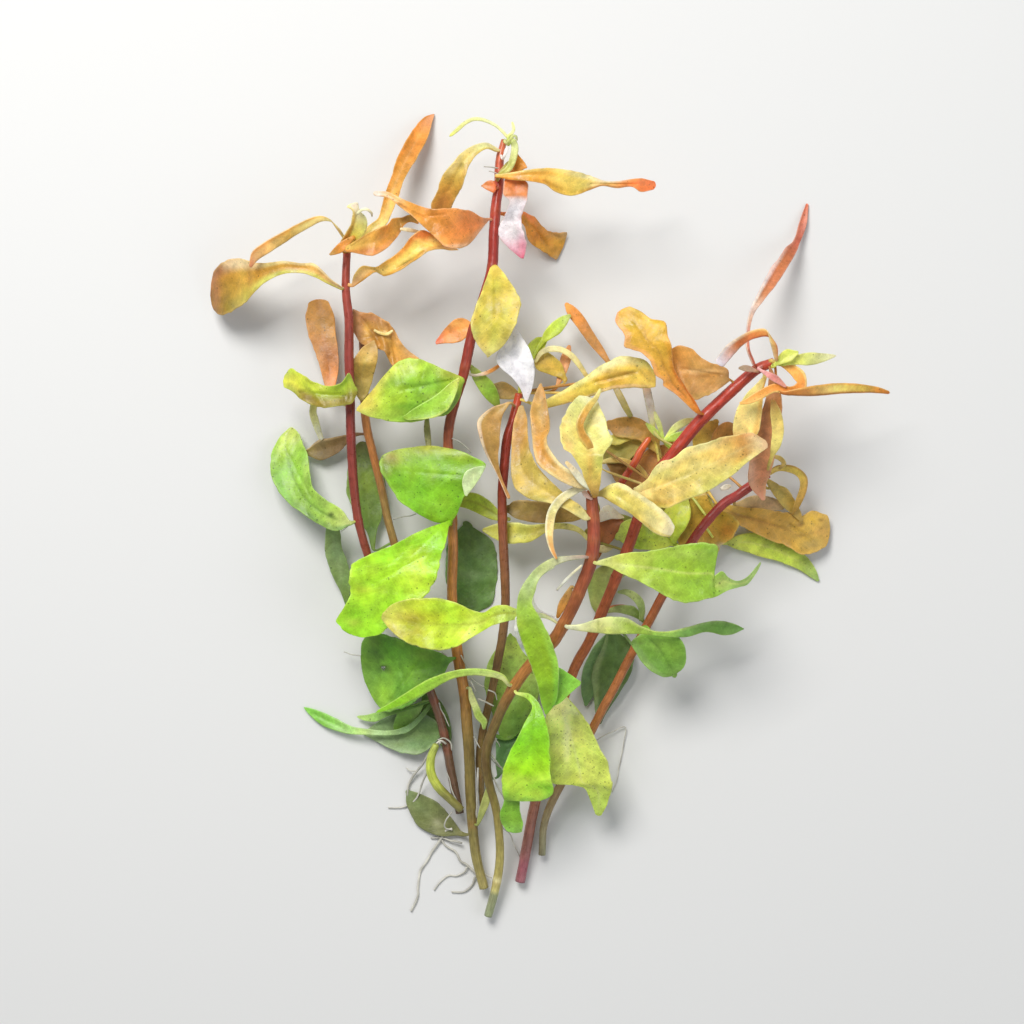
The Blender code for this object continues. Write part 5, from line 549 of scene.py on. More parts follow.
        ("middle_fill_tan", "leaf_brown", 5.2, 4.8, [(668, 446, 6), (658, 456, 22), (648, 468, 28), (636, 482, 26), (624, 492, 8)], [c(200, 140, 84), c(186, 122, 72), c(170, 112, 64), c(150, 100, 58)], {}),
        ("middle_fill_olive", "leaf_olive", 4.0, 3.4, [(590, 530, 6), (604, 524, 18), (622, 528, 26), (642, 536, 22), (656, 540, 8)], [c(150, 142, 70), c(140, 140, 66), c(130, 136, 62)], {}),
        ("middle_deep_olive", "leaf_olive", 4.4, 3.8, [(700, 496, 5), (680, 504, 22), (660, 514, 28), (642, 524, 24), (628, 534, 6)], [c(176, 164, 70), c(164, 160, 66), c(142, 148, 62)], {}),
        ("middle_gold", "leaf_brown", 4.2, 3.0, [(706, 486, 690, 487), (709, 496, 684, 498), (714, 506, 680, 512), (730, 514, 676, 526), (740, 524, 676, 538), (736, 536, 682, 548), (720, 546, 698, 553)], [c(216, 190, 86), c(206, 172, 66), c(196, 164, 58), c(196, 160, 60), c(206, 170, 80)], {"dabs": [(728, 532, 12, 9, c(222, 144, 62), 0.8), (747, 528, 5, 7, c(246, 236, 200), 0.5), (722, 546, 5, 2.5, c(246, 242, 214), 0.8), (700, 520, 10, 16, c(180, 142, 54), 0.5)], "specks": 0.6, "uneven": 0.1, "mottle": 1.6}),
        ("middle_rust_low", "leaf_brown", 9.2, 8.6, [(596, 548, 604, 549), (594, 540, 612, 541), (594, 530, 619, 531), (595, 522, 624, 520)], [c(160, 96, 62), c(160, 92, 66), c(156, 86, 62), c(150, 84, 60)], {"root": "stem_front", "tip": 0.1, "specks": 0.4}),
        ("middle_cream_fold", "leaf_white", 10.2, 9.6, [(595, 520, 597, 523), (602, 508, 605, 521), (609, 505, 612, 519), (616, 510, 618, 519), (623, 516, 624, 518)], [c(250, 244, 214), c(252, 248, 228), c(250, 244, 220), c(240, 226, 190)], {"root": "leaf", "tip": 0.4}),
        ("middle_frill", "leaf_pale", 9.8, 9.4, [(594, 549, 3), (600, 549, 7), (606, 549, 7), (611, 548, 3)], [c(240, 225, 170), c(236, 220, 160)], {"uneven": 0.2, "root": "leaf"}),
        ("middle_green", "leaf_green", 6.6, 5.8, [(671, 546, 669, 538), (660, 549, 657, 529), (648, 551, 644, 520), (636, 549, 632, 518), (626, 545, 622, 522), (619, 540, 618, 532)], [c(212, 224, 92), c(200, 222, 82), c(190, 216, 78), c(200, 216, 104)], {"dabs": [(633, 537, 3, 2, c(90, 116, 44), 0.8), (645, 540, 3, 2, c(96, 120, 48), 0.7), (640, 524, 16, 4, c(220, 226, 110), 0.5)], "specks": 0.9, "folds": [(626, 536, 656, 538, 1.4, 0.3), (632, 528, 640, 544, 1.2, 0.3)], "uneven": 0.08}),
        ("middle_lime", "leaf_lime", 6.8, 6.0, [(688, 497, 679, 497), (690, 506, 670, 504), (691, 514, 664, 511), (687, 526, 662, 524), (680, 536, 668, 535), (677, 541, 671, 541)], [c(232, 236, 112), c(228, 242, 84), c(216, 238, 72), c(196, 218, 76)], {"dabs": [(668, 512, 5, 12, c(236, 240, 110), 0.6)], "specks": 0.2}),
        ("middle_olive_a", "leaf_olive", 5.6, 5.0, [(642, 440, 6), (632, 444, 20), (618, 452, 24), (604, 460, 8)], [c(190, 176, 84), c(178, 168, 82), c(160, 146, 74)], {}),
        ("middle_yellow_tip", "leaf_yellow", 7.6, 7.2, [(634, 437, 4), (624, 438, 9), (616, 439.5, 12), (610, 440, 8)], [c(214, 200, 96), c(226, 218, 104), c(226, 216, 100)], {"root": "leaf"}),
        ("middle_gold_far", "leaf_yellow", 5.4, 4.6, [(696, 452, 6), (702, 440, 20), (710, 430, 22), (716, 422, 6)], [c(214, 186, 84), c(205, 168, 74), c(186, 144, 68)], {}),
        ("middle_brown_far", "leaf_brown", 5.0, 4.2, [(712, 446, 5), (720, 436, 16), (730, 430, 18), (738, 427, 5)], [c(190, 136, 76), c(176, 118, 66)], {}),
        ("middle_cap", "leaf_brown", 7.2, 6.2, [(660, 448, 655, 452), (659, 437, 648, 448), (651, 425, 640, 441), (636, 417, 630, 438), (620, 417, 616, 436), (611, 420, 610, 430)], [c(200, 172, 86), c(192, 150, 78), c(184, 138, 74), c(180, 136, 74)], {"dabs": [(620, 438, 12, 3, c(214, 196, 94), 0.7)], "specks": 0.4}),
        ("middle_stalk_white", "leaf_white", 12.0, 11.0, [(653, 426, 5), (651.5, 413, 8), (649, 400, 8.5), (646, 386, 8)], [(0, c(196, 190, 110)), (0.3, c(250, 246, 226)), (0.6, c(254, 252, 250)), (1, c(240, 205, 165))], {"thick": 0.7, "mottle": 0.3, "root": "stem_right"}),
        ("middle_stalk_olive", "leaf_olive", 8.2, 7.4, [(631, 417, 5), (626, 408, 6.5), (621, 398, 7), (616, 388, 6)], [c(170, 160, 90), c(160, 146, 82), c(150, 130, 74)], {"root": "leaf"}),
        ("middle_arch", "leaf_yellow", 9.0, 6.0, [(603, 462, 4), (612, 460, 5.5), (625, 461, 5.5), (637, 466, 5), (645, 474, 4), (648, 481, 3)], [c(236, 214, 130), c(230, 196, 110), c(206, 160, 86)], {"thick": 0.5}),
        ("middle_small_stem", "stem_red", 9.4, 8.4, [(618, 490, 6), (622, 482, 7), (635, 462, 7), (640, 452, 7), (648, 440, 6)], [c(130, 42, 28), c(150, 50, 32), c(175, 66, 40), c(206, 92, 50)], {"thick": 1.2, "relief": 0.2, "mid_k": 0.0}),
        ("middle_white_a", "leaf_white", 9.6, 9.0, [(721, 489, 3), (726, 487, 6), (730, 486, 3)], [c(245, 238, 220), c(236, 225, 195)], {"root": "leaf"}),
        ("middle_rosette_a", "leaf_lime", 10.2, 11.4, [(664, 440, 4), (657, 434, 7), (651, 428, 6), (647, 424, 3)], [c(226, 236, 130), c(206, 226, 112), c(186, 206, 100)], {"root": "stem_right"}),
        ("middle_rosette_b", "leaf_lime", 10.4, 12.4, [(663, 438, 3), (660, 427, 5), (657, 419, 5), (655, 413, 3)], [c(206, 226, 110), c(226, 230, 140), c(220, 220, 150)], {"root": "stem_right"}),
        ("middle_rosette_c", "leaf_lime", 10.4, 12.0, [(666, 438, 3), (675, 428, 7), (685, 422, 7), (693, 419, 3)], [c(220, 234, 120), c(236, 238, 160), c(220, 216, 150)], {"root": "stem_right"}),
        ("middle_rosette_d", "leaf_lime", 10.8, 11.6, [(667, 440, 4), (675, 437, 8), (683, 434, 6), (690, 431, 3)], [c(196, 224, 92), c(176, 210, 86), c(186, 210, 104)], {"root": "stem_right"}),
    ],
    "leaves_centre_left": [
        ("centre_dull", "leaf_olive", 8.6, 8.2, [(519, 396, 6), (510, 393, 14), (500, 390, 17), (491, 388, 8)], [c(186, 160, 84), c(170, 140, 76), c(150, 124, 70)], {}),
        ("centre_green", "leaf_green", 12.4, 8.8, [(472, 368, 5), (477, 375, 11), (486, 386, 15), (493, 397, 13), (498, 406, 5)], [c(206, 222, 120), c(170, 200, 76), c(146, 184, 62), c(150, 170, 76)], {"root": "stem_tall"}),
        ("centre_thin", "leaf_pale", 12.6, 11.0, [(478, 375, 3), (486, 373, 4), (494, 369, 4), (501, 364, 3)], [c(245, 236, 205), c(226, 150, 82), c(200, 110, 60)], {"root": "stem_tall"}),
        ("centre_orange", "leaf_orange", 14.6, 13.0, [(476, 333, 476, 329), (469, 336, 468, 320), (460, 342, 457, 318), (447, 343, 446, 327), (438, 344, 438, 338)], [(0, c(238, 180, 110)), (0.4, c(228, 150, 84)), (0.75, c(220, 134, 90)), (1, c(214, 110, 100))], {"root": "stem_tall", "dabs": [(458, 324, 8, 4, c(240, 190, 110), 0.6)]}),
        ("centre_pinkish", "leaf_brown", 9.4, 9.2, [(558, 384, 4), (562, 372, 9), (566, 358, 11), (569, 347, 4)], [c(214, 150, 100), c(214, 150, 110), c(206, 132, 96)], {}),
        ("centre_top_brown", "leaf_brown", 9.8, 9.0, [(607, 360, 5), (600, 350, 8), (591, 338, 10), (579, 320, 12), (571, 310, 10), (567, 305, 5)], [(0, c(176, 124, 70)), (0.6, c(186, 120, 66)), (0.85, c(214, 132, 66)), (1, c(236, 156, 80))], {}),
        ("centre_gold", "leaf_yellow", 9.8, 10.0, [(566, 376, 560, 378), (562, 364, 545, 373), (554, 356, 537, 370), (546, 352, 534, 364), (540, 351, 535, 357)], [c(205, 168, 72), c(214, 180, 76), c(222, 190, 84), c(228, 205, 110)], {"specks": 0.3}),
        ("centre_lime_a", "leaf_lime", 10.4, 9.6, [(526, 356, 5), (532, 350, 12), (540, 343, 13), (546, 339, 5)], [c(214, 220, 96), c(206, 220, 76), c(186, 206, 66)], {}),
        ("centre_lime_b", "leaf_lime", 10.8, 10.4, [(543, 341, 5), (549, 334, 11), (556, 328, 13), (563, 321, 10), (569, 316, 4)], [c(196, 212, 72), c(206, 222, 76), c(190, 208, 80), c(205, 216, 120)], {}),
        ("centre_arch", "leaf_pale", 11.0, 11.4, [(589, 380, 4), (582, 369, 5), (573, 357, 6), (562, 350, 6), (550, 349, 6), (541, 353, 5), (536, 361, 3)], [c(220, 190, 110), c(246, 234, 170), c(248, 238, 180), c(240, 226, 156)], {"arch": 1.4}),
    ],
    "leaves_front_left": [
        ("front_left_lime", "leaf_lime", 9.6, 8.4, [(508, 521, 508, 517), (500, 521, 501, 513), (490, 519, 492, 503), (478, 514, 481, 495), (468, 509, 471, 492), (461, 507, 464, 495)], [c(220, 228, 110), c(216, 228, 92), c(206, 224, 84), c(190, 206, 76)], {"mid": c(150, 130, 60), "mid_k": 0.6, "root": "stem_middle"}),
        ("front_left_dark", "leaf_olive", 11.6, 10.2, [(588, 516, 588, 511), (578, 520, 578, 507), (562, 523, 562, 504), (545, 523, 545, 502), (528, 522, 526, 500), (515, 518, 514, 501), (508, 513, 509, 505)], [c(186, 160, 80), c(160, 130, 68), c(146, 118, 62), c(140, 114, 60)], {"root": "stem_front", "dabs": [(530, 508, 10, 4, c(176, 150, 76), 0.6)], "specks": 0.4}),
        ("front_left_olive", "leaf_olive", 14.0, 9.8, [(588, 539, 4), (580, 531, 5), (570, 527, 6), (557, 526, 6), (545, 528, 9), (530, 533, 17), (518, 533, 20), (506, 533, 20), (494, 531, 14), (485, 530, 5)], [(0, c(236, 226, 150)), (0.3, c(220, 210, 110)), (0.6, c(206, 200, 84)), (1, c(190, 186, 80))], {"specks": 0.4, "root": "stem_front", "right": [c(226, 226, 120)], "right_at": 0.6}),
        ("front_left_pale", "leaf_pale", 19.5, 28.5, [(556, 619, 4), (546, 616, 5), (537, 611, 6), (531, 602, 7), (530, 591, 8), (534, 580, 7), (543, 572, 5), (553, 567, 3)], [(0, c(252, 252, 248)), (0.35, c(252, 250, 240)), (0.5, c(232, 238, 190)), (0.75, c(206, 218, 150)), (1, c(214, 220, 166))], {"root": "stem_front", "arch": 1.0, "wave": 0.1}),
        ("front_left_stalk", "leaf_orange", 23.4, 22.0, [(571, 588, 4), (567, 596, 7), (562, 606, 8), (558, 616, 4)], [c(232, 190, 120), c(222, 160, 90), c(200, 130, 70)], {"root": "stem_front", "thick": 0.6}),
    ],
    "tip_leaves_tall": [
        ("tip_tall_left", "leaf_rust", 18.4, 18.0, [(494.6, 181, 493.9, 193.4), (490, 180.4, 490, 191.4), (486.5, 181.4, 486, 189.5), (482.5, 184.6, 482.5, 187)], [c(216, 110, 80), c(226, 132, 92), c(226, 142, 100)], {"root": "stem_tall"}),
        ("tip_tall_wedge", "leaf_orange", 19.0, 20.4, [(507, 172, 508, 177), (513, 161, 517, 174), (517, 154, 524, 169), (519, 156, 527, 168)], [c(206, 122, 60), c(214, 136, 66), c(224, 150, 80)], {"root": "stem_tall", "tip": 0.15}),
        ("tip_tall_stalk", "leaf_olive", 19.0, 20.0, [(498, 178, 4), (501, 173, 5), (505, 168, 5), (508, 163, 3)], [c(170, 130, 66), c(186, 160, 80), c(200, 196, 100)], {"root": "stem_tall", "thick": 0.8}),
        ("tip_tall_thin", "leaf_lime", 20.6, 19.0, [(509, 139, 3), (502, 131, 2.8), (494, 124.5, 3), (484, 120, 3.4), (474, 119, 3.8), (465, 123, 4), (457, 130, 4), (451, 135, 3)], [(0, c(226, 226, 150)), (0.3, c(236, 236, 176)), (0.7, c(232, 234, 160)), (1, c(214, 216, 110))], {"thick": 0.35, "sharp": True, "tip": 1.5, "root": "stem_tall"}),
        ("tip_tall_bud", "leaf_lime", 20.4, 22.6, [(503, 172.5, 5), (508, 169, 6), (511.5, 163, 6.5), (514, 155, 6.5), (515, 148, 6.5), (513.5, 142, 6), (511, 138, 3.5)], [c(190, 186, 90), c(214, 216, 116), c(230, 230, 150), c(236, 236, 176), c(226, 232, 150)], {"root": "stem_tall", "cup": 0.5, "thick": 0.5}),
        ("tip_tall_up", "leaf_lime", 21.6, 23.0, [(508.5, 140, 3), (508, 136.5, 3), (511.4, 133.6, 3.2), (513.6, 130, 3), (513.2, 126, 2.6), (512.4, 123, 2)], [c(214, 222, 110), c(236, 236, 170), c(226, 226, 140)], {"thick": 0.35, "root": "stem_tall"}),
        ("tip_tall_out", "leaf_lime", 21.6, 22.4, [(511, 138.5, 2.6), (513.4, 135.6, 2.8), (516, 136.6, 2.8), (517, 139.6, 2)], [c(226, 228, 140), c(240, 240, 190)], {"thick": 0.35, "root": "stem_tall"}),
        ("tip_tall_white", "leaf_white", 22.4, 22.6, [(505, 154, 3), (506, 151, 4), (507, 148, 2.5)], [c(245, 240, 230), c(240, 235, 222)], {"root": "stem_tall"}),
    ],
    "tip_leaves_right": [
        ("tip_right_olive", "leaf_olive", 23.2, 24.2, [(772, 456, 4), (776, 444, 10), (778, 430, 12), (776, 414, 11), (773, 402, 5)], [c(220, 200, 110), c(226, 208, 116), c(216, 192, 100), c(190, 150, 80)], {}),
        ("tip_right_cream", "leaf_pale", 26.0, 24.8, [(764, 379, 5), (759, 388, 10), (754, 398, 18), (749, 412, 26), (746, 428, 27), (743, 442, 16), (742, 451, 5)], [(0, c(240, 220, 130)), (0.2, c(244, 234, 150)), (0.5, c(240, 220, 130)), (0.75, c(240, 216, 136)), (0.9, c(236, 182, 130)), (1, c(238, 190, 146))], {"left": [c(226, 186, 100), c(230, 190, 104)], "left_at": 0.4, "specks": 0.2, "root": "stem_right", "folds": [(752, 398, 746, 440, 1.6, 0.2)]}),
        ("tip_right_grey", "leaf_brown", 25.6, 26.2, [(756, 371, 3), (750, 369, 6), (744, 368, 6), (740, 368, 3)], [c(170, 130, 110), c(176, 150, 130), c(190, 165, 140)], {"root": "stem_right"}),
        ("tip_right_loop", "leaf_orange", 28.4, 28.6, [(773, 361, 4), (782, 363, 7), (792, 369, 10), (800, 377, 12), (801, 386, 11), (790, 391, 9), (775, 388, 9), (760, 395, 9), (748, 401, 6), (741, 403, 3)], [(0, c(236, 196, 110)), (0.25, c(234, 166, 86)), (0.5, c(224, 134, 70)), (0.75, c(232, 152, 80)), (1, c(240, 190, 110))], {"root": "stem_right", "arch": 0.8, "left": [c(248, 220, 140), c(240, 186, 104)], "left_at": 0.6}),
        ("tip_right_mauve", "leaf_pink", 29.2, 29.6, [(762, 371, 3), (769, 375, 6), (776, 379, 7), (785, 386, 3)], [c(222, 160, 150), c(205, 130, 116), c(214, 146, 124)], {"root": "stem_right"}),
        ("tip_right_leaf", "leaf_pale", 28.8, 26.4, [(786, 363, 5), (797, 360, 10), (808, 359, 13), (820, 358, 10), (834, 356, 3)], [c(206, 216, 90), c(226, 228, 120), c(236, 232, 150), c(238, 236, 180)], {"sharp": True, "tip": 1.5, "root": "stem_right"}),
        ("tip_right_knob", "leaf_lime", 29.0, 29.4, [(776, 364, 4), (782, 359, 10), (789, 355, 13), (796, 353, 5)], [c(214, 222, 96), c(230, 234, 110), c(222, 228, 116)], {"root": "stem_right", "cup": 0.3}),
    ],
}

# Single pieces laid right after a large leaf or stem: under that node's name, as above.
AFTER = {
    "leaf_left_peach": [
        ("left_peach_strip", "leaf_pale", 19.4, 18.6, [(400, 229, 2.6), (406, 229.5, 4), (412, 230.5, 4), (418, 231.5, 2.6)], [c(246, 226, 176), c(250, 236, 190), c(240, 206, 150)], {"root": "leaf", "thick": 0.35}),
    ],
    "leaf_left_brown": [
        ("left_back_olive", "leaf_olive", 7.0, 6.2, [(360, 401, 363, 401), (355, 392, 368, 393), (351, 376, 373, 377), (353, 362, 377, 364), (362, 348, 378, 350), (371, 342, 375, 342)], [(0, c(190, 172, 90)), (0.4, c(196, 164, 88)), (0.7, c(205, 170, 90)), (1, c(186, 150, 84))], {"root": "leaf", "mid": c(220, 200, 120), "mid_k": 0.4, "specks": 0.3, "folds": [(357, 360, 364, 395, 1.5, 0.35)]}),
        ("left_brown_squiggle", "leaf_yellow", 9.4, 9.4, [(374, 330, 2.4), (380, 333, 3), (387, 334, 3), (392, 331, 2.4)], [c(246, 224, 150), c(240, 210, 120), c(246, 230, 170)], {"root": "leaf", "thick": 0.4}),
    ],
    "leaf_rosette_left": [
        ("front_left_curl", "leaf_pale", 28.4, 26.0, [(588, 488, 3), (580, 489, 6), (571, 492.5, 8), (560, 500, 9), (553, 510, 9), (550, 521, 9), (549.5, 536, 7.5), (552, 549, 5), (556, 558, 3)], [(0, c(248, 242, 214)), (0.15, c(246, 238, 190)), (0.5, c(240, 224, 140)), (0.75, c(236, 206, 124)), (0.88, c(228, 176, 104)), (1, c(216, 146, 88))], {"root": "stem_front", "right": [c(250, 244, 214), c(248, 238, 180)], "right_at": 0.5, "arch": 1.0, "wave": 0.1}),
    ],
    "leaf_left_paddle": [],
    "leaf_left_young": [
        ("left_bud", "leaf_orange", 18.4, 17.6, [(351, 239, 5), (346, 243, 8), (341, 247.5, 9), (336, 251, 7), (331, 254, 3)], [c(196, 134, 66), c(214, 140, 70), c(214, 136, 66), c(226, 170, 100)], {"root": "stem_left"}),
        ("left_curl", "leaf_pale", 23.0, 24.0, [(357, 214, 2.6), (361, 210.3, 2.8), (366.3, 209.2, 2.8), (371.2, 212.5, 2.6), (372, 215.6, 1.8)], [c(246, 236, 190), c(250, 244, 214)], {"root": "leaf", "thick": 0.35}),
    ],
    "leaf_green_large": [
        ("green_large_flap", "leaf_green", 20.8, 20.6, [(486, 466.5, 485, 465.5), (481, 476, 474, 467.5), (476, 484, 465.5, 471.5), (470.5, 491, 462, 482), (467.5, 495, 464, 493)], [c(200, 222, 150), c(206, 226, 160), c(214, 230, 170)], {"root": "leaf", "mid_k": 0.0, "thick": 0.2}),
    ],
    "leaf_green_folded": [
        ("green_folded_flap", "leaf_green", 21.6, 20.6, [(460, 379, 459, 377), (456, 394, 450, 383), (449, 409, 437, 394), (439, 416, 425, 402), (426, 419, 413, 409), (413, 420, 405, 415)], [c(206, 214, 96), c(172, 206, 72), c(156, 200, 62), c(150, 186, 60)], {"root": "leaf", "specks": 0.8, "thick": 0.15, "left": [c(196, 216, 100)], "left_at": 0.75, "mid_k": 0.1}),
    ],
    "leaf_long_green": [],
    "leaf_big_orange": [],
    "leaf_right_large": [],
    "stem_tall": [
        ("tall_olive_stalk", "leaf_olive", 14.2, 13.6, [(429, 452, 4), (428, 440, 6), (427, 428, 6), (427, 418, 4)], [c(150, 150, 90), c(140, 140, 80)], {"root": "stem_tall", "thick": 0.8}),
        ("tall_sliver", "leaf_olive", 5.6, 6.8, [(478, 824, 3), (482, 812, 7), (486, 800, 8), (488, 788, 4)], [c(150, 155, 80), c(176, 182, 100), c(160, 168, 92)], {"root": "stem_tall"}),
        ("tall_shoot", "leaf_lime", 9.4, 11.0, [(470, 689, 3), (472, 698, 6), (476, 708, 7), (479, 716, 8), (484, 722, 7), (484, 728, 3)], [(0, c(206, 206, 140)), (0.35, c(222, 222, 150)), (0.6, c(176, 200, 90)), (1, c(150, 180, 84))], {"root": "stem_tall", "cup": 0.4, "thick": 0.5}),
    ],
    "stem_front": [
        ("front_strip", "leaf_pale", 26.0, 27.6, [(557, 590, 2.4), (564, 582, 2.8), (572, 574, 2.8), (581, 566, 2.4)], [c(248, 244, 220), c(246, 238, 200)], {"root": "leaf", "thick": 0.4}),
        ("front_spur", "leaf_pink", 25.8, 26.4, [(590, 498, 3), (586, 495, 5), (583, 490, 4), (584, 487, 2.4)], [c(240, 200, 190), c(246, 226, 216)], {"root": "stem_front", "thick": 0.5}),
    ],
    "leaf_arch_low": [
        ("white_crescent", "leaf_white", 21.6, 20.0, [(516, 621, 2.4), (516.5, 630, 3.8), (519, 640, 3.8), (523, 649, 3.2), (527, 655, 1.8)], [c(246, 248, 236), c(252, 252, 246), c(246, 246, 236)], {"root": "stem_front", "thick": 0.4}),
    ],
    "leaf_rosette_tan": [
        ("rosette_cream", "leaf_pale", 29.6, 29.8, [(589, 488, 4), (582, 481, 7), (575, 472, 7), (567, 463, 4)], [c(246, 240, 205), c(248, 242, 214), c(240, 216, 150)], {"root": "stem_front"}),
    ],
    "leaf_rosette_up": [
        ("rosette_fold", "leaf_yellow", 30.8, 32.6, [(589, 458, 4), (590.5, 449, 7), (586.5, 441, 8), (582, 434, 8.5), (580, 424, 8), (584.5, 413, 7.5), (590, 405, 6.5), (596, 398, 5), (600, 390, 3)], [(0, c(205, 156, 76)), (0.3, c(196, 140, 62)), (0.6, c(200, 144, 66)), (0.8, c(220, 186, 96)), (1, c(240, 226, 140))], {"root": "leaf", "left": [c(214, 170, 80), c(240, 230, 140)], "left_at": 0.6, "thick": 0.5, "free": 2.0}),
    ],
}

# The loose roots: points (u, v, z), and the width in plan units at both ends.
ROOTS = [
    ([(462, 843, 1.6), (452, 841, 1.2), (442, 838, 0.8), (431, 838, 0.5)], 2.6, 1.6),
    ([(452, 829, 2.0), (446, 831, 1.2), (441, 839, 0.8), (433, 850, 0.5), (426, 862, 0.4), (420, 872, 0.4), (418, 885, 0.4), (418, 896, 0.4), (411, 911, 0.4)], 2.6, 2.2),
    ([(442, 840, 0.6), (446, 846, 0.7), (455, 851, 0.8), (461, 861, 0.8), (468, 866, 0.9), (478, 875, 1.4)], 1.8, 2.6),
    ([(480, 872, 1.8), (475, 877, 1.0), (472, 885, 0.5), (464, 892, 0.4), (452, 892, 0.4)], 2.2, 1.8),
    ([(467, 867, 0.9), (464, 872, 0.6), (456, 876, 0.4), (448, 876, 0.4), (440, 882, 0.4), (434, 890, 0.4)], 1.8, 1.4),
    ([(479, 872, 2.4), (486, 875, 2.2), (492, 878, 2.6)], 1.8, 1.4),
    ([(478, 768, 9.4), (477.5, 785, 8.8), (477, 803, 7.0), (476, 818, 5.8), (474, 828, 5.0)], 2.0, 1.8),
    ([(490, 768, 11.4), (494, 778, 10.8), (499, 789, 9.4), (504, 798, 7.6)], 2.0, 1.6),
    ([(490, 753, 12.4), (495, 760, 11.0), (503, 770, 8.0)], 2.2, 1.2),
    ([(490, 756, 12.0), (496, 764, 9.6), (501, 768, 8.0)], 1.4, 1.0),
    ([(440, 742, 8.6), (432, 749, 6.0), (424, 762, 3.0), (417, 771, 1.6), (409, 783, 0.8), (407, 797, 0.5)], 3.0, 2.2),
    ([(417, 771, 1.6), (411, 771, 1.2), (406, 768, 0.9)], 1.6, 1.0),
    ([(430, 768, 7.0), (426, 775, 4.6), (421, 787, 2.2), (416, 799, 1.0), (408, 805, 0.6), (398, 808, 0.4), (388, 808, 0.4)], 2.4, 1.4),
    ([(457, 678, 9.6), (460, 688, 10.2), (465, 693, 10.0), (470, 696, 10.0)], 1.4, 1.2),
    ([(468, 679, 9.6), (472, 684, 10.4), (476, 692, 10.6)], 1.6, 1.2),
    ([(471, 678, 9.6), (477, 683, 10.2), (484, 687, 10.4)], 1.2, 0.9),
    ([(478, 699, 10.4), (486, 702, 10.2), (494, 706, 10.0)], 2.4, 1.4),
    ([(488, 690, 12.0), (495, 693, 12.6), (497, 700, 12.4)], 1.4, 1.0),
    ([(461, 655, 11.4), (465, 663, 11.4), (470, 671, 11.0)], 1.4, 1.0),
    ([(442, 652, 12.0), (445, 655, 11.4), (448, 659, 10.6)], 1.4, 1.0),
    ([(502, 828, 5.2), (510, 834, 3.0), (514, 845, 2.2), (520, 857, 1.8)], 1.6, 1.0),
    ([(362, 656, 6.0), (356, 655, 4.6), (350, 654, 3.6), (344, 652, 3.0)], 1.4, 1.0),
    ([(439, 703, 8.6), (442, 712, 7.4), (446, 719, 7.0), (449, 726, 6.8)], 1.4, 1.0),
    ([(393, 519, 9.0), (402, 517, 10.0), (410, 516, 10.6), (416, 514, 11.0)], 1.6, 1.1),
    ([(352, 521, 13.0), (347, 527, 11.6), (341, 532, 10.4)], 1.4, 0.9),
    ([(447, 437, 13.8), (458, 441, 14.2), (466, 447, 13.8), (471, 453, 13.0)], 1.4, 0.9),
    ([(471, 733, 8.4), (475, 739, 8.2), (480, 748, 8.0)], 1.5, 1.1),
    ([(492, 735, 12.8), (496, 740, 12.0), (500, 747, 10.0)], 1.2, 0.8),
    ([(555, 760, 5.0), (575, 752, 3.4), (600, 738, 2.0), (612, 732, 1.4), (625, 727, 1.0), (624, 742, 0.7), (620, 762, 0.5), (617, 780, 0.4), (612, 792, 0.4)], 1.4, 0.9),
    ([(452, 812, 5.4), (446, 820, 3.6), (445, 828, 2.2), (452, 830, 2.0)], 1.8, 1.4),
    ([(456, 800, 6.4), (452, 790, 6.6), (449, 778, 6.2), (447, 772, 5.8)], 1.6, 1.0),
    ([(446, 744, 8.0), (441, 741, 8.8), (436, 744, 8.6), (432, 750, 8.0)], 2.0, 1.6),
    ([(452, 750, 6.8), (450, 742, 7.6), (444, 738, 8.2), (438, 740, 8.6)], 1.8, 1.2),
    ([(484, 166, 18.8), (491, 167, 19.2), (498, 168, 19.0)], 1.2, 1.4),
    ([(489, 171, 19.0), (494, 172, 19.2), (498, 174, 19.0)], 1.0, 1.2),
]

# ---- laying the plan out --------------------------------------------------------


def to_space(u, v, z):
    """A plan point at a height in millimetres, as a place in metres."""
    k = UNIT_MM * (1.0 - z / EYE_MM)
    x = (u - EYE_U) * k + (EYE_U - ORIGIN_U) * UNIT_MM
    y = (EYE_V - v) * k + (ORIGIN_V - EYE_V) * UNIT_MM
    return np.stack([x, y, z], axis=-1) * 0.001


def through(points, t):
    """A smooth curve through points, read at t from 0 to len(points) - 1."""
    p = np.asarray(points, float)
    p = np.vstack([2 * p[0] - p[1], p, 2 * p[-1] - p[-2]])
    t = np.asarray(t, float)
    i = np.clip(np.floor(t).astype(int), 0, len(points) - 2)
    f = (t - i)[..., None]
    a, b, cc, d = p[i], p[i + 1], p[i + 2], p[i + 3]
    return 0.5 * (2 * b + (cc - a) * f + (2 * a - 5 * b + 4 * cc - d) * f * f + (3 * b - a - 3 * cc + d) * f ** 3)


def edges(stations):
    """Left edge, right edge and height of each station, as rows of five."""
    rows = []
    mids = [((s[0] + s[2]) / 2, (s[1] + s[3]) / 2) if len(s) == 5 else s[:2] for s in stations]
    for i, s in enumerate(stations):
        if len(s) == 5:
            rows.append(s)
            continue
        a, b = mids[max(i - 1, 0)], mids[min(i + 1, len(mids) - 1)]
        du, dv = b[0] - a[0], b[1] - a[1]
        n = max(math.hypot(du, dv), 1e-6)
        lu, lv = dv / n * s[3] / 2, -du / n * s[3] / 2
        rows.append((s[0] + lu, s[1] + lv, s[0] - lu, s[1] - lv, s[2]))
    return np.array(rows, float)


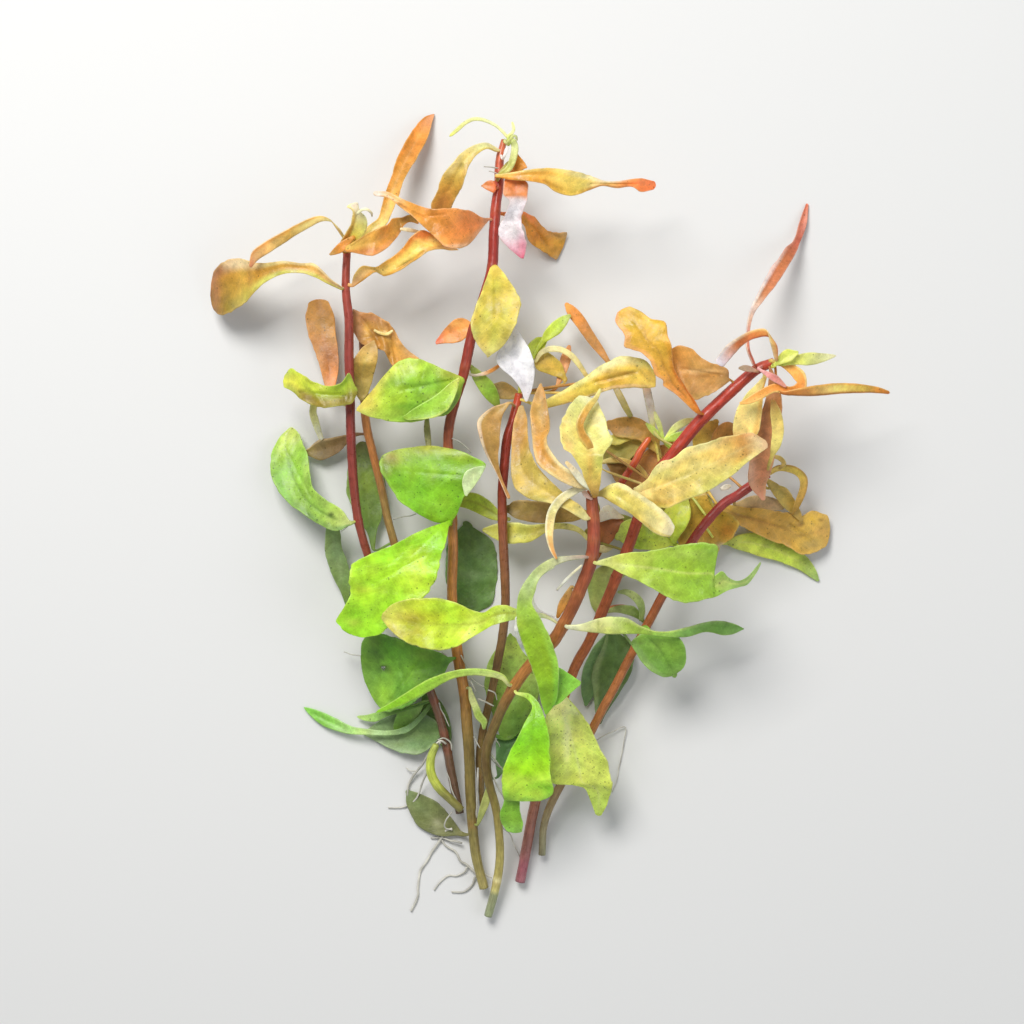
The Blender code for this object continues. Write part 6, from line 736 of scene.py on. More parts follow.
def blade_point(rows, lift, form, t, s):
    """Plan place and height at t along a blade and s across it, from -1 at the left edge to 1 at the right."""
    e = through(rows, t)
    up = np.interp(t, np.arange(len(lift)), lift)
    a = (1 - s) / 2
    u = e[..., 0] * a + e[..., 2] * (1 - a)
    v = e[..., 1] * a + e[..., 3] * (1 - a)
    half = np.hypot(e[..., 2] - e[..., 0], e[..., 3] - e[..., 1]) / 2 * UNIT_MM
    z = e[..., 4] + up + half * (form.get("cup", 0.0) * np.abs(s) ** 1.6 + form.get("roll", 0.0) * s)
    return u, v, z


def sheet_grid(rows, lift, form, along, across):
    t = np.linspace(0, len(rows) - 1, along + 1)[:, None] * np.ones(across + 1)
    s = np.linspace(-1, 1, across + 1)[None, :] * np.ones((along + 1, 1))
    return blade_point(rows, lift, form, t, s)


class HeightMap:
    """The top of everything laid so far, on a grid over the plan."""

    U0, V0, W, H = 190, 90, 720, 850

    def __init__(self):
        self.top = np.full((self.H, self.W), -1e3)

    def cells(self, tri):
        """Cells that a triangle (u, v, z) covers, grown a little, with its height in each."""
        u, v, z = tri[:, 0] - self.U0, tri[:, 1] - self.V0, tri[:, 2]
        grow = 1.0
        c0, c1 = int(max(u.min() - grow, 0)), int(min(u.max() + grow + 1, self.W - 1))
        r0, r1 = int(max(v.min() - grow, 0)), int(min(v.max() + grow + 1, self.H - 1))
        cu, cv = np.meshgrid(np.arange(c0, c1 + 1) + 0.5, np.arange(r0, r1 + 1) + 0.5)
        area = (u[1] - u[0]) * (v[2] - v[0]) - (u[2] - u[0]) * (v[1] - v[0])
        if abs(area) < 1e-6:
            return None
        inside = np.ones(cu.shape, bool)
        weight = []
        for i in range(3):
            j, k = (i + 1) % 3, (i + 2) % 3
            w = ((u[k] - u[j]) * (cv - v[j]) - (cu - u[j]) * (v[k] - v[j])) / area
            side = math.hypot(u[k] - u[j], v[k] - v[j]) / abs(area)
            inside &= w > -grow * side
            weight.append(np.clip(w, -0.2, 1.2))
        r, q = np.nonzero(inside)
        zz = sum(weight[i][r, q] * z[i] for i in range(3))
        return r + r0, q + c0, np.clip(zz, z.min(), z.max())

    def walk(self, u, v, z, half):
        x = np.stack([u, v, z], -1)
        for i in range(x.shape[0] - 1):
            for j in range(x.shape[1] - 1):
                for tri in ((x[i, j], x[i + 1, j], x[i + 1, j + 1]), (x[i, j], x[i + 1, j + 1], x[i, j + 1])):
                    tri = np.array(tri)
                    found = self.cells(tri)
                    if found is None:
                        continue
                    m = tri * (UNIT_MM, UNIT_MM, 1)
                    n = np.cross(m[1] - m[0], m[2] - m[0])
                    n = abs(n[2]) / max(np.linalg.norm(n), 1e-9)
                    yield i, *found, half[i] if half[i] > 0.5 else min(half[i] / max(n, 0.3), 1.0)

    def lay(self, grid_of, half, n_rows, free=0):
        """Raises rows until the sheet is clear of what lies under it, adds it, and returns the lift of each row."""
        lift = np.zeros(n_rows)
        spots = np.linspace(0, n_rows - 1, len(half))
        for turn in range(12):
            u, v, z = grid_of(lift)
            need = np.zeros(len(half))
            for i, r, q, zz, h in self.walk(u, v, z, half):
                if spots[i + 1] <= free:
                    continue
                floor = np.maximum(self.top[r, q] + CLEAR_MM, SKIN_MM)
                gap = (floor - (zz - h)).max() if len(r) else 0
                need[i] = max(need[i], gap)
                need[i + 1] = max(need[i + 1], gap)
            if need.max() < 0.02:
                break
            at = np.interp(np.arange(n_rows), spots, need)
            for k in range(n_rows):
                near = need[np.abs(spots - k) <= 1.0 + 1e-9]
                at[k] = max(at[k], near.max() if len(near) else 0)
            soft = at.copy()
            for k in range(n_rows):
                around = [at[m] * (1 - abs(m - k) / 3.0) for m in range(n_rows) if abs(m - k) < 3]
                soft[k] = max(soft[k], max(around))
            lift += soft
        u, v, z = grid_of(lift)
        for i, r, q, zz, h in self.walk(u, v, z, half):
            np.maximum.at(self.top, (r, q), zz + h)
        return lift, float(need.max())


# ---- small helpers ----------------------------------------------------------------


def seed_of(name):
    return sum(ord(ch) * (i * 31 + 7) for i, ch in enumerate(name)) % 99991


def noise(x, y, seed):
    """Smooth value noise from -1 to 1, one cell a unit."""
    x, y = np.broadcast_arrays(np.asarray(x, float), np.asarray(y, float))
    xi, yi = np.floor(x).astype(np.int64), np.floor(y).astype(np.int64)
    xf, yf = x - xi, y - yi
    sx, sy = xf * xf * (3 - 2 * xf), yf * yf * (3 - 2 * yf)

    def corner(a, b):
        n = (a * 374761393 + b * 668265263 + seed * 1442695041) & 0xFFFFFFFF
        n = ((n ^ (n >> 13)) * 1274126177) & 0xFFFFFFFF
        n = ((n ^ (n >> 15)) * 2246822519) & 0xFFFFFFFF
        return ((n ^ (n >> 16)) & 0xFFFF) / 32767.5 - 1.0

    a = corner(xi, yi) * (1 - sx) + corner(xi + 1, yi) * sx
    b = corner(xi, yi + 1) * (1 - sx) + corner(xi + 1, yi + 1) * sx
    return a * (1 - sy) + b * sy


def step(a, b, x):
    x = np.clip((x - a) / (b - a), 0, 1)
    return x * x * (3 - 2 * x)


def along_colours(stops, f):
    """Colours along a piece. stops are colours spread evenly, or (place, colour) pairs."""
    if not isinstance(stops[0][0], tuple):
        if len(stops) == 1:
            stops = [stops[0], stops[0]]
        if not isinstance(stops[0][1], tuple):
            stops = [(i / (len(stops) - 1), s) for i, s in enumerate(stops)]
    xs = [s[0] for s in stops]
    return np.stack([np.interp(f, xs, [s[1][k] for s in stops]) for k in range(3)], -1)


def lit(col, warm=True):
    """Lifts deep colours without greying them, and turns reddish ones a little to gold."""
    col = np.array(col, float)
    if warm:
        k = np.clip((col[..., 0] / np.maximum(col[..., 1], 1e-3) - 1.3) / 1.8, 0, 1)
        col[..., 1] *= 1 + 0.16 * k
        col[..., 2] *= 1 - 0.30 * k
    lum = np.clip(col @ np.array((0.2126, 0.7152, 0.0722)), 0.01, 1)
    k = np.minimum(lum ** (SOFTEN - 1), 0.93 / np.maximum(col.max(-1), 1e-3))
    return col * np.maximum(k, 1.0)[..., None]


def put(mesh, name, values):
    a = mesh.attributes.new(name, "FLOAT_VECTOR", "POINT")
    a.data.foreach_set("vector", np.ascontiguousarray(values, np.float32).ravel())


def build_mesh(name, verts, quads, tint, blade, grain, tris=None):
    mesh = bpy.data.meshes.new(name)
    quads = np.asarray(quads, np.int32).reshape(-1, 4)
    tris = np.zeros((0, 3), np.int32) if tris is None else np.asarray(tris, np.int32).reshape(-1, 3)
    mesh.vertices.add(len(verts))
    mesh.vertices.foreach_set("co", np.ascontiguousarray(verts, np.float32).ravel())
    mesh.loops.add(quads.size + tris.size)
    mesh.loops.foreach_set("vertex_index", np.concatenate([quads.ravel(), tris.ravel()]).astype(np.int32))
    mesh.polygons.add(len(quads) + len(tris))
    starts = np.concatenate([np.arange(len(quads)) * 4, quads.size + np.arange(len(tris)) * 3])
    mesh.polygons.foreach_set("loop_start", starts.astype(np.int32))
    mesh.update(calc_edges=True)
    mesh.validate()
    put(mesh, "tint", tint)
    put(mesh, "blade", blade)
    put(mesh, "grain", grain)
    mesh.shade_smooth()
    ob = bpy.data.objects.new(name, mesh)
    bpy.context.scene.collection.objects.link(ob)
    return ob


# ---- blades -------------------------------------------------------------------------


def perp(path):
    """Unit vectors to the left of a path's way in the plan."""
    d = np.gradient(path[:, :2], axis=0)
    n = np.maximum(np.hypot(d[:, 0], d[:, 1]), 1e-6)
    return np.stack([d[:, 1] / n, -d[:, 0] / n], -1)


def ribs_of(rows, lift, look, root):
    """The blade's cross ribs from petiole to tip: left u v, right u v, height, and place along the blade from 0 to 1."""
    t = np.linspace(0, len(rows) - 1, 30 * len(rows))
    e = through(rows, t)
    e[:, 4] += np.interp(t, np.arange(len(lift)), lift)
    mid = np.column_stack([(e[:, :2] + e[:, 2:4]) / 2 * UNIT_MM, e[:, 4]])
    d = np.concatenate([[0], np.cumsum(np.linalg.norm(np.diff(mid, axis=0), axis=1))])
    n = max(7, int(d[-1] / STEP_MM))
    at = np.interp(np.linspace(0, d[-1], n + 1), d, t)
    body = through(rows, at)
    body[:, 4] += np.interp(at, np.arange(len(lift)), lift)
    f = np.linspace(0, 1, n + 1)
    flat = np.zeros(n + 1)
    # the tip
    centre = (body[-1, :2] + body[-1, 2:4]) / 2
    before = (body[-3, :2] + body[-3, 2:4]) / 2
    way = centre - before
    way = way / max(np.hypot(*way), 1e-6)
    arm = body[-1, :2] - centre
    w = np.hypot(*arm)
    reach = w * look.get("tip", 1.0)
    slope = (body[-1, 4] - body[-3, 4]) / max(np.hypot(*(centre - before)), 1e-6)
    k = np.linspace(0, 1, max(4, int(reach * UNIT_MM / STEP_MM * 1.6) + 3))[1:]
    if look.get("sharp"):
        wide, far = (1 - k * 0.9) ** 0.9, k
    else:
        wide, far = np.cos(k * math.pi / 2 * 0.93), np.sin(k * math.pi / 2 * 0.93)
    cap = np.zeros((len(k), 5))
    for i in range(len(k)):
        p = centre + way * reach * far[i]
        cap[i, :2], cap[i, 2:4] = p + arm * wide[i], p - arm * wide[i]
        cap[i, 4] = body[-1, 4] + slope * reach * far[i]
    ribs = np.vstack([body, cap])
    f = np.concatenate([f, np.full(len(k), 1.0)])
    flat = np.zeros(len(f))
    # the petiole
    if root is not None:
        b = np.array([*(body[0, :2] + body[0, 2:4]) / 2, body[0, 4]])
        nxt = np.array([*(body[2, :2] + body[2, 2:4]) / 2, body[2, 4]])
        heading = (nxt - b) * (1, 1, 1 / UNIT_MM)
        heading = heading / max(np.linalg.norm(heading), 1e-6) * (1, 1, UNIT_MM)
        gap = (b - root) * (1, 1, 1 / UNIT_MM)
        size = np.linalg.norm(gap)
        if size > 0.8:
            p1 = root + (b - root) * 0.35
            p2 = b - heading * size * 0.35
            count = max(4, int(size * UNIT_MM / STEP_MM))
            s = np.linspace(0, 1, count + 1)[:-1, None]
            path = (1 - s) ** 3 * root + 3 * (1 - s) ** 2 * s * p1 + 3 * (1 - s) * s * s * p2 + s ** 3 * b
            full = np.vstack([path, b, nxt])
            left = perp(full)[:count]
            w0 = np.hypot(*(body[0, :2] - body[0, 2:4])) / 2
            stalk = look.get("stalk", 2.6) / 2
            half = (stalk + (w0 - stalk) * step(0.3, 1.15, s[:, 0]))[:, None]
            pet = np.column_stack([path[:, :2] + left * half, path[:, :2] - left * half, path[:, 2]])
            # the ribs turn gradually into the blade's first one
            own = (body[0, :2] - body[0, 2:4]) / 2
            turn = step(0.4, 1.0, s[:, 0])[:, None]
            arm0 = left * half * (1 - turn) + own / max(np.hypot(*own), 1e-6) * half * turn
            pet[:, :2], pet[:, 2:4] = path[:, :2] + arm0, path[:, :2] - arm0
            ribs = np.vstack([pet, ribs])
            f = np.concatenate([np.zeros(count), f])
            flat = np.concatenate([1 - step(0.5, 1.0, s[:, 0]), flat])
    return ribs, f, flat


def make_blade(name, rows, lift, form, look, root):
    seed = seed_of(name)
    ribs, f, flat = ribs_of(rows, lift, look, root)
    n = len(ribs)
    wide = np.hypot(ribs[:, 2] - ribs[:, 0], ribs[:, 3] - ribs[:, 1]) * UNIT_MM
    m = int(np.clip(round(wide.max() / STEP_MM / 2) * 2, 4, 44))
    s = np.linspace(-1, 1, m + 1)
    s = np.sign(s) * (np.abs(s) ** 0.92)
    S = np.ones((n, 1)) * s
    F = f[:, None] * np.ones(m + 1)
    mid = np.column_stack([(ribs[:, :2] + ribs[:, 2:4]) / 2 * UNIT_MM, ribs[:, 4]])
    run = np.concatenate([[0], np.cumsum(np.linalg.norm(np.diff(mid, axis=0), axis=1))])
    R = run[:, None] * np.ones(m + 1)
    half = wide[:, None] / 2
    # the outline's small unevenness
    body = step(0.02, 0.2, F) * (1 - 0.5 * step(0.85, 1.0, F)) * (1 - flat[:, None])
    uneven = look.get("uneven", 0.05)
    grow = 1 + uneven * body * np.where(S > 0, noise(R / 4.2, 3.3, seed), noise(R / 4.2, 9.1, seed)) \
        + 0.55 * uneven * body * np.where(S > 0, noise(R / 1.1, 5.3, seed), noise(R / 1.1, 7.1, seed))
    a = (1 - S * grow) / 2
    u = ribs[:, 0][:, None] * a + ribs[:, 2][:, None] * (1 - a)
    v = ribs[:, 1][:, None] * a + ribs[:, 3][:, None] * (1 - a)
    cup, roll = form.get("cup", 0.0), form.get("roll", 0.0)
    bend = half * (cup * np.abs(S) ** 1.6 + roll * S)
    # waves that grow towards the edges, and a loose twist
    wave = look.get("wave", 0.34)
    long = look.get("period", 7.5)
    ph = seed % 7
    ruffle = np.where(S > 0, np.sin(R / long * 6.28 + ph) + 0.6 * noise(R / 3.1, 1.7, seed),
                      np.sin(R / long * 5.4 + ph * 2.1) + 0.6 * noise(R / 3.3, 4.7, seed))
    swell = np.clip(half / 3.0, 0.15, 1.0) * body
    z = ribs[:, 4][:, None] + bend + wave * swell * np.abs(S) ** 2.2 * ruffle
    z = z + 0.20 * swell * noise(R / 5.0, S * half / 3.0, seed + 5) + 0.07 * swell * noise(R / 1.9, S * half / 1.5, seed + 6)
    # folds: creases pressed in along short lines of the plan, and a mask of those pressed down, where shade is painted
    # into the colour
    crease_shade_mask = np.zeros(S.shape)
    for u0, v0, u1, v1, broad, deep in look.get("folds", ()):
        du1, dv1 = u1 - u0, v1 - v0
        k = np.clip(((u - u0) * du1 + (v - v0) * dv1) / (du1 ** 2 + dv1 ** 2), 0, 1)
        gap = np.hypot(u - u0 - k * du1, v - v0 - k * dv1)
        hit = np.exp(-(gap / broad) ** 2)
        z = z - deep * hit
        crease_shade_mask = np.maximum(crease_shade_mask, hit * min(abs(deep), 1.0) * (1 if deep > 0 else 0))
    P = to_space(u, v, z) * 1000.0
    du, dv = np.gradient(P, axis=0), np.gradient(P, axis=1)
    N = np.cross(du, dv)
    N /= np.maximum(np.linalg.norm(N, axis=-1, keepdims=True), 1e-9)
    flip = N[..., 2].mean() < 0
    if flip:
        N = -N
    across = S * half
    # relief: the sunk midrib with its keel below, side veins that run out and forward, fine puckers
    rib = np.exp(-(across / (0.28 + 0.25 * (1 - F))) ** 2) * (1 - 0.75 * F) * np.clip(half / 1.0, 0.2, 1.0)
    span = look.get("veins", 2.3)
    side = (R - np.abs(across) * 0.85) / span + np.where(S > 0, 0.0, 0.37) + 0.12 * noise(R / 2, across / 2, seed + 2)
    line = np.exp(-((side - np.round(side)) * span / 0.32) ** 2) * np.clip(np.abs(across) / 0.6, 0, 1) * (1 - np.abs(S) ** 3)
    pucker = noise(R / 0.9, across / 0.9, seed + 3)
    deep = look.get("relief", 1.0) * body * np.clip(half / 2.0, 0.1, 1.0)
    top = deep * (-0.10 * rib - 0.045 * line + 0.03 * pucker)
    thick = look.get("thick", BLADE_MM) * (1 - 0.45 * np.abs(S) ** 4)
    petiole = np.minimum(wide[:, None] * 0.42, 0.42) * np.sqrt(np.clip(1 - S * S, 0, 1)) * np.maximum(flat[:, None], 0.75 * (1 - step(0.0, 0.22, F)))
    over = thick / 2 + petiole * 0.5 + top
    under = thick / 2 + petiole * 0.5 + deep * (0.22 * rib + 0.03 * line)
    upper, lower = P + N * over[..., None], P - N * under[..., None]
    lower[..., 2] = np.maximum(lower[..., 2], 0.02)
    upper[..., 2] = np.maximum(upper[..., 2], 0.02 + thick * 0.6)
    verts = np.concatenate([upper.reshape(-1, 3), lower.reshape(-1, 3)]) * 0.001
    gone = np.zeros((n - 1, m), bool)
    for hu, hv, hr in look.get("holes", ()):
        cu = (u[:-1, :-1] + u[1:, 1:]) / 2
        cv = (v[:-1, :-1] + v[1:, 1:]) / 2
        gone |= (cu - hu) ** 2 + (cv - hv) ** 2 < hr * hr
    i, j = np.meshgrid(np.arange(n - 1), np.arange(m), indexing="ij")
    keep = ~gone
    w = m + 1
    q = np.stack([i * w + j, (i + 1) * w + j, (i + 1) * w + j + 1, i * w + j + 1], -1)
    topq = q[keep]
    off = n * w
    lowq = topq[:, ::-1] + off
    # rim faces along every border of the kept cells
    pad = np.zeros((n + 1, m + 2), bool)
    pad[1:-1, 1:-1] = keep
    rim = []
    for di, dj, x0, x1 in ((0, -1, (0, 0), (1, 0)), (0, 1, (1, 1), (0, 1)), (-1, 0, (0, 1), (0, 0)), (1, 0, (1, 0), (1, 1))):
        near = pad[1 + di:n + di, 1 + dj:m + 1 + dj]
        ii, jj = np.nonzero(keep & ~near)
        aa = (ii + x0[0]) * w + jj + x0[1]
        bb = (ii + x1[0]) * w + jj + x1[1]
        rim.append(np.stack([bb, aa, aa + off, bb + off], -1))
    quads = np.concatenate([topq, lowq, *rim])
    # the faces turn outward
    a0, b0, c0 = verts[topq[:, 0]], verts[topq[:, 1]], verts[topq[:, 2]]
    facing = (np.cross(b0 - a0, c0 - a0) * (N[:-1, :-1][keep])).sum()
    if facing < 0:
        quads = quads[:, ::-1]
    # colours
    col = along_colours(look["cols"], F)
    if "edge" in look:
        col_e = along_colours(look["edge"], F)
        k = step(look.get("edge_at", 0.25), 1.0, np.abs(S))[..., None]
        col = col * (1 - k) + col_e * k
    for key, sign in (("left", -1), ("right", 1)):
        if key in look:
            col_e = along_colours(look[key], F)
            k = step(look.get(key + "_at", 0.05), look.get(key + "_to", 0.8), S * sign)[..., None]
            col = col * (1 - k) + col_e * k
    rng = noise(R / 5.5, across / 3.5, seed + 11), noise(R / 1.6, across / 1.3, seed + 12)
    blend = look.get("mottle", 1.0)
    warm = look["slot"] not in ("leaf_pink", "leaf_white")
    col = lit(col, warm)
    broken = noise(R / 2.4, across / 1.7, seed + 21)
    col = col * (1 + blend * (0.09 * rng[0] + 0.06 * rng[1] + 0.05 * broken))[..., None]
    # warmer and cooler patches
    col[..., 0] *= 1 + 0.07 * blend * noise(R / 3.7, across / 2.6, seed + 22)
    col[..., 2] *= 1 - 0.12 * blend * noise(R / 3.7, across / 2.6, seed + 23)
    for du0, dv0, ru, rv, cc, amount in look.get("dabs", ()):
        k = np.exp(-(((u - du0) / ru) ** 2 + ((v - dv0) / rv) ** 2) * (1 + 0.5 * rng[1] + 0.5 * rng[0])) * amount
        col = col * (1 - k[..., None]) + lit(cc, warm) * k[..., None]
    # painted shade: the colour is darkened along the creases pressed down
    col = col * (1 - 0.38 * crease_shade_mask)[..., None]
    # painted highlight: each blade's margin is lightened where light catches the thin edge
    rim_highlight_colour = np.array(look.get("rim", None) or np.clip(col.mean((0, 1)) * 1.25 + 0.10, 0, 0.92))
    k = (step(0.90, 1.0, np.abs(S)) * look.get("rim_highlight_k", 0.45) * (1 - flat[:, None]))[..., None]
    col = col * (1 - k) + rim_highlight_colour * k
    mid_c = look.get("mid")
    if mid_c is None:
        mid_c = np.clip(col * 1.12 + 0.03, 0, 0.95)
    k = (np.exp(-(across / 0.34) ** 2) * look.get("mid_k", 0.35) * (1 - 0.7 * F) * body)[..., None]
    col = col * (1 - k) + np.array(mid_c) * k
    below = look.get("under")
    low = col * (1 - 0.55) + np.array(below) * 0.55 if below else np.clip(col * 0.9 + 0.03, 0, 1)
    spots = np.full(S.shape, float(look.get("specks", 0.12)))
    for du0, dv0, ru, rv, cc, amount in look.get("speck_dabs", ()):
        spots = np.maximum(spots, amount * np.exp(-(((u - du0) / ru) ** 2 + ((v - dv0) / rv) ** 2)))
    blade = np.stack([R, across, np.abs(S)], -1)
    veins = np.full(S.shape, look.get("vein_k", 1.0)) * body
    g_top = np.stack([spots, veins, np.zeros(S.shape)], -1)
    g_low = np.stack([spots * 0.5, veins, np.ones(S.shape)], -1)
    flatten = lambda p, q0: np.concatenate([p.reshape(-1, 3), q0.reshape(-1, 3)])
    ob = build_mesh(name, verts, quads, flatten(np.clip(col, 0, 1), np.clip(low, 0, 1)), flatten(blade, blade), flatten(g_top, g_low))
    return ob


# ---- stems and roots --------------------------------------------------------------------


def tube_frames(p):
    t = np.gradient(p, axis=0)
    t /= np.maximum(np.linalg.norm(t, axis=1, keepdims=True), 1e-9)
    a = np.cross(t[0], (0.0, 0.0, 1.0))
    a = a / max(np.linalg.norm(a), 1e-9)
    out = []
    for k in range(len(p)):
        a = a - t[k] * a.dot(t[k])
        a = a / max(np.linalg.norm(a), 1e-9)
        out.append((a.copy(), np.cross(t[k], a)))
    return t, np.array([o[0] for o in out]), np.array([o[1] for o in out])


def tube(p, radius, sides, wobble=None):
    """A closed tube's vertices and faces around points p in millimetres."""
    t, a, b = tube_frames(p)
    th = np.linspace(0, 2 * math.pi, sides, endpoint=False)
    r = radius[:, None] * (1 + (0 if wobble is None else wobble))
    ring = p[:, None] + a[:, None] * (r * np.cos(th))[..., None] + b[:, None] * (r * np.sin(th))[..., None]
    n = len(p)
    verts = ring.reshape(-1, 3)
    i, j = np.meshgrid(np.arange(n - 1), np.arange(sides), indexing="ij")
    k = (j + 1) % sides
    quads = np.stack([i * sides + j, i * sides + k, (i + 1) * sides + k, (i + 1) * sides + j], -1).reshape(-1, 4)
    return verts, quads, th


def ends(verts, quads, sides, p, t, rings=3, dome=(0.0, 0.0), radius=None):
    """Closes a tube with a few inner rings and a middle point at both ends."""
    extra, more, tris = [], [], []
    count = len(verts)
    n = len(p)
    for end in (0, 1):
        base = 0 if end == 0 else (n - 1) * sides
        centre = p[0] if end == 0 else p[-1]
        out = -t[0] if end == 0 else t[-1]
        last = np.arange(base, base + sides)
        outer = verts[base:base + sides]
        for k in range(1, rings + 1):
            share = 1 - k / (rings + 1)
            lift = dome[end] * (1 - share ** 2)
            ring = centre + (outer - centre) * share + out * lift
            ids = np.arange(count, count + sides)
            count += sides
            extra.append(ring)
            nxt = np.roll(np.arange(sides), -1)
            if end == 0:
                more.append(np.stack([last, ids, ids[nxt], last[nxt]], -1))
            else:
                more.append(np.stack([last, last[nxt], ids[nxt], ids], -1))
            last = ids
        extra.append((centre + out * dome[end])[None])
        nxt = np.roll(np.arange(sides), -1)
        mid = np.full(sides, count)
        tris.append(np.stack([last, mid, last[nxt]], -1) if end == 0 else np.stack([last, last[nxt], mid], -1))
        count += 1
    return np.concatenate([verts, *extra]), np.concatenate([quads, *more]), np.concatenate(tris)


def make_stem(name, stations, lift, look, joints):
    seed = seed_of(name)
    t = np.linspace(0, len(stations) - 1, 40 * len(stations))
    way = through(stations, t)
    way[:, 2] += np.interp(t, np.arange(len(lift)), lift)
    p = to_space(way[:, 0], way[:, 1], way[:, 2]) * 1000
    d = np.concatenate([[0], np.cumsum(np.linalg.norm(np.diff(p, axis=0), axis=1))])
    count = int(d[-1] / 0.42)
    at = np.linspace(0, d[-1], count + 1)
    p = np.stack([np.interp(at, d, p[:, k]) for k in range(3)], -1)
    r = np.interp(at, d, way[:, 3]) / 2 * UNIT_MM
    plan_v = np.interp(at, d, way[:, 1])
    knots = sorted(joints)
    for x in look.get("nodes", ()):
        knots.append(float(np.interp(0, [0], [0])) + float(at[np.argmin(np.abs(plan_v - x))]))
    swell = np.zeros(len(at))
    ring = np.zeros(len(at))
    for x in knots:
        swell = np.maximum(swell, np.exp(-((at - x) / 1.1) ** 2))
        ring = np.maximum(ring, np.exp(-((at - x) / 0.35) ** 2))
    r = r * (1 + look.get("swell", 0.05) * swell + 0.03 * noise(at / 3.0, 0.5, seed) + 0.015 * noise(at / 0.8, 0.5, seed + 1))
    # small sideways shifts, so the stem isn't ruled
    fade = step(0, 4, at) * step(0, 4, at[-1] - at)
    p[:, 0] += 0.10 * noise(at / 6.0, 1.5, seed + 2) * fade
    p[:, 2] += 0.10 * noise(at / 6.0, 2.5, seed + 3) * fade
    sides = 22
    th = np.linspace(0, 2 * math.pi, sides, endpoint=False)
    A, TH = at[:, None] * np.ones(sides), np.ones((len(at), 1)) * th
    edge4 = 0.045 * np.cos(4 * (TH + at[:, None] * 0.01)) * (1 - 0.6 * swell[:, None])
    groove = 0.022 * np.cos(11 * TH + 0.6 * noise(A / 9.0, TH * 1.5, seed + 4) * 3)
    pits = 0.02 * noise(A / 0.9, np.cos(TH) * 2.2 + 7, seed + 6)
    verts, quads, th = tube(p, r, sides, edge4 + groove + pits + 0.012 * ring[:, None])
    tt, _, _ = tube_frames(p)
    n0 = len(verts)
    verts, quads, tris = ends(verts, quads, sides, p, tt, 3, look.get("dome", (0.25, 0.12)))
    verts[:, 2] = np.maximum(verts[:, 2], 0.02)
    fr = at / at[-1]
    col = along_colours(look["cols"], fr) * 0.92
    streak = 1 + 0.12 * noise(A / 7.0, TH * 2.2, seed + 7) + 0.07 * noise(A / 1.4, TH * 3.0, seed + 8)
    base = col[:, None, :] * streak[..., None]
    dark = np.array(look.get("dark", (0.10, 0.02, 0.01)))
    k = (0.45 * np.clip(noise(A / 4.0, TH * 1.1 + 3, seed + 9), 0, 1) * look.get("stain", 0.6))[..., None]
    base = base * (1 - k) + dark * k
    knot = np.array(look.get("knot", c(205, 110, 50)))
    k = (swell[:, None] * look.get("knot_k", 0.14) * np.ones(sides))[..., None]
    base = base * (1 - k) + knot * k
    base = base * (1 - 0.10 * ring[:, None, None])
    for du0, dv0, ru, rv, cc, amount in look.get("dabs", ()):
        pu = np.interp(at, d, way[:, 0])
        k = np.exp(-((pu - du0) / ru) ** 2 - ((plan_v - dv0) / rv) ** 2) * amount
        base = base * (1 - k[:, None, None]) + np.array(cc) * k[:, None, None]
    tint = base.reshape(-1, 3)
    cap = len(verts) - n0
    inner = np.array(look.get("cut", c(190, 185, 130)))
    caps = np.ones((cap, 3)) * inner
    half = cap // 2
    first = np.array(look.get("top_cut", look["cols"][0] if not isinstance(look["cols"][0][1], tuple) else look["cols"][0][1]))
    caps[:half] = first
    shade = np.linspace(0.7, 1.0, half)[:, None]
    caps[:half] *= shade
    caps[half:] *= shade
    tint = np.clip(np.concatenate([tint, caps]), 0, 1)
    blade = np.zeros((len(verts), 3))
    blade[:n0, 0], blade[:n0, 1] = A.ravel(), TH.ravel()
    grain = np.zeros((len(verts), 3))
    grain[:, 0] = look.get("specks", 0.25)
    return build_mesh(name, verts * 0.001, quads, tint, blade, grain, tris)


def make_roots(name, lines, colour):
    """All the loose roots as one mesh of thin tubes. A line is (points (u, v, z), width at its start, width at its end)."""
    V, Q, T, C = [], [], [], []
    base = 0
    for k, (points, w0, w1) in enumerate(lines):
        pts = np.array(points, float)
        t = np.linspace(0, len(pts) - 1, 16 * len(pts))
        way = through(pts, t)
        p = to_space(way[:, 0], way[:, 1], way[:, 2]) * 1000
        d = np.concatenate([[0], np.cumsum(np.linalg.norm(np.diff(p, axis=0), axis=1))])
        count = max(8, int(d[-1] / 0.4))
        at = np.linspace(0, d[-1], count + 1)
        p = np.stack([np.interp(at, d, p[:, i]) for i in range(3)], -1)
        p[:, 0] += 0.12 * noise(at / 1.7, 0.5, 50 + k)
        p[:, 1] += 0.12 * noise(at / 1.7, 0.5, 90 + k)
        r = np.linspace(w0, w1, count + 1) / 2 * UNIT_MM * (1 + 0.15 * noise(at / 1.2, 0.5, 130 + k))
        p[:, 2] = np.maximum(p[:, 2] + 0.10 * noise(at / 2.5, 0.5, 170 + k), r + 0.03)
        verts, quads, _ = tube(p, r, 7)
        tt, _, _ = tube_frames(p)
        verts, quads, tris = ends(verts, quads, 7, p, tt, 1, (r[0] * 0.4, r[-1] * 0.4))
        V.append(verts)
        Q.append(quads + base)
        T.append(tris + base)
        shade = 1 + 0.18 * noise(verts[:, 0] / 2.0, verts[:, 1] / 2.0, 7 + k)
        C.append(np.array(colour)[None] * shade[:, None] * (0.85 + 0.3 * ((k * 37) % 10) / 10))
        base += len(verts)
    verts = np.concatenate(V) * 0.001
    count = len(verts)
    return build_mesh(name, verts, np.concatenate(Q), np.clip(np.concatenate(C), 0, 1), np.zeros((count, 3)), np.zeros((count, 3)), np.concatenate(T))


# ---- materials ----------------------------------------------------------------------


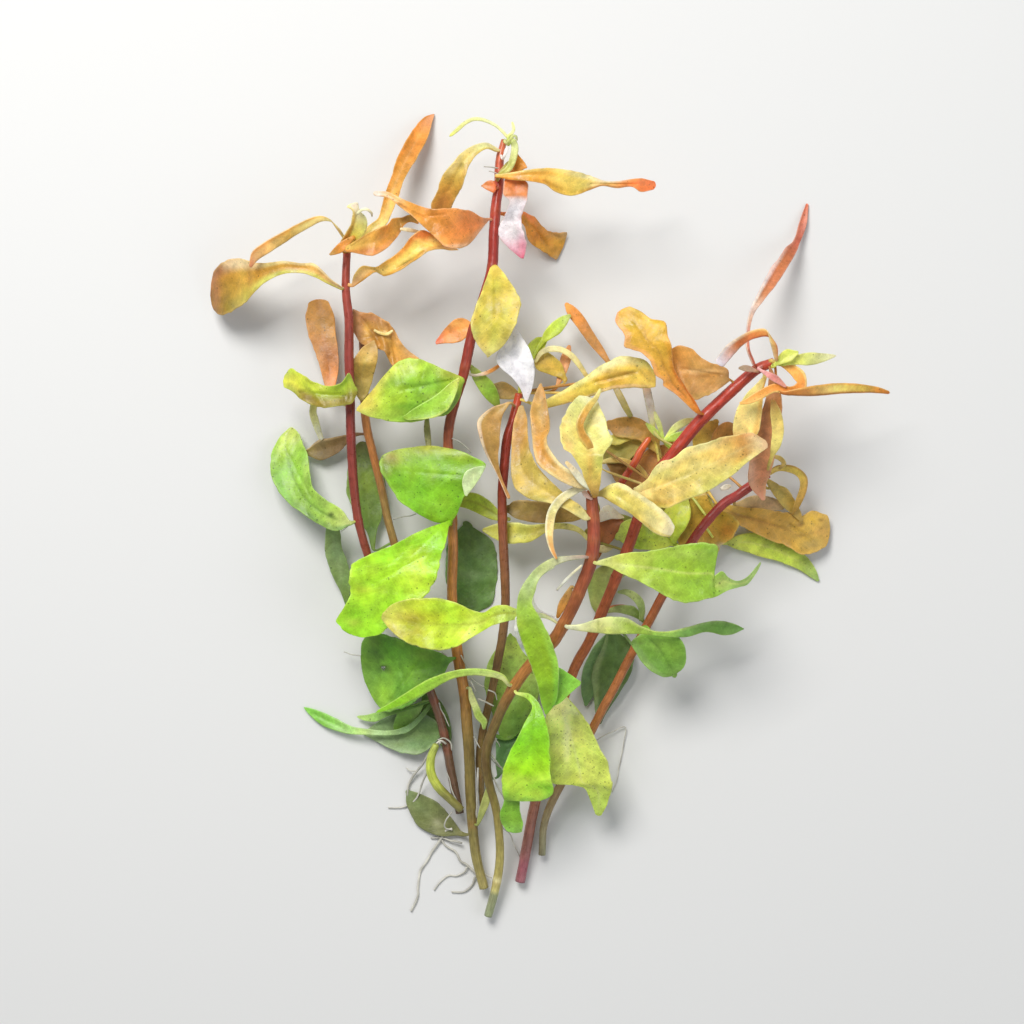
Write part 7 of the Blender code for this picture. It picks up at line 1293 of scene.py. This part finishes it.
def nodes_of(name):
    mat = bpy.data.materials.new(name)
    mat.use_nodes = True
    tree = mat.node_tree
    tree.nodes.clear()

    def add(kind, at=(0, 0), **values):
        node = tree.nodes.new(kind)
        for key, value in values.items():
            setattr(node, key, value)
        return node

    def link(a, b):
        tree.links.new(a, b)

    def calc(op, a, b=None, clamp=False):
        node = add("ShaderNodeMath", operation=op, use_clamp=clamp)
        for k, x in enumerate((a, b)):
            if x is None:
                continue
            if isinstance(x, (int, float)):
                node.inputs[k].default_value = x
            else:
                link(x, node.inputs[k])
        return node.outputs[0]

    def ramp(x, a, b, lo=0.0, hi=1.0):
        node = add("ShaderNodeMapRange", interpolation_type="SMOOTHSTEP")
        link(x, node.inputs["Value"])
        node.inputs["From Min"].default_value = a
        node.inputs["From Max"].default_value = b
        node.inputs["To Min"].default_value = lo
        node.inputs["To Max"].default_value = hi
        return node.outputs["Result"]

    def scaled(vector, factor):
        node = add("ShaderNodeVectorMath", operation="SCALE")
        link(vector, node.inputs[0])
        if isinstance(factor, (int, float)):
            node.inputs["Scale"].default_value = factor
        else:
            link(factor, node.inputs["Scale"])
        return node.outputs[0]

    def mixed(fac, a, b):
        node = add("ShaderNodeMix", data_type="VECTOR")
        link(fac, node.inputs["Factor"])
        for key, x in (("A", a), ("B", b)):
            socket = [s for s in node.inputs if s.name == key and s.type == "VECTOR"][0]
            if isinstance(x, tuple):
                socket.default_value = x
            else:
                link(x, socket)
        return [s for s in node.outputs if s.type == "VECTOR"][0]

    def read(attribute):
        node = add("ShaderNodeAttribute", attribute_type="GEOMETRY", attribute_name=attribute)
        return node.outputs["Vector"]

    def split(vector):
        node = add("ShaderNodeSeparateXYZ")
        link(vector, node.inputs[0])
        return node.outputs

    return mat, add, link, calc, ramp, scaled, mixed, read, split


def leaf_material(slot, rough, through_light, vein, speck):
    """Living blade: tint from the mesh, fine mottling and cells, side veins and small dark specks."""
    mat, add, link, calc, ramp, scaled, mixed, read, split = nodes_of(slot)
    place = add("ShaderNodeTexCoord").outputs["Object"]
    tint = read("tint")
    run, across, side = split(read("blade"))
    specks, veins, under = split(read("grain"))
    cloud = add("ShaderNodeTexNoise")
    link(place, cloud.inputs["Vector"])
    cloud.inputs["Scale"].default_value = 420.0
    cloud.inputs["Detail"].default_value = 5.0
    cloud.inputs["Roughness"].default_value = 0.62
    colour = scaled(tint, ramp(cloud.outputs["Fac"], 0.25, 0.75, 0.80, 1.20))
    # the fine net between the veins
    net = add("ShaderNodeTexVoronoi", feature="DISTANCE_TO_EDGE")
    link(place, net.inputs["Vector"])
    net.inputs["Scale"].default_value = 1150.0
    lines = ramp(net.outputs["Distance"], 0.02, 0.12, 1.0, 0.0)
    colour = scaled(colour, calc("MULTIPLY_ADD", lines, 0.09))
    colour_node = colour.node
    # scaled() took the factor, so add the missing 1
    factor = colour_node.inputs["Scale"].links[0].from_node
    factor.inputs[2].default_value = 1.0
    # side veins, which leave the midrib forward
    ahead = calc("SUBTRACT", run, calc("MULTIPLY", calc("ABSOLUTE", across), 0.85))
    phase = calc("ADD", calc("DIVIDE", ahead, 2.3), calc("MULTIPLY", calc("LESS_THAN", across, 0.0), 0.37))
    off = calc("ABSOLUTE", calc("SUBTRACT", calc("FRACT", calc("ADD", phase, 0.5)), 0.5))
    line = ramp(off, 0.02, 0.10, 1.0, 0.0)
    line = calc("MULTIPLY", calc("MULTIPLY", line, veins), vein)
    lighter = scaled(colour, 1.28)
    colour = mixed(line, colour, lighter)
    # specks
    for scale, size in ((720.0, 0.22), (1500.0, 0.26)):
        dots = add("ShaderNodeTexVoronoi", feature="F1")
        link(place, dots.inputs["Vector"])
        dots.inputs["Scale"].default_value = scale
        tone = add("ShaderNodeSeparateColor")
        link(dots.outputs["Color"], tone.inputs[0])
        chosen = calc("GREATER_THAN", tone.outputs[0], calc("SUBTRACT", 1.0, calc("MULTIPLY", specks, 0.30)))
        near = ramp(dots.outputs["Distance"], size * 0.55, size, 1.0, 0.0)
        hit = calc("MULTIPLY", calc("MULTIPLY", near, chosen), speck)
        colour = mixed(hit, colour, scaled(colour, 0.36))
    # the underside is duller
    colour = mixed(calc("MULTIPLY", under, 0.35), colour, scaled(colour, 0.85))
    relief = add("ShaderNodeTexNoise")
    link(place, relief.inputs["Vector"])
    relief.inputs["Scale"].default_value = 2600.0
    relief.inputs["Detail"].default_value = 3.0
    bump = add("ShaderNodeBump")
    bump.inputs["Strength"].default_value = 0.35
    bump.inputs["Distance"].default_value = 0.00006
    link(calc("ADD", relief.outputs["Fac"], calc("MULTIPLY", lines, -0.8)), bump.inputs["Height"])
    skin = add("ShaderNodeBsdfPrincipled")
    link(colour, skin.inputs["Base Color"])
    link(ramp(cloud.outputs["Fac"], 0.3, 0.7, rough - 0.06, rough + 0.10), skin.inputs["Roughness"])
    skin.inputs["Specular IOR Level"].default_value = 0.5
    link(bump.outputs["Normal"], skin.inputs["Normal"])
    glow = add("ShaderNodeBsdfTranslucent")
    link(scaled(colour, 1.12), glow.inputs["Color"])
    both = add("ShaderNodeMixShader")
    both.inputs["Fac"].default_value = through_light
    link(skin.outputs[0], both.inputs[1])
    link(glow.outputs[0], both.inputs[2])
    out = add("ShaderNodeOutputMaterial")
    link(both.outputs[0], out.inputs["Surface"])
    return mat


def stem_material(slot, rough):
    """Stem skin: tint from the mesh, fine streaks along the stem and small pores."""
    mat, add, link, calc, ramp, scaled, mixed, read, split = nodes_of(slot)
    place = add("ShaderNodeTexCoord").outputs["Object"]
    tint = read("tint")
    run, turn, _ = split(read("blade"))
    specks, _, _ = split(read("grain"))
    flow = add("ShaderNodeCombineXYZ")
    link(calc("MULTIPLY", run, 0.35), flow.inputs[0])
    link(calc("MULTIPLY", calc("COSINE", turn), 4.0), flow.inputs[1])
    link(calc("MULTIPLY", calc("SINE", turn), 4.0), flow.inputs[2])
    streak = add("ShaderNodeTexNoise")
    link(flow.outputs[0], streak.inputs["Vector"])
    streak.inputs["Scale"].default_value = 1.3
    streak.inputs["Detail"].default_value = 4.0
    colour = scaled(tint, ramp(streak.outputs["Fac"], 0.25, 0.75, 0.78, 1.24))
    cloud = add("ShaderNodeTexNoise")
    link(place, cloud.inputs["Vector"])
    cloud.inputs["Scale"].default_value = 700.0
    cloud.inputs["Detail"].default_value = 4.0
    colour = scaled(colour, ramp(cloud.outputs["Fac"], 0.3, 0.7, 0.9, 1.1))
    dots = add("ShaderNodeTexVoronoi", feature="F1")
    link(place, dots.inputs["Vector"])
    dots.inputs["Scale"].default_value = 900.0
    near = ramp(dots.outputs["Distance"], 0.08, 0.2, 1.0, 0.0)
    colour = mixed(calc("MULTIPLY", near, calc("MULTIPLY", specks, 0.6)), colour, scaled(colour, 0.5))
    bump = add("ShaderNodeBump")
    bump.inputs["Strength"].default_value = 0.4
    bump.inputs["Distance"].default_value = 0.00008
    link(streak.outputs["Fac"], bump.inputs["Height"])
    skin = add("ShaderNodeBsdfPrincipled")
    link(colour, skin.inputs["Base Color"])
    link(ramp(cloud.outputs["Fac"], 0.3, 0.7, rough - 0.06, rough + 0.08), skin.inputs["Roughness"])
    link(bump.outputs["Normal"], skin.inputs["Normal"])
    out = add("ShaderNodeOutputMaterial")
    link(skin.outputs[0], out.inputs["Surface"])
    return mat


def root_material():
    """Thin pale root: white with greyer stretches."""
    mat, add, link, calc, ramp, scaled, mixed, read, split = nodes_of("root")
    place = add("ShaderNodeTexCoord").outputs["Object"]
    cloud = add("ShaderNodeTexNoise")
    link(place, cloud.inputs["Vector"])
    cloud.inputs["Scale"].default_value = 380.0
    cloud.inputs["Detail"].default_value = 4.0
    colour = scaled(read("tint"), ramp(cloud.outputs["Fac"], 0.3, 0.7, 0.78, 1.12))
    skin = add("ShaderNodeBsdfPrincipled")
    link(colour, skin.inputs["Base Color"])
    link(ramp(cloud.outputs["Fac"], 0.3, 0.7, 0.35, 0.5), skin.inputs["Roughness"])
    out = add("ShaderNodeOutputMaterial")
    link(skin.outputs[0], out.inputs["Surface"])
    return mat


MATERIALS = {
    "leaf_lime": leaf_material("leaf_lime", 0.33, 0.24, 0.32, 0.75),
    "leaf_green": leaf_material("leaf_green", 0.35, 0.20, 0.34, 0.80),
    "leaf_dark_green": leaf_material("leaf_dark_green", 0.38, 0.14, 0.30, 0.60),
    "leaf_olive": leaf_material("leaf_olive", 0.37, 0.16, 0.30, 0.75),
    "leaf_yellow": leaf_material("leaf_yellow", 0.35, 0.18, 0.32, 0.70),
    "leaf_pale": leaf_material("leaf_pale", 0.34, 0.20, 0.30, 0.75),
    "leaf_orange": leaf_material("leaf_orange", 0.33, 0.20, 0.34, 0.65),
    "leaf_rust": leaf_material("leaf_rust", 0.33, 0.18, 0.34, 0.65),
    "leaf_brown": leaf_material("leaf_brown", 0.38, 0.14, 0.30, 0.70),
    "leaf_pink": leaf_material("leaf_pink", 0.34, 0.18, 0.30, 0.60),
    "leaf_white": leaf_material("leaf_white", 0.36, 0.22, 0.16, 0.50),
    "stem_red": stem_material("stem_red", 0.32),
    "stem_orange": stem_material("stem_orange", 0.34),
    "stem_olive": stem_material("stem_olive", 0.40),
    "root": root_material(),
}

# ---- laying everything, from the lowest to the highest ------------------------------------


def place_piece(ob, node, slot):
    ob.data.materials.append(MATERIALS[slot])
    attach(ob, "root")
    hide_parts(*([node] if isinstance(node, str) else node))


def small_rows(stations, z0, z1, arch):
    mids = np.array([((s[0] + s[2]) / 2, (s[1] + s[3]) / 2) if len(s) == 4 else s[:2] for s in stations], float)
    d = np.concatenate([[0], np.cumsum(np.hypot(*np.diff(mids, axis=0).T))])
    f = d / d[-1]
    out = []
    for s, k in zip(stations, f):
        z = z0 + (z1 - z0) * k + arch * 4 * k * (1 - k)
        out.append((*s, z) if len(s) == 4 else (s[0], s[1], z, s[2]))
    return edges(out)


heights = HeightMap()
blades = []      # (name, node, rows, lift, form, look)
stems = {}       # name: (stations, lift)


def lay_blade(name, node, rows, form, look):
    width = np.hypot(rows[:, 2] - rows[:, 0], rows[:, 3] - rows[:, 1]).max()
    along = min(max(len(rows) - 1, 7), 10)
    across = 4 if width > 22 else 2
    half = np.full(along + 1, look.get("thick", BLADE_MM) / 2)
    if form.get("flat"):
        lift = np.zeros(len(rows))
        u, v, z = sheet_grid(rows, lift, form, along, across)
        for i, r, q, zz, h in heights.walk(u, v, z, half):
            np.maximum.at(heights.top, (r, q), zz + h)
    else:
        lift, left = heights.lay(lambda up: sheet_grid(rows, up, form, along, across), half, len(rows), look.get("free", 0))
        if lift.max() > 1.5:
            print("lifted", name, np.round(lift, 1).tolist())
    blades.append((name, node, rows, lift, form, look))


def lay_small(node, pieces):
    for name, slot, z0, z1, stations, cols, extra in pieces:
        look = {"slot": slot, "cols": cols, "wave": 0.16, "specks": 0.2, **extra}
        form = {"cup": look.get("cup", 0.12), "roll": look.get("roll", 0.0)}
        lay_blade(name, node, small_rows(stations, z0, z1, look.get("arch", 0.0)), form, look)


# the leaf that passes in front of the hanging one is laid after it
order = list(PLAN)
over = [row for row in order if row[0] == "leaf_top_right"][0]
order.remove(over)
order.insert([row[0] for row in order].index("leaf_hanging_pink") + 1, over)
for name, kind, colour, stations, form in order:
    if kind == "stem":
        st = np.array(stations, float)
        count = max(9, len(st) + 4)
        spots = np.linspace(0, len(st) - 1, count)
        half = np.interp(spots, np.arange(len(st)), st[:, 3] / 2 * UNIT_MM)
        rows = edges([tuple(s) for s in st])
        lift, left = heights.lay(lambda up: sheet_grid(rows, up, {}, count - 1, 1), half, len(rows))
        if lift.max() > 1.0:
            print("lifted", name, np.round(lift, 1).tolist())
        stems[name] = (st, lift)
    elif kind == "felt":
        continue
    elif name in SMALL:
        lay_small(name, SMALL[name])
    else:
        lay_small(name, BEFORE.get(name, ()))
        finer, tip = SHAPE.get(name, (None, None))
        look = dict(LOOK[name])
        if tip is not None:
            look["tip"] = tip
        lay_blade(name + "_blade", name, edges(finer or stations), form, look)
    lay_small(name, AFTER.get(name, ()))

# the centre line of every stem, with the length run along it
lines = {}
for name, (st, lift) in stems.items():
    t = np.linspace(0, len(st) - 1, 40 * len(st))
    way = through(st, t)
    way[:, 2] += np.interp(t, np.arange(len(lift)), lift)
    p = to_space(way[:, 0], way[:, 1], way[:, 2]) * 1000
    run = np.concatenate([[0], np.cumsum(np.linalg.norm(np.diff(p, axis=0), axis=1))])
    lines[name] = (way, run)
joints = {name: [] for name in stems}


def root_of(name, rows, lift, look):
    """The stem point where a blade's petiole leaves, in plan units and millimetres."""
    want = look.get("root")
    if want == "leaf":
        return None
    base = np.array([(rows[0, 0] + rows[0, 2]) / 2, (rows[0, 1] + rows[0, 3]) / 2, rows[0, 4] + lift[0]])
    best = None
    for stem, (way, run) in lines.items():
        if stem == "side_shoot" or (want and stem != want):
            continue
        gap = np.sqrt(((way[:, :2] - base[:2]) ** 2).sum(1) * UNIT_MM ** 2 + (1.1 * (way[:, 2] - base[2])) ** 2)
        k = int(gap.argmin())
        if best is None or gap[k] < best[0]:
            best = (gap[k], stem, k)
    gap, stem, k = best
    way, run = lines[stem]
    if gap > 16:
        print("far from a stem:", name, stem, round(float(gap), 1))
    joints[stem].append(float(run[k]))
    return np.array([way[k, 0], way[k, 1], way[k, 2]])


made = []
for name, node, rows, lift, form, look in blades:
    ob = make_blade(name, rows, lift, form, look, root_of(name, rows, lift, look))
    place_piece(ob, node, look["slot"])
    made.append(ob)
for name, (st, lift) in stems.items():
    look = STEM_LOOK[name]
    near = []
    for x in sorted(joints[name]):
        if not near or x - near[-1] > 3.0:
            near.append(x)
    ob = make_stem(name + "_tube", st, lift, look, near)
    place_piece(ob, name, look["slot"])
    made.append(ob)
roots = make_roots("loose_roots", ROOTS, c(205, 202, 190))
place_piece(roots, "root_tuft", "root")
made.append(roots)
tall = sorted(((max(v.co.z for v in ob.data.vertices) * 1000, ob.name) for ob in made), reverse=True)[:9]
print("pieces tall", [(round(a, 1), b) for a, b in tall])
print("pieces", len(made), "triangles", sum(len(p.vertices) - 2 for ob in made for p in ob.data.polygons))

# ---- floor, light and camera --------------------------------------------------------------


def area(name, at, to, size, power, colour=(1, 1, 1)):
    light = bpy.data.lights.new(name, "AREA")
    light.shape = "RECTANGLE"
    light.size, light.size_y = size
    light.energy = power
    light.color = colour
    ob = bpy.data.objects.new(name, light)
    bpy.context.scene.collection.objects.link(ob)
    from mathutils import Vector
    ob.location = at
    ob.rotation_euler = (Vector(to) - Vector(at)).to_track_quat("-Z", "Y").to_euler()
    return ob


bpy.ops.mesh.primitive_plane_add(size=4.0, location=(0, 0, 0))
floor = bpy.context.object
floor.name = "floor"
mat = bpy.data.materials.new("floor")
mat.use_nodes = True
mat.node_tree.nodes["Principled BSDF"].inputs["Base Color"].default_value = (0.76, 0.76, 0.75, 1)
mat.node_tree.nodes["Principled BSDF"].inputs["Roughness"].default_value = 0.9
floor.data.materials.append(mat)

world = bpy.data.worlds.new("studio")
bpy.context.scene.world = world
world.use_nodes = True
world.node_tree.nodes["Background"].inputs["Color"].default_value = (0.93, 0.96, 1.0, 1)
world.node_tree.nodes["Background"].inputs["Strength"].default_value = 0.36
area("key", (-0.22, 0.42, 0.62), (0, 0.01, 0.01), (0.34, 0.34), 5.4, (1.0, 0.985, 0.96))
area("fill", (0.50, -0.10, 0.55), (0, 0, 0.01), (0.50, 0.50), 0.9, (0.97, 0.99, 1.0))
scene = bpy.context.scene
scene.view_settings.view_transform = "Standard"
scene.view_settings.look = "None"
scene.view_settings.exposure = 0.0
scene.view_settings.gamma = 1.0

lens = bpy.data.cameras.new("camera")
lens.sensor_width = 36.0
lens.lens = 36.0 * EYE_MM / (1024 * UNIT_MM)
lens.clip_start, lens.clip_end = 0.01, 10.0
camera = bpy.data.objects.new("camera", lens)
camera.location = ((EYE_U - ORIGIN_U) * UNIT_MM * 0.001, (ORIGIN_V - EYE_V) * UNIT_MM * 0.001, EYE_MM * 0.001)
camera.rotation_euler = (0, 0, 0)
scene.collection.objects.link(camera)
scene.camera = camera

bpy.context.view_layer.update()
